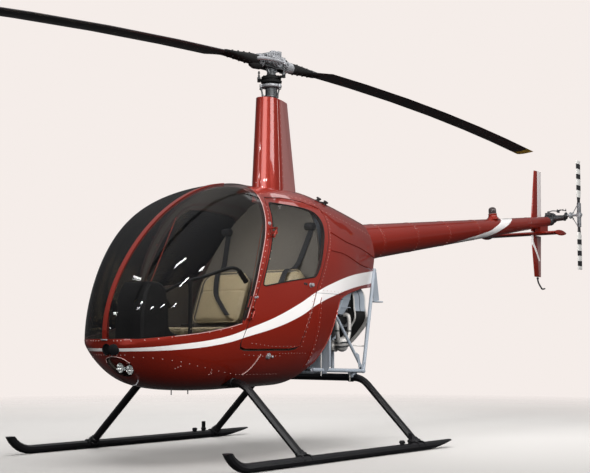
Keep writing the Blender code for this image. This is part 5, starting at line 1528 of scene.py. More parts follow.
def engine(cast, pale, dark, grey, black):
    """A flat four-cylinder engine with its pipes, fan housing and belts."""
    bm = bmesh.new()
    block(bm, (0.215, -0.085, 0.775), (0.600, 0.085, 0.985), 0.012, segments=3)
    block(bm, (0.205, -0.110, 0.830), (0.610, 0.110, 0.900), 0.008)
    block(bm, (0.240, -0.070, 0.985), (0.560, 0.070, 1.010), 0.008)
    for x in (0.235, 0.325, 0.415, 0.505, 0.585):
        for side in (-1, 1):
            bolt(bm, (x, side * 0.118, 0.92), (0, -side, 0), 0.02, 0.005)
            block(bm, (x - 0.005, min(side * 0.08, side * 0.104), 0.78),
                  (x + 0.005, max(side * 0.08, side * 0.104), 0.975), 0.002)
    block(bm, (0.245, -0.095, 0.705), (0.560, 0.095, 0.775), 0.012, segments=3)
    for k in range(9):
        x = 0.265 + k * 0.034
        block(bm, (x - 0.004, -0.105, 0.712), (x + 0.004, 0.105, 0.768), 0.001)
    lathe(bm, (0.600, 0, 0.865), (1, 0, 0), [(0, 0.075), (0.012, 0.078), (0.018, 0.060)], 28)
    piece("engine_block.crankcase", raised(bm), cast, "airframe",
          ["engine_block"])

    for side, word in ((-1, "left"), (1, "right")):
        bm = bmesh.new()
        for x in (0.305, 0.500):
            cylinder(bm, x + (0.0 if side < 0 else -0.022), side)
        piece("cylinders_%s.fins" % word, raised(bm), cast, "airframe")
    bm = bmesh.new()
    for side in (-1, 1):
        for x in (0.305, 0.500):
            x += 0.0 if side < 0 else -0.022
            rocker_cover(bm, x, side)
    piece("rocker_covers.pressed", raised(bm), black, "airframe")

    pipes(pale, dark)
    fan(grey, black, dark, pale)
    bay_fittings(grey, dark, black)


def cylinder(bm, x, side):
    """A finned barrel and its finned head, lying across the helicopter."""
    profile = [(0, 0.058)]
    for k in range(11):
        y = 0.008 + k * 0.0072
        profile += [(y, 0.058), (y, 0.070), (y + 0.0026, 0.070), (y + 0.0026, 0.058)]
    profile += [(0.088, 0.058), (0.088, 0.062)]
    lathe(bm, (x, side * 0.098, 0.862), (0, side, 0), profile, 26)
    for k in range(8):
        y = 0.186 + k * 0.0078
        low, high = sorted((side * y, side * (y + 0.0028)))
        outline = [(x - 0.078, 0.800), (x - 0.064, 0.786), (x + 0.064, 0.786), (x + 0.078, 0.800),
                   (x + 0.078, 0.924), (x + 0.062, 0.944), (x - 0.062, 0.944), (x - 0.078, 0.924)]
        slab(bm, outline, low, high, 'Y')
    low, high = sorted((side * 0.184, side * 0.250))
    block(bm, (x - 0.055, low, 0.800), (x + 0.055, high, 0.930), 0.010)
    for way in (-1, 1):
        lathe(bm, (x + way * 0.035, side * 0.215, 0.925), (way * 0.3, side * 0.35, 1),
              [(0, 0.011), (0.016, 0.011), (0.018, 0.008), (0.040, 0.007)], 6)


def rocker_cover(bm, x, side):
    """A pressed cover with its four screws on a cylinder head."""
    outline = [(-0.052, -0.040), (-0.030, -0.054), (0.030, -0.054), (0.052, -0.040),
               (0.052, 0.040), (0.030, 0.054), (-0.030, 0.054), (-0.052, 0.040)]
    outline = [(x + a, 0.862 + b) for a, b in outline]
    low, high = sorted((side * 0.248, side * 0.268))
    slab(bm, outline, low, high, 'Y', 0.006)
    for a, b in ((-0.045, -0.03), (0.045, -0.03), (-0.045, 0.03), (0.045, 0.03)):
        lathe(bm, (x + a, side * 0.250, 0.862 + b), (0, side, 0),
              [(0, 0.004), (0.020, 0.004), (0.021, 0.003)], 6)


def pipes(pale, dark):
    """Intake pipes, the exhaust risers down to their collectors, muffler and tail pipe."""
    bm = bmesh.new()
    for side in (-1, 1):
        for x, sump in ((0.305, 0.33), (0.500, 0.47)):
            shift = 0.0 if side < 0 else -0.022
            sweep(bm, [(sump, side * 0.06, 0.735), (sump, side * 0.14, 0.715),
                       (x - 0.045 + shift, side * 0.20, 0.730),
                       (x - 0.050 + shift, side * 0.222, 0.800)], 0.019, 14, 6)
    piece("intake_pipes.tubes", raised(bm), dark, "airframe")

    bm = bmesh.new()
    for side in (-1, 1):
        sweep(bm, [(0.350, side * 0.240, 0.900), (0.358, side * 0.285, 0.905),
                   (0.366, side * 0.302, 0.870), (0.374, side * 0.303, 0.790),
                   (0.388, side * 0.300, 0.742), (0.410, side * 0.296, 0.715)],
              0.0140, 16, 6)
        sweep(bm, [(0.500, side * 0.240, 0.915), (0.508, side * 0.286, 0.922),
                   (0.513, side * 0.302, 0.895), (0.515, side * 0.303, 0.800),
                   (0.498, side * 0.300, 0.745), (0.468, side * 0.296, 0.715)],
              0.0140, 16, 6)
    piece("exhaust_pipe.risers", bm, pale, "airframe", ["exhaust_pipe"])

    bm = bmesh.new()
    for side in (-1, 1):
        lathe(bm, (0.436, side * 0.292, 0.762), (0.10, 0, -1),
              [(0, 0.0), (0.001, 0.028), (0.010, 0.041), (0.024, 0.046), (0.040, 0.047),
               (0.062, 0.046), (0.082, 0.039), (0.096, 0.026), (0.103, 0.010), (0.104, 0.0)], 30)
    lathe(bm, (0.445, -0.245, 0.700), (0, 1, 0),
          [(0, 0.030), (0.010, 0.042), (0.090, 0.044), (0.092, 0.050), (0.104, 0.050),
           (0.106, 0.046), (0.386, 0.046), (0.388, 0.050), (0.400, 0.050), (0.402, 0.044),
           (0.480, 0.042), (0.490, 0.030)], 30)
    sweep(bm, [(0.430, 0.02, 0.655), (0.436, 0.02, 0.632), (0.458, 0.02, 0.612),
               (0.484, 0.02, 0.607)], 0.023, 16, 5)
    piece("muffler.can", bm, pale, "airframe")

    bm = bmesh.new()
    for side in (-1, 1):
        for place in ((0.371, side * 0.303, 0.812), (0.515, side * 0.303, 0.812)):
            lathe(bm, place, (0, 0, -1), [(0, 0.014), (0.001, 0.018), (0.010, 0.018),
                                          (0.011, 0.014)], 20)
        for run in (0.030, 0.058):
            lathe(bm, (0.436 + 0.1 * run, side * 0.292, 0.762 - run), (0.10, 0, -1),
                  [(0, 0.044), (0.001, 0.050), (0.010, 0.050), (0.011, 0.042)], 30)
        low, high = sorted((side * 0.343, side * 0.356))
        block(bm, (0.430, low, 0.720), (0.452, high, 0.732), 0.002)
    piece("exhaust_clamps.bands", bm, dark, "airframe")


def fan(grey, black, dark, pale):
    """The spiral fan housing behind the engine, its grey wrap, its rim and the fan."""
    front, rear = 0.630, 0.770
    outline = [tuple(p) for p in flowing(SCROLL, 4, closed=True)]
    bm = bmesh.new()
    rings = []
    for run, inset in ((front, 0.014), (front + 0.004, 0.004), (front + 0.012, 0.0),
                       (rear - 0.012, 0.0), (rear - 0.004, 0.004), (rear, 0.014)):
        rings.append([(run, y, z) for y, z in offset(outline, -inset)])
    loft(bm, rings)
    # The scroll body is near black, painted shade of the housing's front; the grey wrap over its
    # top shows the housing's own grey
    piece("fan_shroud.scroll", bm, black, "airframe", ["fan_shroud"])

    bm = bmesh.new()
    start = min(range(len(outline)), key=lambda k: (outline[k][0] + 0.262) ** 2
                + (outline[k][1] - 0.960) ** 2)
    ordered = [outline[(start - k) % len(outline)] for k in range(len(outline))]
    ordered = [p for p in ordered if p[1] > 0.93]
    outer = offset(ordered + [(0.0, 0.90)], 0.003)[:-1]
    inner = offset(ordered + [(0.0, 0.90)], 0.0005)[:-1]
    for low, high in ((front + 0.006, front + 0.066), (front + 0.074, rear - 0.006)):
        loft(bm, [[(low, *a), (low, *b), (high, *b), (high, *a)] for a, b in zip(inner, outer)])
    piece("fan_shroud.wrap", bm, grey, "airframe")

    bm = bmesh.new()
    for run in (front + 0.002, rear - 0.002):
        sweep(bm, [(run, y, z) for y, z in outline], 0.0065, 10, 1, closed=True)
    sweep(bm, [(rear + 0.010, -0.292, 0.905), (rear + 0.010, -0.262, 0.872),
               (rear + 0.006, -0.135, 0.742), (rear, -0.030, 0.690)],
          [0.017, 0.019, 0.018, 0.014], 16, 5)
    piece("fan_shroud.rim", bm, pale, "airframe")

    bm = bmesh.new()
    middle = (0.0, 0.930)
    lathe(bm, (rear - 0.002, *middle), (1, 0, 0),
          [(0, 0.128), (0.010, 0.134), (0.016, 0.142), (0.014, 0.150), (0.002, 0.152),
           (0.0, 0.150)], 44)
    lathe(bm, (rear - 0.004, *middle), (1, 0, 0),
          [(0.0, 0.0), (0, 0.044), (0.010, 0.052), (0.020, 0.046), (0.024, 0.0)], 28)
    for k in range(22):
        turn = (Matrix.Translation((rear + 0.004, *middle))
                @ Matrix.Rotation(2 * math.pi * k / 22, 4, 'X')
                @ Matrix.Rotation(math.radians(30), 4, 'Z'))
        block(bm, (-0.010, -0.0012, 0.048), (0.010, 0.0012, 0.128), 0.0005, turn, 1)
    piece("cooling_fan.wheel", bm, dark, "airframe")


def bay_fittings(grey, dark, black):
    """Belts and sheaves, ducts, hoses, wires and boxes round the engine."""
    bm = bmesh.new()
    for run, z, radius in ((0.600, 0.862 + ENGINE_LIFT, 0.062), (0.596, 1.290, 0.105)):
        lathe(bm, (run, 0, z), (1, 0, 0),
              [(0, 0.02), (0, radius), (0.004, radius), (0.008, radius - 0.008),
               (0.012, radius), (0.016, radius), (0.016, 0.02)], 36)
    lathe(bm, (0.066, 0, 1.290), (1, 0, 0),
          [(0, 0.0), (0, 0.030), (0.012, 0.030), (0.016, 0.017), (0.150, 0.017), (0.152, 0.034),
           (0.160, 0.034), (0.162, 0.022), (0.168, 0.022), (0.170, 0.034), (0.178, 0.034),
           (0.180, 0.017), (0.500, 0.017), (0.505, 0.044), (0.550, 0.044), (0.556, 0.026),
           (0.575, 0.026), (0.578, 0.016), (0.592, 0.016), (0.592, 0.0)], 24)
    piece("drive_shaft.wheels", bm, dark, "airframe", ["drive_shaft"])
    bm = bmesh.new()
    line = []
    for k in range(17):
        angle = math.pi * k / 16
        line.append((0.604, 0.106 * math.cos(angle), 1.290 + 0.106 * math.sin(angle)))
    for k in range(17):
        angle = math.pi + math.pi * k / 16
        line.append((0.607, 0.063 * math.cos(angle),
                     0.862 + ENGINE_LIFT + 0.063 * math.sin(angle)))
    sweep(bm, line, 0.0068, 8, 1, closed=True)
    piece("drive_belt.loop", bm, black, "airframe")

    bm = bmesh.new()
    for side in (-1, 1):
        rings = []
        for x, y, z, wide in ((0.485, 0.300, 1.100, 0.050), (0.470, 0.302, 1.050, 0.046),
                              (0.440, 0.300, 0.990, 0.046), (0.415, 0.294, 0.945, 0.042),
                              (0.400, 0.285, 0.925, 0.038)):
            rings.append([(x + wide * math.copysign(abs(math.cos(a)) ** 0.5, math.cos(a)),
                           side * y + 0.020 * math.copysign(abs(math.sin(a)) ** 0.5, math.sin(a)),
                           z - 0.2 * wide * math.cos(a))
                          for a in (2 * math.pi * k / 24 for k in range(24))])
        loft(bm, rings)
        for z in (1.030, 0.970):
            low, high = sorted((side * 0.318, side * 0.324))
            block(bm, (0.405, low, z), (0.505, high, z + 0.006), 0.001)
    piece("air_ducts.sheet", bm, grey, "airframe")

    bm = bmesh.new()
    hoses = [
        ([(0.075, -0.30, 0.98), (0.12, -0.33, 0.96), (0.20, -0.30, 0.92), (0.25, -0.22, 0.90),
          (0.26, -0.12, 0.87)], 0.010),
        ([(0.075, -0.20, 1.05), (0.14, -0.22, 1.08), (0.22, -0.16, 1.08), (0.26, -0.06, 1.055)],
         0.012),
        ([(0.34, -0.06, 1.05), (0.36, -0.20, 1.09), (0.38, -0.27, 1.06), (0.39, -0.27, 0.98)],
         0.006),
        ([(0.42, -0.06, 1.05), (0.44, -0.22, 1.08), (0.53, -0.29, 1.05), (0.54, -0.28, 0.98)],
         0.006),
        ([(0.075, 0.25, 0.95), (0.13, 0.30, 0.95), (0.22, 0.26, 0.91), (0.26, 0.14, 0.85)],
         0.010),
        ([(0.075, -0.36, 0.72), (0.14, -0.37, 0.70), (0.22, -0.33, 0.73), (0.28, -0.22, 0.76)],
         0.016),
    ]
    for line, radius in hoses:
        sweep(bm, line, radius, 10, 6)
    piece("engine_hoses.rubber", bm, black, "airframe")

    bm = bmesh.new()
    block(bm, (0.220, -0.060, 1.012), (0.290, 0.010, 1.085), 0.008)
    block(bm, (0.220, 0.020, 1.012), (0.290, 0.075, 1.080), 0.008)
    lathe(bm, (0.46, -0.02, 1.010), (0, 0, 1), [(0, 0.030), (0.010, 0.034), (0.050, 0.034),
                                                (0.058, 0.026), (0.060, 0.0)], 20)
    lathe(bm, (0.30, -0.02, 0.640), (1, 0, 0), [(0, 0.0), (0.0, 0.026), (0.06, 0.026),
                                                (0.066, 0.020), (0.066, 0.0)], 20)
    block(bm, (0.120, -0.345, 0.600), (0.200, -0.255, 0.700), 0.010)
    for k in range(6):
        block(bm, (0.116, -0.340, 0.612 + 0.014 * k), (0.204, -0.250, 0.617 + 0.014 * k), 0.001)
    piece("engine_accessories.boxes", raised(bm), dark, "airframe")


def bay_frame(grey, pale):
    """Welded tubes round the engine with gussets, clamps on the rear cross tube, the vane."""
    bm, thin = bmesh.new(), bmesh.new()
    for side in (-1, 1):
        corner = Vector((0.52, side * 0.42, 0.524))
        top = Vector((0.925, side * 0.238, 1.262))
        rod(bm, corner, top, 0.0130, 16)
        rod(bm, corner, (0.0903, side * 0.352, 1.150), 0.0105, 14)
        rod(bm, (-0.060, side * 0.408, 0.542), corner, 0.0140, 16)
        rod(bm, (top.x, side * 0.09, top.z), (top.x, side * 0.09, 1.368), 0.011, 12)
        rod(bm, (0.52, side * 0.15, 0.524), (0.52, side * 0.15, 0.752), 0.0125, 12)
        for place in (corner, top):
            lathe(bm, place - Vector((0, 0, 0.016)), (0, 0, 1),
                  [(0, 0.0), (0.003, 0.014), (0.016, 0.0175), (0.029, 0.014), (0.032, 0.0)], 16)
        low, high = sorted((side * 0.417, side * 0.421))
        slab(bm, [(0.455, 0.536), (0.530, 0.536), (0.552, 0.590), (0.505, 0.566)], low, high,
             'Y', 0.001)
        slab(bm, [(0.505, 0.530), (0.470, 0.640), (0.440, 0.655), (0.470, 0.540)], low, high,
             'Y', 0.001)
        low, high = sorted((side * 0.362, side * 0.408))
        block(bm, (0.413, low, 0.478), (0.467, high, 0.535), 0.006)
        for x in (0.406, 0.474):
            sweep(thin, [(x, side * 0.385, 0.455), (x, side * 0.385, 0.540)], 0.0035, 8, 1)
            lathe(thin, (x, side * 0.385, 0.534), (0, 0, 1), [(0, 0.007), (0.007, 0.007)], 6)
        sweep(bm, [corner + Vector((0.010, 0, 0.012)), (0.64, side * 0.352, 0.700),
                   (0.745, side * 0.298, 0.865)], 0.0060, 12, 4)
        sweep(thin, [(0.570, side * 0.300, 0.703), (0.648, side * 0.350, 0.698)], 0.0045, 10, 1)
        rod(thin, (0.030, side * 0.418, 0.500), (0.030, side * 0.418, 0.672), 0.0045, 10)
        vane = [(0.940, 1.258), (0.985, 1.252), (1.020, 1.040), (0.945, 1.030)]
        low, high = sorted((side * 0.212, side * 0.220))
        slab(bm, vane, low, high, 'Y', 0.002)
        block(bm, (0.930, min(side * 0.190, side * 0.238), 1.024),
              (1.045, max(side * 0.190, side * 0.238), 1.034), 0.003)
        rod(bm, (0.872, side * 0.262, 1.165), (0.950, side * 0.216, 1.165), 0.006, 10)
    left = Vector((0.52, -0.42, 0.524))
    rod(bm, left, (0.52, 0.42, 0.524), 0.0125, 16)
    rod(bm, (0.925, -0.238, 1.262), (0.925, 0.238, 1.262), 0.0125, 16)
    rod(bm, (-0.060, -0.408, 0.542), (0.52, 0.42, 0.524), 0.0085, 12)
    block(bm, (0.490, -0.170, 0.750), (0.550, 0.170, 0.776), 0.006)
    piece("engine_frame.tubes", bm, grey, "airframe", ["engine_frame"])
    piece("engine_frame.bolts", thin, pale, "airframe")


def firewall_sheet(grey, rivet):
    """The firewall with swaged ribs, doublers and rivets."""
    x0, x1 = 0.055, 0.0605
    right = [(0.440, 0.515), (0.468, 0.560), (0.468, 0.850)]
    for z in np.linspace(0.86, 1.60, 14):
        right.append((max(0.30, skin_y(0.06, float(z)) - 0.012), float(z)))
    outline = right + [(-y, z) for y, z in reversed(right)]
    bm = bmesh.new()
    slab(bm, outline, x0, x1, 'X')
    for y in (-0.40, -0.30, 0.30, 0.40):
        sweep(bm, [(x1, y, 0.545), (x1, y, 1.10)], 0.0055, 10, 1)
    for y in (-0.20, -0.07, 0.07, 0.20):
        sweep(bm, [(x1, y, 0.60), (x1, y, 1.45)], 0.0055, 10, 1)
    block(bm, (x1 - 0.001, -0.46, 0.835), (x1 + 0.002, 0.46, 0.860), 0.001)
    for side in (-1, 1):
        low, high = sorted((side * 0.452, side * 0.470))
        block(bm, (x1 - 0.002, low, 0.560), (x1 + 0.014, high, 0.850), 0.002)
    piece("firewall.sheet", bm, grey, "airframe", ["firewall"])
    bm = bmesh.new()
    spots = []
    for z in np.arange(0.58, 0.84, 0.032):
        spots += [((x1, side * 0.440, float(z)), (1, 0, 0)) for side in (-1, 1)]
    for y in np.arange(-0.42, 0.43, 0.035):
        spots += [((x1, float(y), 0.530), (1, 0, 0)), ((x1 + 0.002, float(y), 0.848), (1, 0, 0))]
    heads(bm, spots, 0.0035, 0.0016)
    piece("firewall.rivets", bm, rivet, "airframe")


# ---------------------------------------------------------------- mast fairing

def fairing_outline(z, inset=0.0):
    """Smooth teardrop of the mast fairing at a height: (x, y) points."""
    middle, front, half, rear = (
        float(np.interp(z, (1.70, 1.83, 2.44), values))
        for values in ((-0.050, -0.050, -0.045), (0.120, 0.120, 0.090), (0.085, 0.085, 0.068),
                       (0.285, 0.270, 0.174)))
    front, half, rear = front - inset, half - inset, rear - inset
    line = []
    for k in range(19):
        angle = math.radians(90 - 5 * k)
        line.append((middle - front * math.cos(angle), -half * math.sin(angle)))
    line = list(reversed(line))
    for k in range(1, 21):
        t = k / 20
        line.append((middle + (rear - middle) * t, -(half * (1 - t ** 1.5) + 0.004 * t)))
    other = [(x, -y) for x, y in line[1:]]
    return line + list(reversed(other))


def fairing(finish, edge):
    """The mast fairing as one smooth shell with its seams, screws and open top."""
    bm = bmesh.new()
    rings = []
    for z in (1.70, 1.72, 1.76, 1.80, 1.83, 1.86, 1.95, 2.10, 2.25, 2.36, 2.430, 2.4385):
        rings.append([(x, y, z) for x, y in fairing_outline(z)])
    rings.append([(x, y, 2.440) for x, y in fairing_outline(2.44, 0.0015)])
    rings.append([(x, y, 2.440) for x, y in fairing_outline(2.44, 0.0060)])
    for z in (2.415, 2.38):
        rings.append([(x, y, z) for x, y in fairing_outline(z, 0.0075)])
    loft(bm, rings)
    piece("mast_fairing.shell", bm, finish, "airframe", ["mast_fairing"], 40)
    bm = bmesh.new()
    # The fairing's screws and seams are pale as painted highlights
    spots = []
    for z in np.arange(1.80, 2.42, 0.045):
        line = fairing_outline(float(z))
        for x, y in (line[24], line[-24]):
            spots.append(((x, y, float(z)), (0.1, math.copysign(1, y), 0)))
    heads(bm, spots, 0.0032, 0.0016, 6)
    for side in (-1, 1):
        line = []
        for z in np.linspace(1.79, 2.43, 12):
            x, y = fairing_outline(float(z))[21]
            line.append((x, side * (abs(y) + 0.0004), float(z)))
        sweep(bm, line, 0.0014, 6, 1)
    piece("mast_fairing.seams", bm, edge, "airframe")


# ---------------------------------------------------------------- tail and landing gear

def aerofoil(chord, thickness, count=18):
    """Closed symmetrical section: (run from the nose, height)."""
    upper = []
    for k in range(count + 1):
        x = (1 - math.cos(math.pi * k / count)) / 2
        y = 5 * thickness * (0.2969 * math.sqrt(x) - 0.1260 * x - 0.3516 * x**2
                             + 0.2843 * x**3 - 0.1036 * x**4)
        upper.append((x * chord, max(y * chord, 0.0006 if 0 < k < count else 0.0)))
    return upper + [(x, -y) for x, y in reversed(upper[1:-1])]


def wing(bm, stations, thickness, across):
    """A fine wing with softly closed ends."""
    first, last = stations[0], stations[-1]
    rows = []
    for (place, chord), (other, _), ends in ((first, stations[1], (0.35, 0.8)),
                                             (last, stations[-2], (0.8, 0.35))):
        away = (Vector(place) - Vector(other)).normalized()
        rows.append([(Vector(place) - away * (0.006 * share), chord, share) for share in ends])
    between = [(Vector(p), c, 1.0) for p, c in stations]
    between[0] = (between[0][0] + (between[1][0] - between[0][0]).normalized() * 0.008,
                  between[0][1], 1.0)
    between[-1] = (between[-1][0] + (between[-2][0] - between[-1][0]).normalized() * 0.008,
                   between[-1][1], 1.0)
    rings = []
    for place, chord, share in rows[0] + between + rows[1]:
        ring = []
        for run, rise in aerofoil(chord, thickness):
            run = chord * 0.5 + (run - chord * 0.5) * (0.94 + 0.06 * share)
            rise *= share
            ring.append(place + Vector((run, rise, 0) if across == 'Y' else (run, 0, rise)))
        rings.append(ring)
    loft(bm, rings)


def tail(paints, dark, rivet):
    """Everything aft of the cowls that doesn't turn."""
    tail_cone(paints["cone"], rivet)
    beacon(paints["plain"])
    fins(paints, rivet)
    tail_skid(dark)
    tail_gearbox(dark)


def tail_cone(paint_cone, rivet):
    """Tail cone in lapped bays, with its rivets."""
    start = Vector((CONE_START, 0, tail_axis_z(CONE_START)))
    end = Vector((CONE_END, 0, tail_axis_z(CONE_END)))
    run = end - start
    length = run.length
    joints = (1.21, 1.72, 2.24, 2.76, 3.28, 3.80)
    profile = [(0.0, 0.0), (0.0, CONE_RADII[0])]
    for x in joints:
        share = (x - CONE_START) / (CONE_END - CONE_START)
        radius = tail_radius(x)
        profile += [(length * share - 0.0005, radius), (length * share, radius + 0.0012),
                    (length * share + 0.030, radius + 0.0010), (length * share + 0.0305, radius
                                                               - 0.0009)]
    profile += [(length - 0.003, CONE_RADII[1]), (length, CONE_RADII[1] - 0.003), (length, 0.0)]
    bm = bmesh.new()
    lathe(bm, start, run, profile, 72)
    piece("tail_cone.bays", bm, paint_cone, "airframe", ["tail_cone"], 25)

    u, v = square_to(run)
    along_run = run.normalized()
    spots = []
    for x in joints:
        for shift in (0.006, 0.024):
            share = (x - CONE_START) / (CONE_END - CONE_START)
            centre = start + run * share + along_run * shift
            radius = tail_radius(x) + 0.0008
            count = int(2 * math.pi * radius / 0.028)
            for k in range(count):
                angle = 2 * math.pi * (k + 0.5 * (shift > 0.01)) / count
                out = u * math.cos(angle) + v * math.sin(angle)
                spots.append((centre + out * radius, out))
    low = Vector((0, 0, -1)) + along_run * along_run.z
    for k in range(86):
        x = 1.05 + k * 0.036
        centre = start + run * ((x - CONE_START) / (CONE_END - CONE_START))
        for angle in (-0.10, 0.10):
            out = (low.normalized() * math.cos(angle) + Vector((0, math.sin(angle), 0)))
            spots.append((centre + out * tail_radius(x), out))
    bm = bmesh.new()
    heads(bm, spots, 0.0028, 0.0013, 6)
    piece("rivets_cone.heads", bm, rivet, "airframe")


def beacon(red):
    """The beacon's painted base and its ribbed lens."""
    bm = bmesh.new()
    foot = tail_axis_z(3.18) + tail_radius(3.18) - 0.006
    lathe(bm, (3.18, 0, foot), (-0.13, 0, 1),
          [(0, 0.050), (0.006, 0.060), (0.012, 0.055), (0.022, 0.043), (0.040, 0.038),
           (0.052, 0.040), (0.056, 0.036), (0.056, 0.0)], 32)
    piece("beacon_light.base", bm, red, "airframe", ["beacon_light"])
    bm = bmesh.new()
    lathe(bm, (3.18 - 0.0073, 0, foot + 0.0565), (-0.13, 0, 1),
          [(0, 0.0), (0, 0.034), (0.006, 0.0355), (0.012, 0.034), (0.018, 0.0355),
           (0.026, 0.034), (0.034, 0.034), (0.044, 0.031), (0.053, 0.022), (0.057, 0.010),
           (0.058, 0.0)], 32)
    piece("beacon_light.lens", bm, tinted("beacon_dark", 0.85, (0.06, 0.045, 0.045)), "airframe")


def fins(paints, rivet):
    """Both fins, and the stabiliser with its end plates and rivets."""
    bm = bmesh.new()
    wing(bm, [((4.0303, 0.055, 1.795), 0.2055), ((4.037, 0.055, 1.952), 0.209),
              ((4.106, 0.055, 2.405), 0.148)], 0.11, 'Y')
    piece("upper_fin.shell", bm, paints["upper_fin"], "airframe", ["upper_fin"], 50)
    bm = bmesh.new()
    wing(bm, [((4.086, 0.055, 1.357), 0.137), ((4.0303, 0.055, 1.762), 0.2055)], 0.11, 'Y')
    piece("lower_fin.shell", bm, paints["lower_fin"], "airframe", ["lower_fin"], 50)
    bm = bmesh.new()
    wing(bm, [((4.03, -0.196, 1.778), 0.22), ((4.03, 0.616, 1.778), 0.22)], 0.16, 'Z')
    for y in (-0.197, 0.617):
        cap = [(4.020 + a, 1.778 + b) for a, b in
               [(0.0, 0.0), (0.03, 0.016), (0.09, 0.026), (0.16, 0.025), (0.22, 0.014),
                (0.252, 0.0), (0.22, -0.014), (0.16, -0.025), (0.09, -0.026), (0.03, -0.016)]]
        cap = [tuple(p) for p in flowing(cap, 4, closed=True)]
        slab(bm, cap, y - 0.003, y + 0.003, 'Y', 0.0015)
    piece("horizontal_stabilizer.shell", bm, paints["plain"], "airframe",
          ["horizontal_stabilizer"], 50)
    spots = []
    for y in (-0.185, 0.08, 0.34, 0.605):
        for run_x in (0.03, 0.06, 0.09, 0.12, 0.15, 0.18):
            rise = 0.16 * 0.22 * 0.5 * (1.0 - abs(run_x / 0.22 - 0.35)) * 0.98
            spots.append(((4.03 + run_x, y, 1.778 + rise), (0, 0, 1)))
    bm = bmesh.new()
    heads(bm, spots, 0.0028, 0.0014, 6)
    piece("rivets_stabilizer.heads", bm, rivet, "airframe")


def tail_skid(dark):
    """The bent rod under the lower fin, with its socket."""
    bm = bmesh.new()
    sweep(bm, [(4.150, 0.055, 1.3568), (4.152, 0.055, 1.335), (4.170, 0.055, 1.300),
               (4.232, 0.055, 1.250), (4.262, 0.055, 1.2445), (4.300, 0.055, 1.250)],
          [0.0085, 0.0080, 0.0078, 0.0078, 0.0076, 0.0070], 14, 6)
    lathe(bm, (4.152, 0.055, 1.350), (0.2, 0, -1), [(0, 0.0105), (0.002, 0.0120),
                                                   (0.010, 0.0120), (0.012, 0.0095)], 16)
    piece("tail_skid.rod", bm, dark, "airframe", ["tail_skid"])


def tail_gearbox(dark):
    """Gearbox with its covers and bolts, and the pitch control beside it."""
    x, _, z = TAIL_HUB
    bm = bmesh.new()
    start = Vector((4.242, 0, tail_axis_z(4.242)))
    lathe(bm, start, (1, 0, 0.13), [(0, 0.030), (0.002, 0.049), (0.012, 0.049), (0.014, 0.042),
                                    (0.040, 0.040), (0.048, 0.046), (0.100, 0.046),
                                    (0.114, 0.034), (0.118, 0.0)], 32)
    lathe(bm, (x - 0.002, 0.055, z - 0.018), (0, -1, 0),
          [(0, 0.0), (0.0, 0.026), (0.006, 0.028), (0.008, 0.043), (0.018, 0.044),
           (0.020, 0.038), (0.088, 0.038), (0.090, 0.045), (0.100, 0.045), (0.102, 0.034),
           (0.120, 0.030), (0.195, 0.026), (0.200, 0.031), (0.212, 0.031), (0.215, 0.020)], 32)
    for k in range(8):
        angle = 2 * math.pi * k / 8
        spot = Vector((x - 0.002 + 0.039 * math.cos(angle), -0.045,
                       z - 0.018 + 0.039 * math.sin(angle)))
        lathe(bm, spot, (0, -1, 0), [(0, 0.0045), (0.006, 0.0045), (0.007, 0.003)], 6)
        spot = Vector((4.254, 0.044 * math.cos(angle), start.z + 0.044 * math.sin(angle)))
        lathe(bm, spot, (1, 0, 0), [(0, 0.004), (0.006, 0.004), (0.007, 0.003)], 6)
    for k in range(5):
        block(bm, (x - 0.060 + 0.019 * k, -0.030, z + 0.010), (x - 0.056 + 0.019 * k, 0.030,
                                                              z + 0.036), 0.001)
    lathe(bm, (x - 0.045, 0.0, z + 0.020), (0, 0, 1), [(0, 0.008), (0.018, 0.008), (0.020, 0.011),
                                                      (0.030, 0.011), (0.033, 0.0)], 12)
    piece("tail_gearbox.case", bm, dark, "airframe", ["tail_gearbox"])

    bm = bmesh.new()
    sweep(bm, [(4.235, -0.020, z + 0.030), (4.290, -0.040, z + 0.052), (4.335, -0.075, z + 0.052)],
          0.0050, 10, 4)
    block(bm, (4.300, -0.098, z + 0.034), (4.345, -0.086, z + 0.062), 0.002)
    sweep(bm, [(4.322, -0.092, z + 0.056), (4.322, -0.135, z + 0.058), (4.330, -0.175, z + 0.046)],
          0.0048, 10, 4)
    for k in range(4):
        lathe(bm, (4.318 + 0.004 * k, -0.085 - 0.028 * k, z + 0.050), (0, 0, 1),
              [(0, 0.006), (0.010, 0.006), (0.011, 0.0035), (0.018, 0.0035), (0.018, 0.0)], 8)
    lathe(bm, (x, -0.160, z), (0, -1, 0), [(0, 0.016), (0.001, 0.034), (0.010, 0.036),
                                           (0.014, 0.024), (0.020, 0.020)], 24)
    piece("tail_pitch_control.rods", bm, dark, "airframe")


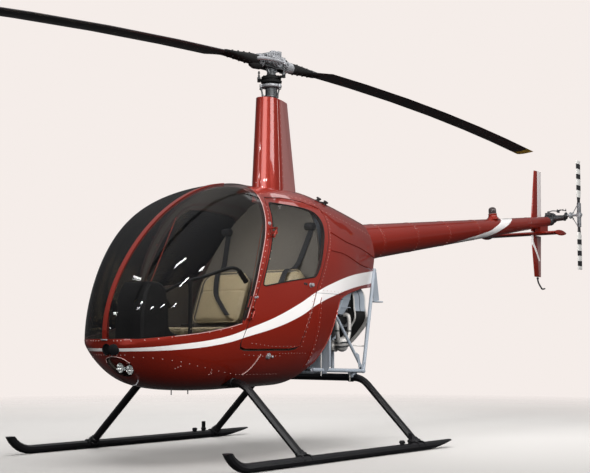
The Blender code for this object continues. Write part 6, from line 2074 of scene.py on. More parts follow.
def tail_rotor(steel):
    """Shaft, yoke, links and banded blades."""
    x, y, z = TAIL_HUB
    bm = bmesh.new()
    rod(bm, (x, -0.182, z), (x, y - 0.030, z), 0.0120, 20)
    lathe(bm, (x, -0.205, z), (0, -1, 0), [(0, 0.014), (0.002, 0.030), (0.010, 0.034),
                                           (0.016, 0.030), (0.022, 0.016)], 24)
    for way in (-1, 1):
        block(bm, (x - 0.026, y - 0.011, min(z + way * 0.015, z + way * 0.118)),
              (x + 0.026, y - 0.005, max(z + way * 0.015, z + way * 0.118)), 0.002)
        block(bm, (x - 0.026, y + 0.005, min(z + way * 0.015, z + way * 0.118)),
              (x + 0.026, y + 0.011, max(z + way * 0.015, z + way * 0.118)), 0.002)
        for far in (0.080, 0.105):
            rod(bm, (x, y - 0.016, z + way * far), (x, y + 0.016, z + way * far), 0.0070, 6)
        sweep(bm, [(x + 0.026, -0.218, z + way * 0.004), (x + 0.036, -0.225, z + way * 0.030)],
              0.0050, 10, 1)
        sweep(bm, [(x + 0.036, -0.225, z + way * 0.030), (x + 0.037, y + 0.018, z + way * 0.128)],
              0.0042, 10, 1)
        sweep(bm, [(x + 0.037, y + 0.018, z + way * 0.128), (x + 0.020, y + 0.002,
                                                            z + way * 0.135)], 0.0055, 10, 1)
        for place in ((x + 0.036, -0.225, z + way * 0.030), (x + 0.038, y + 0.018,
                                                            z + way * 0.128)):
            lathe(bm, Vector(place) - Vector((0.008, 0, 0)), (1, 0, 0),
                  [(0, 0.0), (0.002, 0.007), (0.008, 0.0085), (0.014, 0.007), (0.016, 0.0)], 12)
    block(bm, (x - 0.020, y - 0.020, z - 0.024), (x + 0.020, y + 0.020, z + 0.024), 0.005)
    lathe(bm, (x, y - 0.020, z), (0, -1, 0), [(0, 0.015), (0.006, 0.015), (0.007, 0.009),
                                              (0.009, 0.009), (0.0095, 0.0)], 6)
    piece("tail_rotor_hub.yoke", bm, steel, "tail_rotor", ["tail_rotor_hub"])

    finish = banded_blade()
    for way, name in ((-1, "a"), (1, "b")):
        bm = bmesh.new()
        rings = []
        for s, chord, deep, share in ((0.1005, 0.046, 0.34, 0.7), (0.104, 0.050, 0.36, 1.0),
                                      (0.15, 0.060, 0.30, 1.0), (0.175, 0.080, 0.18, 1.0),
                                      (0.20, 0.095, 0.13, 1.0), (0.36, 0.095, 0.13, 1.0),
                                      (0.524, 0.095, 0.13, 1.0), (0.531, 0.094, 0.13, 0.7),
                                      (0.533, 0.090, 0.13, 0.25)):
            rings.append([(x + (run - chord / 2) * 0.995, y + rise * share, z + way * s)
                          for run, rise in aerofoil(chord, deep, 12)])
        loft(bm, rings)
        piece("tail_blade_%s.shell" % name, bm, finish, "tail_rotor",
              ["tail_blade_" + name], 50)


def banded_blade():
    """Black and white bands by the distance from the tail rotor's axis."""
    graph = Graph("tail_blade_bands")
    graph.set(coat_weight=0.3, coat_roughness=0.1)
    away = graph.calc('ABSOLUTE', graph.calc('SUBTRACT', graph.axes()[2], TAIL_HUB[2]))
    share = 0.0
    for number, edge in enumerate((0.17, 0.24, 0.29, 0.35, 0.40, 0.45, 0.50)):
        step = graph.span(away, edge - 0.001, edge + 0.001)
        share = graph.calc('SUBTRACT' if number % 2 else 'ADD', share, step)
    fine = graph.noise(60.0, 3.0)
    white = graph.mix(fine, (0.74, 0.73, 0.70), (0.86, 0.85, 0.82))
    dark = graph.mix(fine, (0.012, 0.012, 0.013), (0.026, 0.026, 0.028))
    graph.color(graph.mix(share, dark, white))
    graph.rough(graph.span(fine, 0.3, 0.7, 0.36, 0.48))
    graph.bump(fine, 0.05, 0.0003)
    return graph.material


def landing_gear(black, steel):
    """Collars and saddles at the skids, wear shoes, end caps and tube covers at the belly."""
    collars, shoes = bmesh.new(), bmesh.new()
    for side in (-1, 1):
        foot = Vector((0, side * 0.935, 0.0285))
        for x, elbow in ((-0.806, (0.444, 0.475)), (0.440, (0.465, 0.480))):
            base = Vector((x, foot.y, foot.z))
            up = (Vector((x, side * elbow[0], elbow[1])) - base).normalized()
            lathe(collars, base + up * 0.018, up,
                  [(0, 0.029), (0.002, 0.036), (0.020, 0.036), (0.024, 0.031), (0.046, 0.0295),
                   (0.050, 0.0262)], 24)
            for shift in (-0.036, 0.036):
                lathe(collars, (x + shift - 0.007, foot.y - side * 0.0042, foot.z + 0.0042),
                      (1, 0, 0),
                      [(0, 0.0286), (0.001, 0.0325), (0.013, 0.0325), (0.014, 0.0286)], 28)
                lathe(collars, (x + shift, foot.y - side * 0.030, 0.046), (0, -side, 0.4),
                      [(0, 0.0065), (0.009, 0.0065), (0.010, 0.0045), (0.014, 0.0045)], 6)
            for way in (-1, 1):
                lathe(collars, base + up * 0.046 + Vector((way * 0.024, 0, 0)), (way, 0, 0),
                      [(0, 0.0055), (0.008, 0.0055), (0.009, 0.004)], 6)
            bend = Vector((x, side * (elbow[0] - 0.075), elbow[1]))
            lathe(collars, bend, (0, -side, 0), [(0, 0.0258), (0.002, 0.0310), (0.034, 0.0310),
                                                 (0.036, 0.0258)], 24)
        for x in (-0.806, 0.370):
            outline = rounded(0.30, 0.034, (0.012,) * 4, 4)
            slab(shoes, [(x + a, side * 0.935 + b) for a, b in outline], 0.0, 0.0065, 'Z',
                 0.0015)
            for k in range(5):
                lathe(shoes, (x - 0.12 + 0.06 * k, side * 0.935, 0.0055), (0, 0, 1),
                      [(0, 0.011), (0.010, 0.010), (0.012, 0.007)], 12)
        for x in (0.232, 0.330):
            low, high = sorted((foot.y - 0.010, foot.y + 0.010))
            block(collars, (x - 0.016, low, 0.050), (x + 0.016, high, 0.082), 0.004)
            lathe(collars, (x, foot.y - 0.019, 0.070), (0, 1, 0),
                  [(0, 0.0), (0, 0.008), (0.004, 0.009), (0.034, 0.009), (0.038, 0.008),
                   (0.038, 0.0)], 14)
    piece("skid_collars.clamps", collars, black, "airframe")
    piece("skid_shoes.plates", shoes, steel, "airframe")


# ---------------------------------------------------------------- cabin

CUSHION_VOXEL = 0.006
CUSHION_FRAMES = 20
CUSHION_CROWN = 0.010
BELT_WIDTH = 0.046
BELT_THICKNESS = 0.0018


def bulkhead_x(z):
    """Front face of the slanted bulkhead behind the seats, at height z."""
    return BULKHEAD_FOOT[0] + BULKHEAD_SLOPE * (z - BULKHEAD_FOOT[1])


def slant(out, y, up, foot_z):
    """A point in front of the bulkhead: out from it, and up along it from a height."""
    length = math.hypot(1.0, BULKHEAD_SLOPE)
    rise = Vector((BULKHEAD_SLOPE, 0, 1)) / length
    front = Vector((-1, 0, BULKHEAD_SLOPE)) / length
    return Vector((bulkhead_x(foot_z), y, foot_z)) + rise * up + front * out


def rounded(width, height, corners, steps=6):
    """A rectangle about its middle, with a radius for each corner from low left round."""
    a, b = width / 2, height / 2
    line = []
    for k, (sx, sy, start) in enumerate(((-1, -1, 180), (1, -1, 270), (1, 1, 0), (-1, 1, 90))):
        r = corners[k]
        for i in range(steps + 1):
            angle = math.radians(start + 90 * i / steps)
            line.append((sx * (a - r) + r * math.cos(angle), sy * (b - r) + r * math.sin(angle)))
    return line


def swell(obj, cap):
    """Blows a closed mesh up a little under its own pressure, as stuffing does."""
    mesh = obj.data
    count = len(mesh.vertices)
    rest = np.zeros(count * 3)
    mesh.vertices.foreach_get("co", rest)
    rest = rest.reshape(-1, 3)
    cloth = obj.modifiers.new("stuffing", 'CLOTH')
    cloth.settings.use_pressure = True
    cloth.settings.uniform_pressure_force = 4.0
    cloth.settings.effector_weights.gravity = 0.0
    cloth.settings.mass = 0.3
    cloth.settings.tension_stiffness = 15
    cloth.settings.compression_stiffness = 15
    cloth.settings.bending_stiffness = 0.5
    scene = bpy.context.scene
    for number in range(1, CUSHION_FRAMES + 1):
        scene.frame_set(number)
    graph = bpy.context.evaluated_depsgraph_get()
    moved = np.zeros(count * 3)
    obj.evaluated_get(graph).data.vertices.foreach_get("co", moved)
    shift = moved.reshape(-1, 3) - rest
    length = np.linalg.norm(shift, axis=1, keepdims=True)
    shift *= np.minimum(1.0, cap / np.maximum(length, 1e-9))
    obj.modifiers.clear()
    scene.frame_set(1)
    mesh.vertices.foreach_set("co", (rest + shift).ravel())
    mesh.update()


def cushion(name, rings, finish, replaces, cap, channels):
    """A padded piece: closed rings remeshed evenly, swollen, then pressed in along seams."""
    bm = bmesh.new()
    loft(bm, rings)
    bmesh.ops.triangulate(bm, faces=bm.faces)
    bmesh.ops.recalc_face_normals(bm, faces=bm.faces)
    mesh = bpy.data.meshes.new(name)
    bm.to_mesh(mesh)
    bm.free()
    obj = bpy.data.objects.new(name, mesh)
    bpy.context.scene.collection.objects.link(obj)
    even = obj.modifiers.new("even", 'REMESH')
    even.mode = 'VOXEL'
    even.voxel_size = CUSHION_VOXEL
    applied(obj)
    swell(obj, cap)
    fine = obj.modifiers.new("fine", 'SUBSURF')
    fine.levels = 1
    applied(obj)
    press(obj.data, channels)
    obj.data.transform(Matrix.Translation((MAST_X, 0, 0)))
    obj.data.materials.append(finish)
    obj.data.shade_smooth()
    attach(obj, "airframe")
    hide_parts(*replaces)
    return obj


def applied(obj):
    """Stores the result of an object's modifiers in its own mesh."""
    bpy.context.view_layer.update()
    graph = bpy.context.evaluated_depsgraph_get()
    mesh = bpy.data.meshes.new_from_object(obj.evaluated_get(graph))
    obj.modifiers.clear()
    obj.data = mesh


def press(mesh, channels):
    """Presses sewn channels in: each is (point, direction across it, width, depth)."""
    count = len(mesh.vertices)
    co = np.zeros(count * 3)
    mesh.vertices.foreach_get("co", co)
    co = co.reshape(-1, 3)
    normals = np.zeros(count * 3)
    mesh.vertices.foreach_get("normal", normals)
    normals = normals.reshape(-1, 3)
    for point, across, width, depth in channels:
        across = np.array(Vector(across).normalized())
        away = (co - np.array(point)) @ across
        co -= normals * (depth * np.exp(-(away / width) ** 2))[:, None]
    mesh.vertices.foreach_set("co", co.ravel())
    mesh.update()


def seats(cover, belt, buckle):
    """Sewn backrests and cushions with their piping, and the belts."""
    for side, word in ((-1, "left"), (1, "right")):
        y = side * SEAT_Y
        low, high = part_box("seat_back_" + word)
        wide = high.y - low.y
        foot = low.z + 0.012
        tall = (high.z - foot) * math.hypot(1.0, BULKHEAD_SLOPE) - 0.032
        outline = rounded(wide - 0.020, tall, (0.045, 0.045, 0.095, 0.095))
        middle = tall / 2
        rings = []
        for out, shrink in ((0.006, 0.010), (0.012, 0.0), (0.048, 0.0), (0.058, 0.012)):
            ring = [slant(out, y + a * (1 - 2 * shrink / wide),
                          middle + b * (1 - 2 * shrink / tall), foot) for a, b in outline]
            rings.append(ring)
        seam = slant(0.03, y, tall * 0.62, foot)
        up = slant(0, y, 1, foot) - slant(0, y, 0, foot)
        cushion("seat_back_%s.cover" % word, rings, cover, ["seat_back_" + word], CUSHION_CROWN,
                [(seam, up, 0.006, 0.004)])
        bm = bmesh.new()
        sweep(bm, [slant(0.060, y + a * 0.985, middle + b * 0.985, foot) for a, b in outline],
              0.0032, 8, 1, closed=True)
        piece("seat_back_%s.piping" % word, bm, cover, "airframe")

        low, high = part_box("seat_cushion_" + word)
        centre = (low + high) / 2
        outline = rounded(high.x - low.x - 0.020, high.y - low.y - 0.020,
                          (0.035, 0.035, 0.035, 0.035))
        rings = []
        for z, shrink in ((low.z + 0.002, 0.010), (low.z + 0.012, 0.0), (high.z - 0.022, 0.0),
                          (high.z - 0.012, 0.012)):
            scale = 1 - 4 * shrink
            rings.append([(centre.x - MAST_X + a * scale, centre.y + b * scale, z)
                          for a, b in outline])
        cushion("seat_cushion_%s.cover" % word, rings, cover,
                ["seat_cushion_" + word], CUSHION_CROWN,
                [((centre.x - MAST_X - 0.09, 0, 0), (1, 0, 0), 0.006, 0.004)])
        bm = bmesh.new()
        sweep(bm, [(centre.x - MAST_X + a, centre.y + b, high.z - 0.016) for a, b in outline],
              0.0032, 8, 1, closed=True)
        piece("seat_cushion_%s.piping" % word, bm, cover, "airframe")
        belts(side, word, belt, buckle)


def strap(bm, points, width, thick, across):
    """A flat strip along a smooth line, its width across a fixed direction."""
    line = flowing(points, 6)
    across = Vector(across).normalized() * width / 2
    rings = []
    for i, place in enumerate(line):
        run = line[min(i + 1, len(line) - 1)] - line[max(i - 1, 0)]
        lift = run.cross(across).normalized() * thick / 2
        rings.append([place - across - lift, place + across - lift, place + across + lift,
                      place - across + lift])
    loft(bm, rings)


def seat_rim(z, shrink=0.0):
    """Outline of the seat base at one height, inside the cabin's skin: (x, y) points."""
    front, rear = -0.855 + shrink, bulkhead_x(z) - 0.006 - shrink
    right = []
    for x in np.linspace(front, rear, 14):
        right.append((float(x), min(0.50, skin_y(float(x), z) - 0.030) - shrink))
    right[0] = (front, right[0][1] - 0.014)
    right.insert(1, (front + 0.006, right[1][1] - 0.003))
    return right + [(x, -y) for x, y in reversed(right)]


def seat_box(cover):
    """The upholstered box under both cushions, with its piping and front panels."""
    low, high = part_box("seat_base")
    bm = bmesh.new()
    rings = []
    for z, shrink in ((low.z + 0.001, 0.004), (low.z + 0.006, 0.0), (high.z - 0.010, 0.0),
                      (high.z - 0.003, 0.003), (high.z, 0.011)):
        rings.append([(x, y, z) for x, y in seat_rim(z, shrink)])
    loft(bm, rings)
    piece("seat_base.box", bm, cover, "airframe", ["seat_base"])
    bm = bmesh.new()
    front = -0.855
    for z in (high.z - 0.007, low.z + 0.012):
        sweep(bm, [(x, y, z) for x, y in seat_rim(z)], 0.0030, 8, 1, closed=True)
    for y in (-0.02, 0.02):
        sweep(bm, [(front - 0.0005, y, low.z + 0.012), (front - 0.0005, y, high.z - 0.007)],
              0.0026, 8, 1)
    piece("seat_base.piping", bm, cover, "airframe")
    bm = bmesh.new()
    for side in (-1, 1):
        y = side * SEAT_Y
        outline = [(y + a, (low.z + high.z) / 2 + b) for a, b in
                   rounded(0.30, (high.z - low.z) * 0.55, (0.015,) * 4, 4)]
        slab(bm, outline, front - 0.0040, front + 0.002, 'X', 0.0015)
        for a in (-0.13, 0.13):
            lathe(bm, (front - 0.003, y + a, high.z - 0.045), (-1, 0, 0),
                  [(0, 0.006), (0.003, 0.006), (0.004, 0.003), (0.004, 0.0)], 12)
    piece("seat_base.panels", bm, cover, "airframe")


def belts(side, word, finish, buckle):
    """Shoulder belt over the backrest from its reel on the bulkhead, and the lap belts."""
    y = side * SEAT_Y
    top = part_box("seat_back_" + word)[1].z
    out_y = side * (abs(y) + 0.135)
    bm = bmesh.new()
    strap(bm, [slant(0.004, out_y, 0.29, top), slant(0.005, out_y - side * 0.02, 0.16, top),
               slant(0.010, out_y - side * 0.04, 0.04, top),
               slant(0.040, out_y - side * 0.05, -0.006, top - 0.01),
               slant(0.082, out_y - side * 0.07, -0.05, top),
               slant(0.086, y + side * 0.03, -0.20, top),
               slant(0.090, y - side * 0.06, -0.30, top),
               slant(0.110, y - side * 0.15, -0.375, top)], BELT_WIDTH, BELT_THICKNESS, (0, 1, 0))
    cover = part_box("seat_cushion_" + word)[1].z + 0.004
    for way in (-1, 1):
        strap(bm, [(x, y + way * aside, cover + lift) for x, aside, lift in
                   ((-0.360, 0.200, -0.01), (-0.42, 0.185, 0.006), (-0.50, 0.130, 0.006),
                    (-0.56, 0.060, 0.007), (-0.58, 0.020, 0.009))], BELT_WIDTH, BELT_THICKNESS,
              (1, 0.9 * way, 0))
    piece("seat_belt_%s.webbing" % word, bm, finish, "airframe")
    bm = bmesh.new()
    block(bm, (-0.615, y - 0.035, cover + 0.004), (-0.555, y + 0.035, cover + 0.020), 0.004)
    reel = slant(0.027, out_y, 0.30, top)
    lathe(bm, reel - Vector((0, 0.035, 0)), (0, 1, 0), [(0, 0.0), (0, 0.022), (0.003, 0.025),
                                                        (0.067, 0.025), (0.07, 0.022), (0.07, 0.0)],
          20)
    piece("seat_belt_%s.buckle" % word, bm, buckle, "airframe")


def controls(black, rubber):
    """The T-bar stick with its two grips, and the pedals."""
    bm = bmesh.new()
    column_x = -0.815
    foot = SEAT_TOP + 0.0005
    lathe(bm, (column_x, 0, foot), (0, 0, 1), [(0, 0.0155), (0.010, 0.0165), (0.014, 0.0140),
                                               (0.110, 0.0130), (0.350, 0.0125),
                                               (0.362, 0.018), (0.392, 0.018),
                                               (0.396, 0.012)], 20)
    ends = ((-1, 1.198, 1.118), (1, 1.052, 0.972))
    for side, z, grip_z in ends:
        sweep(bm, [(column_x, 0, 1.125), (column_x + 0.015, side * 0.12, (1.125 * 2 + z) / 3),
                   (-0.765, side * 0.28, z + side * 0.004), (-0.745, side * 0.325, z - 0.004),
                   (-0.725, side * 0.338, z - 0.022)], 0.0115, 14, 6)
    piece("cyclic_control.bar", bm, black, "airframe", ["cyclic_control"])
    bm = bmesh.new()
    for side, z, grip_z in ends:
        start = Vector((-0.727, side * 0.338, z - 0.018))
        lathe(bm, start, (Vector((-0.665, side * 0.340, grip_z)) - start),
              [(0, 0.011), (0.004, 0.017), (0.020, 0.0155), (0.032, 0.018), (0.045, 0.0155),
               (0.058, 0.018), (0.072, 0.0155), (0.088, 0.018), (0.098, 0.016), (0.104, 0.0)], 18)
    piece("cyclic_grips.rubber", bm, rubber, "airframe")

    for side, word in ((-1, "left"), (1, "right")):
        low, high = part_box("pedals_" + word)
        pedal_x = (low.x + high.x) / 2 - MAST_X
        bm = bmesh.new()
        ys = [side * 0.163, side * 0.234]
        rod(bm, (pedal_x - 0.010, ys[0] - side * 0.02, 0.575),
            (pedal_x - 0.010, ys[1] + side * 0.02, 0.575), 0.008, 12)
        for y in ys:
            block(bm, (pedal_x - 0.002, y - 0.010, FLOOR_TOP + 0.0005),
                  (pedal_x + 0.026, y + 0.010, FLOOR_TOP + 0.010), 0.002)
            sweep(bm, [(pedal_x + 0.012, y, FLOOR_TOP + 0.004), (pedal_x - 0.010, y, 0.575),
                       (pedal_x - 0.022, y, 0.660)], 0.0075, 10, 4)
            block(bm, (pedal_x - 0.030, y - 0.028, 0.612), (pedal_x - 0.018, y + 0.028, 0.694),
                  0.005)
            for k in range(5):
                z = 0.619 + k * 0.0145
                block(bm, (pedal_x - 0.0185, y - 0.024, z),
                      (pedal_x - 0.0155, y + 0.024, z + 0.007), 0.001)
        piece("pedals_%s.pads" % word, bm, black, "airframe",
              ["pedals_" + word])


def console(body_finish, dial, white):
    """The instrument pedestal, with its panel of round dials, knobs and switches."""
    bm = bmesh.new()
    profile = flowing([(-1.335, 0.5256), (-1.362, 0.70), (-1.362, 0.86), (-1.345, 1.00),
                       (-1.300, 1.088), (-1.245, 1.096), (-1.180, 1.078), (-1.150, 1.00),
                       (-1.128, 0.86), (-1.110, 0.800), (-1.030, 0.768), (-1.000, 0.74),
                       (-0.990, 0.5256)], 4)
    slab(bm, [tuple(p) for p in profile], -0.122, 0.122, 'Y', 0.014)
    piece("instrument_console.pod", bm, body_finish, "airframe",
          ["instrument_console"])

    tilt = math.radians(8.5)
    base = Vector((-1.1385, 0, 0.965))
    out = Vector((math.cos(tilt), 0, math.sin(tilt)))
    rise = Vector((-math.sin(tilt), 0, math.cos(tilt)))
    plate = bmesh.new()
    corners = rounded(0.216, 0.205, (0.02,) * 4)
    rings = []
    for lift, shrink in ((-0.010, 1.0), (0.003, 1.0), (0.005, 0.985)):
        rings.append([base + out * lift + Vector((0, a * shrink, 0)) + rise * (b * shrink)
                      for a, b in corners])
    loft(plate, rings)
    piece("instrument_panel.plate", plate, body_finish, "airframe")
    bezels, faces, needles = bmesh.new(), bmesh.new(), bmesh.new()
    for row, up in enumerate((0.066, 0.0, -0.066)):
        for column in (-1, 0, 1):
            centre = base + rise * up + Vector((0, column * 0.068, 0)) + out * 0.005
            lathe(bezels, centre, out, [(0, 0.031), (0.005, 0.031), (0.007, 0.029),
                                        (0.0065, 0.0265), (0.001, 0.0265)], 28)
            lathe(faces, centre, out, [(0.0, 0.0266), (0.0018, 0.0266)], 28)
            for k in range(12):
                angle = 2 * math.pi * k / 12
                spoke = rise * math.cos(angle) + Vector((0, math.sin(angle), 0))
                mark_at = centre + out * 0.002 + spoke * 0.0215
                lathe(needles, mark_at, out, [(0, 0.0011), (0.0006, 0.0011)], 6)
            angle = 0.9 * column + row * 1.3 + 0.4
            spoke = rise * math.cos(angle) + Vector((0, math.sin(angle), 0))
            sweep(needles, [centre + out * 0.003 - spoke * 0.004, centre + out * 0.003
                            + spoke * 0.019], [0.0012, 0.0005], 6, 1)
    piece("instrument_bezels.rings", bezels, body_finish, "airframe")
    piece("instrument_dials.faces", faces, dial, "airframe")
    piece("instrument_dials.marks", needles, white, "airframe")


# ---------------------------------------------------------------- stage, light and camera

def camera():
    """The photograph's camera, in the part's own frame."""
    data = bpy.data.cameras.new("photo camera")
    data.lens = CAMERA_LENS
    data.sensor_width = SENSOR_WIDTH
    data.sensor_fit = 'HORIZONTAL'
    data.clip_end = 200.0
    yaw, pitch, roll = (math.radians(v) for v in (CAMERA_YAW, CAMERA_PITCH, CAMERA_ROLL))
    forward = Vector((math.cos(yaw) * math.cos(pitch), math.sin(yaw) * math.cos(pitch),
                      math.sin(pitch)))
    right = forward.cross(Vector((0, 0, 1))).normalized()
    up = right.cross(forward)
    turned = Matrix((right, up, -forward)).transposed().to_4x4()
    obj = bpy.data.objects.new("photo camera", data)
    bpy.context.scene.collection.objects.link(obj)
    obj.matrix_world = (Matrix.Translation(CAMERA_PLACE) @ turned
                        @ Matrix.Rotation(-roll, 4, 'Z'))
    bpy.context.scene.camera = obj


def area_light(name, place, target, size, power, color=(1, 1, 1)):
    """A rectangular light that the camera doesn't see."""
    data = bpy.data.lights.new(name, 'AREA')
    data.shape = 'RECTANGLE'
    data.size, data.size_y = size
    data.energy = power
    data.color = color
    obj = bpy.data.objects.new(name, data)
    bpy.context.scene.collection.objects.link(obj)
    place, target = Vector(place), Vector(target)
    obj.location = place
    obj.rotation_mode = 'QUATERNION'
    obj.rotation_quaternion = (target - place).to_track_quat('-Z', 'Y')
    obj.visible_camera = False
    return obj


def stage():
    """Pale floor that fades into a pale world, and the lights."""
    bm = bmesh.new()
    loft(bm, [[(-60, -60, 0), (60, -60, 0)], [(-60, 60, 0), (60, 60, 0)]], caps=False,
         closed=False)
    mesh = bpy.data.meshes.new("floor")
    bm.to_mesh(mesh)
    bm.free()
    mesh.materials.append(floor_finish())
    floor = bpy.data.objects.new("floor", mesh)
    bpy.context.scene.collection.objects.link(floor)
    studio_world()
    shown = []
    for name, place, target, size, power, mirrored in STUDIO_LIGHTS:
        light = area_light(name, place, target, size, power, LIGHT_COLOR.get(name, (1, 1, 1)))
        light.visible_glossy = mirrored
        if mirrored:
            shown.append(light)
    spare_panes(shown)
    for number, (place, target, wide, tall, bright) in enumerate(HALL_LAMPS):
        place, target = (Vector(p) + Vector((MAST_X, 0, 0)) for p in (place, target))
        lamp = area_light("hall lamp %d" % number, place, target, (wide, tall),
                          bright * LAMP_LEVEL * wide * tall * math.pi)
        lamp.visible_diffuse = False
        lamp.visible_transmission = False


def spare_panes(lights):
    """The wide studio lights leave no mirror image of themselves in the glass."""
    spared = bpy.data.collections.new("panes")
    for obj in bpy.data.objects:
        if obj.name.endswith(".pane"):
            spared.objects.link(obj)
    for item in spared.collection_objects:
        item.light_linking.link_state = 'EXCLUDE'
    for light in lights:
        light.light_linking.receiver_collection = spared


def floor_finish():
    """Pale, slightly glossy floor, darker towards the camera's side as painted shade; to rays other
    than the camera's it is near black. Far off, it lets the world through.
    """
    graph = Graph("floor_pale")
    path = graph.tree.nodes.new("ShaderNodeLightPath")
    cloud = graph.noise(0.5, 3.0)
    pale = graph.mix(cloud, (0.545, 0.530, 0.512), (0.590, 0.573, 0.555))
    x, y, _ = graph.axes()
    # Painted shade: the floor grows darker towards the camera's side
    floor_shade_run = graph.calc('ADD', graph.calc('MULTIPLY', x, -0.78), graph.calc('MULTIPLY', y, -0.62))
    pale = graph.mix(graph.span(floor_shade_run, -0.6, 2.4), pale, (0.335, 0.327, 0.316))
    graph.color(graph.mix(path.outputs["Is Camera Ray"], (0.03, 0.03, 0.03), pale))
    graph.rough(graph.span(cloud, 0.3, 0.7, 0.60, 0.75))
    graph.set(specular_ior_level=0.0)
    reach = graph.calc('SQRT', graph.calc('ADD', graph.calc('MULTIPLY', x, x),
                                          graph.calc('MULTIPLY', y, y)))
    graph.feed(graph.span(reach, 3.4, 8.4, 1.0, 0.0), graph.shader.inputs["Alpha"])
    return graph.material


def studio_world():
    """What the camera sees is pale, except through the glass, where it is near black as painted
    shade; what surfaces reflect is a dim room, lighter above.
    """
    world = bpy.data.worlds.new("studio")
    world.use_nodes = True
    bpy.context.scene.world = world
    tree = world.node_tree
    back = tree.nodes["Background"]
    where = tree.nodes.new("ShaderNodeTexCoord")
    split = tree.nodes.new("ShaderNodeSeparateXYZ")
    tree.links.new(where.outputs["Generated"], split.inputs[0])
    ramp = tree.nodes.new("ShaderNodeValToRGB")
    shift = tree.nodes.new("ShaderNodeMapRange")
    for value, socket in zip((-1.0, 1.0, 0.0, 1.0), list(shift.inputs)[1:5]):
        socket.default_value = value
    tree.links.new(split.outputs[2], shift.inputs[0])
    tree.links.new(shift.outputs[0], ramp.inputs[0])
    stops = [(0.0, 0.02), (0.49, 0.035), (0.53, 0.13), (0.62, 0.10), (0.80, 0.22), (1.0, 0.42)]
    for place, level in stops[1:-1]:
        ramp.color_ramp.elements.new(place)
    for knot, (place, level) in zip(ramp.color_ramp.elements, stops):
        knot.position = place
        knot.color = (level, level, level * 1.02, 1.0)
    path = tree.nodes.new("ShaderNodeLightPath")

    def calc(operation, *values):
        node = tree.nodes.new("ShaderNodeMath")
        node.operation = operation
        for value, socket in zip(values, node.inputs):
            if isinstance(value, float):
                socket.default_value = value
            else:
                tree.links.new(value, socket)
        return node.outputs[0]

    below = calc('LESS_THAN', split.outputs[2], 0.0)
    panes = calc('SUBTRACT', path.outputs["Transparent Depth"], below)
    open_air = calc('LESS_THAN', panes, 0.5)
    seen = calc('MULTIPLY', path.outputs["Is Camera Ray"], open_air)
    mix = tree.nodes.new("ShaderNodeMix")
    mix.data_type = 'RGBA'
    colors = [s for s in mix.inputs if s.type == 'RGBA']
    tree.links.new(seen, mix.inputs["Factor"])
    # Through the glass the camera sees near black: painted shade
    hidden = calc('MULTIPLY', path.outputs["Is Camera Ray"], calc('SUBTRACT', 1.0, open_air))
    dusk = tree.nodes.new("ShaderNodeMix")
    dusk.data_type = 'RGBA'
    dusk_colors = [s for s in dusk.inputs if s.type == 'RGBA']
    tree.links.new(hidden, dusk.inputs["Factor"])
    tree.links.new(ramp.outputs[0], dusk_colors[0])
    dusk_colors[1].default_value = (0.006, 0.006, 0.007, 1.0)
    tree.links.new(next(s for s in dusk.outputs if s.type == 'RGBA'), colors[0])
    colors[1].default_value = (0.913, 0.847, 0.815, 1.0)
    tree.links.new(next(s for s in mix.outputs if s.type == 'RGBA'), back.inputs["Color"])


def carried(finishes):
    """Better materials for the solids that stay as they are."""
    for names, finish in finishes:
        for name in names:
            node = frame["nodes"][name]
            node.data.materials.clear()
            node.data.materials.append(finish)


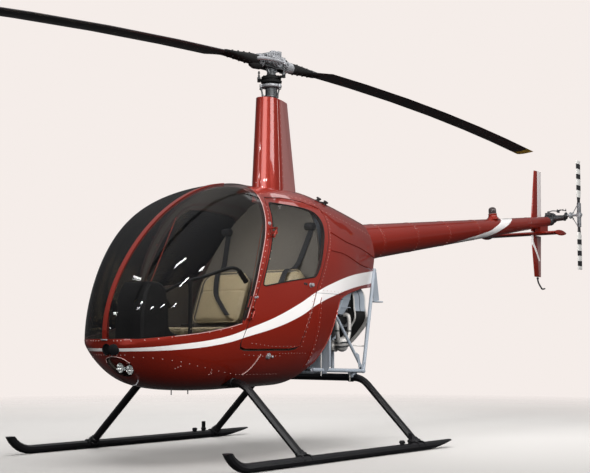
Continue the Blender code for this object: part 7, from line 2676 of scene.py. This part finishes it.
def main():
    paints = {"hull": paint("paint_hull", hull_stripe), "plain": paint("paint_plain"),
              "cone": paint("paint_cone", cone_stripe),
              "upper_fin": paint("paint_upper_fin", upper_fin_painted_reflection),
              "lower_fin": paint("paint_lower_fin", lower_fin_stripe_and_sheen)}
    glass_screen = tinted("glass_screen", 0.34)
    glass_door = tinted("glass_door", 0.28)
    fuselage(paints, glass_screen, glass_door)
    black = plain("black_tube", (0.007, 0.007, 0.008), 0.36, 0.0, 0.15, 260.0, 0.02)
    steel = plain("steel_grey", (0.40, 0.41, 0.43), 0.45, 0.55, 0.2, 140.0, 0.2)
    plastic = plain("plastic_black", (0.018, 0.018, 0.019), 0.55, 0.0, 0.25, 400.0, 0.3)
    grey = plain("frame_grey", (0.34, 0.38, 0.43), 0.42, 0.1, 0.12, 120.0, 0.15)
    lining = leather("lining_brown", (0.095, 0.084, 0.068))
    olive = leather("seat_olive", (0.33, 0.265, 0.155))
    blade = blade_finish()
    carried([
        (["stabilizer_bracket"], paints["plain"]),
        (["skid_left", "skid_right", "cross_tube_front", "cross_tube_rear"], black),
        (["mast_tube", "rotor_shaft"], plain("mast_dark", (0.09, 0.095, 0.10), 0.45, 0.6, 0.3,
                                             120.0, 0.2)),
        (["main_blade_fore", "main_blade_aft"], blade),
        (["cabin_floor"], plastic),
        (["cabin_bulkhead"], lining),
    ])
    linings(plain("trim_dark", (0.040, 0.035, 0.030), 0.75, 0.0, 0.2, 300.0, 0.4))
    plate = keep(skin("lamp plate", 0.0015, -0.040), lamp_opening())
    panel("lamp_pocket.plate", plate, paints["plain"], "airframe", "red_paint")
    dark_steel = plain("steel_dark", (0.12, 0.125, 0.13), 0.42, 0.8, 0.3, 120.0, 0.2)
    pale_steel = plain("exhaust_pale", (0.70, 0.68, 0.65), 0.44, 0.40, 0.22, 90.0, 0.2)
    cast = plain("cast_engine", (0.16, 0.165, 0.17), 0.55, 0.55, 0.35, 70.0, 0.35)
    rubber = dull(plain("rubber_black", (0.012, 0.012, 0.012), 0.7, 0.0, 0.25, 500.0, 0.3), 0.25)
    webbing = plain("webbing_black", (0.02, 0.02, 0.022), 0.85, 0.0, 0.3, 700.0, 0.6,
                    stretch=(1, 0.2, 1))
    white = plain("dial_white", (0.75, 0.75, 0.72), 0.5, drift=0.05)
    # Rivet heads are pale pink: a painted highlight of the domed heads
    rivet = plain("rivet_painted_highlight", (0.62, 0.36, 0.33), 0.28, 0.25, 0.15, 200.0, 0.1)
    # Pale pink edges, fairing seams and screws: painted highlights on red paint
    highlight_edge = plain("edge_painted_highlight", (0.62, 0.42, 0.40), 0.30, 0.1, 0.2, 60.0, 0.1)
    chrome = plain("lamp_chrome", (0.80, 0.82, 0.82), 0.12, 1.0, 0.1, 60.0, 0.1)
    lens = tinted("lamp_glass", 0.25, (0.80, 0.88, 0.85))
    rivets(rivet)
    beads(paints["plain"], highlight_edge, rubber)
    hinges(paints["plain"], steel)
    latches(steel, plastic)
    nose_fittings(chrome, lens, plastic, steel)
    top_fittings(plastic)
    rotor_head(steel, rubber, dark_steel)
    engine(cast, pale_steel, dark_steel, grey, rubber)
    bay_frame(grey, pale_steel)
    firewall_sheet(grey, rivet)
    tail(paints, dark_steel, rivet)
    tail_rotor(steel)
    landing_gear(black, dark_steel)
    seats(olive, webbing, plastic)
    seat_box(olive)
    fairing(paint("paint_fairing", fairing_rear_painted_sheen), highlight_edge)
    controls(plastic, rubber)
    console(plastic, rubber, white)
    stage()
    camera()
    bpy.context.scene.view_settings.view_transform = 'Standard'
    for obj in TOOLS:
        bpy.data.objects.remove(obj)


main()
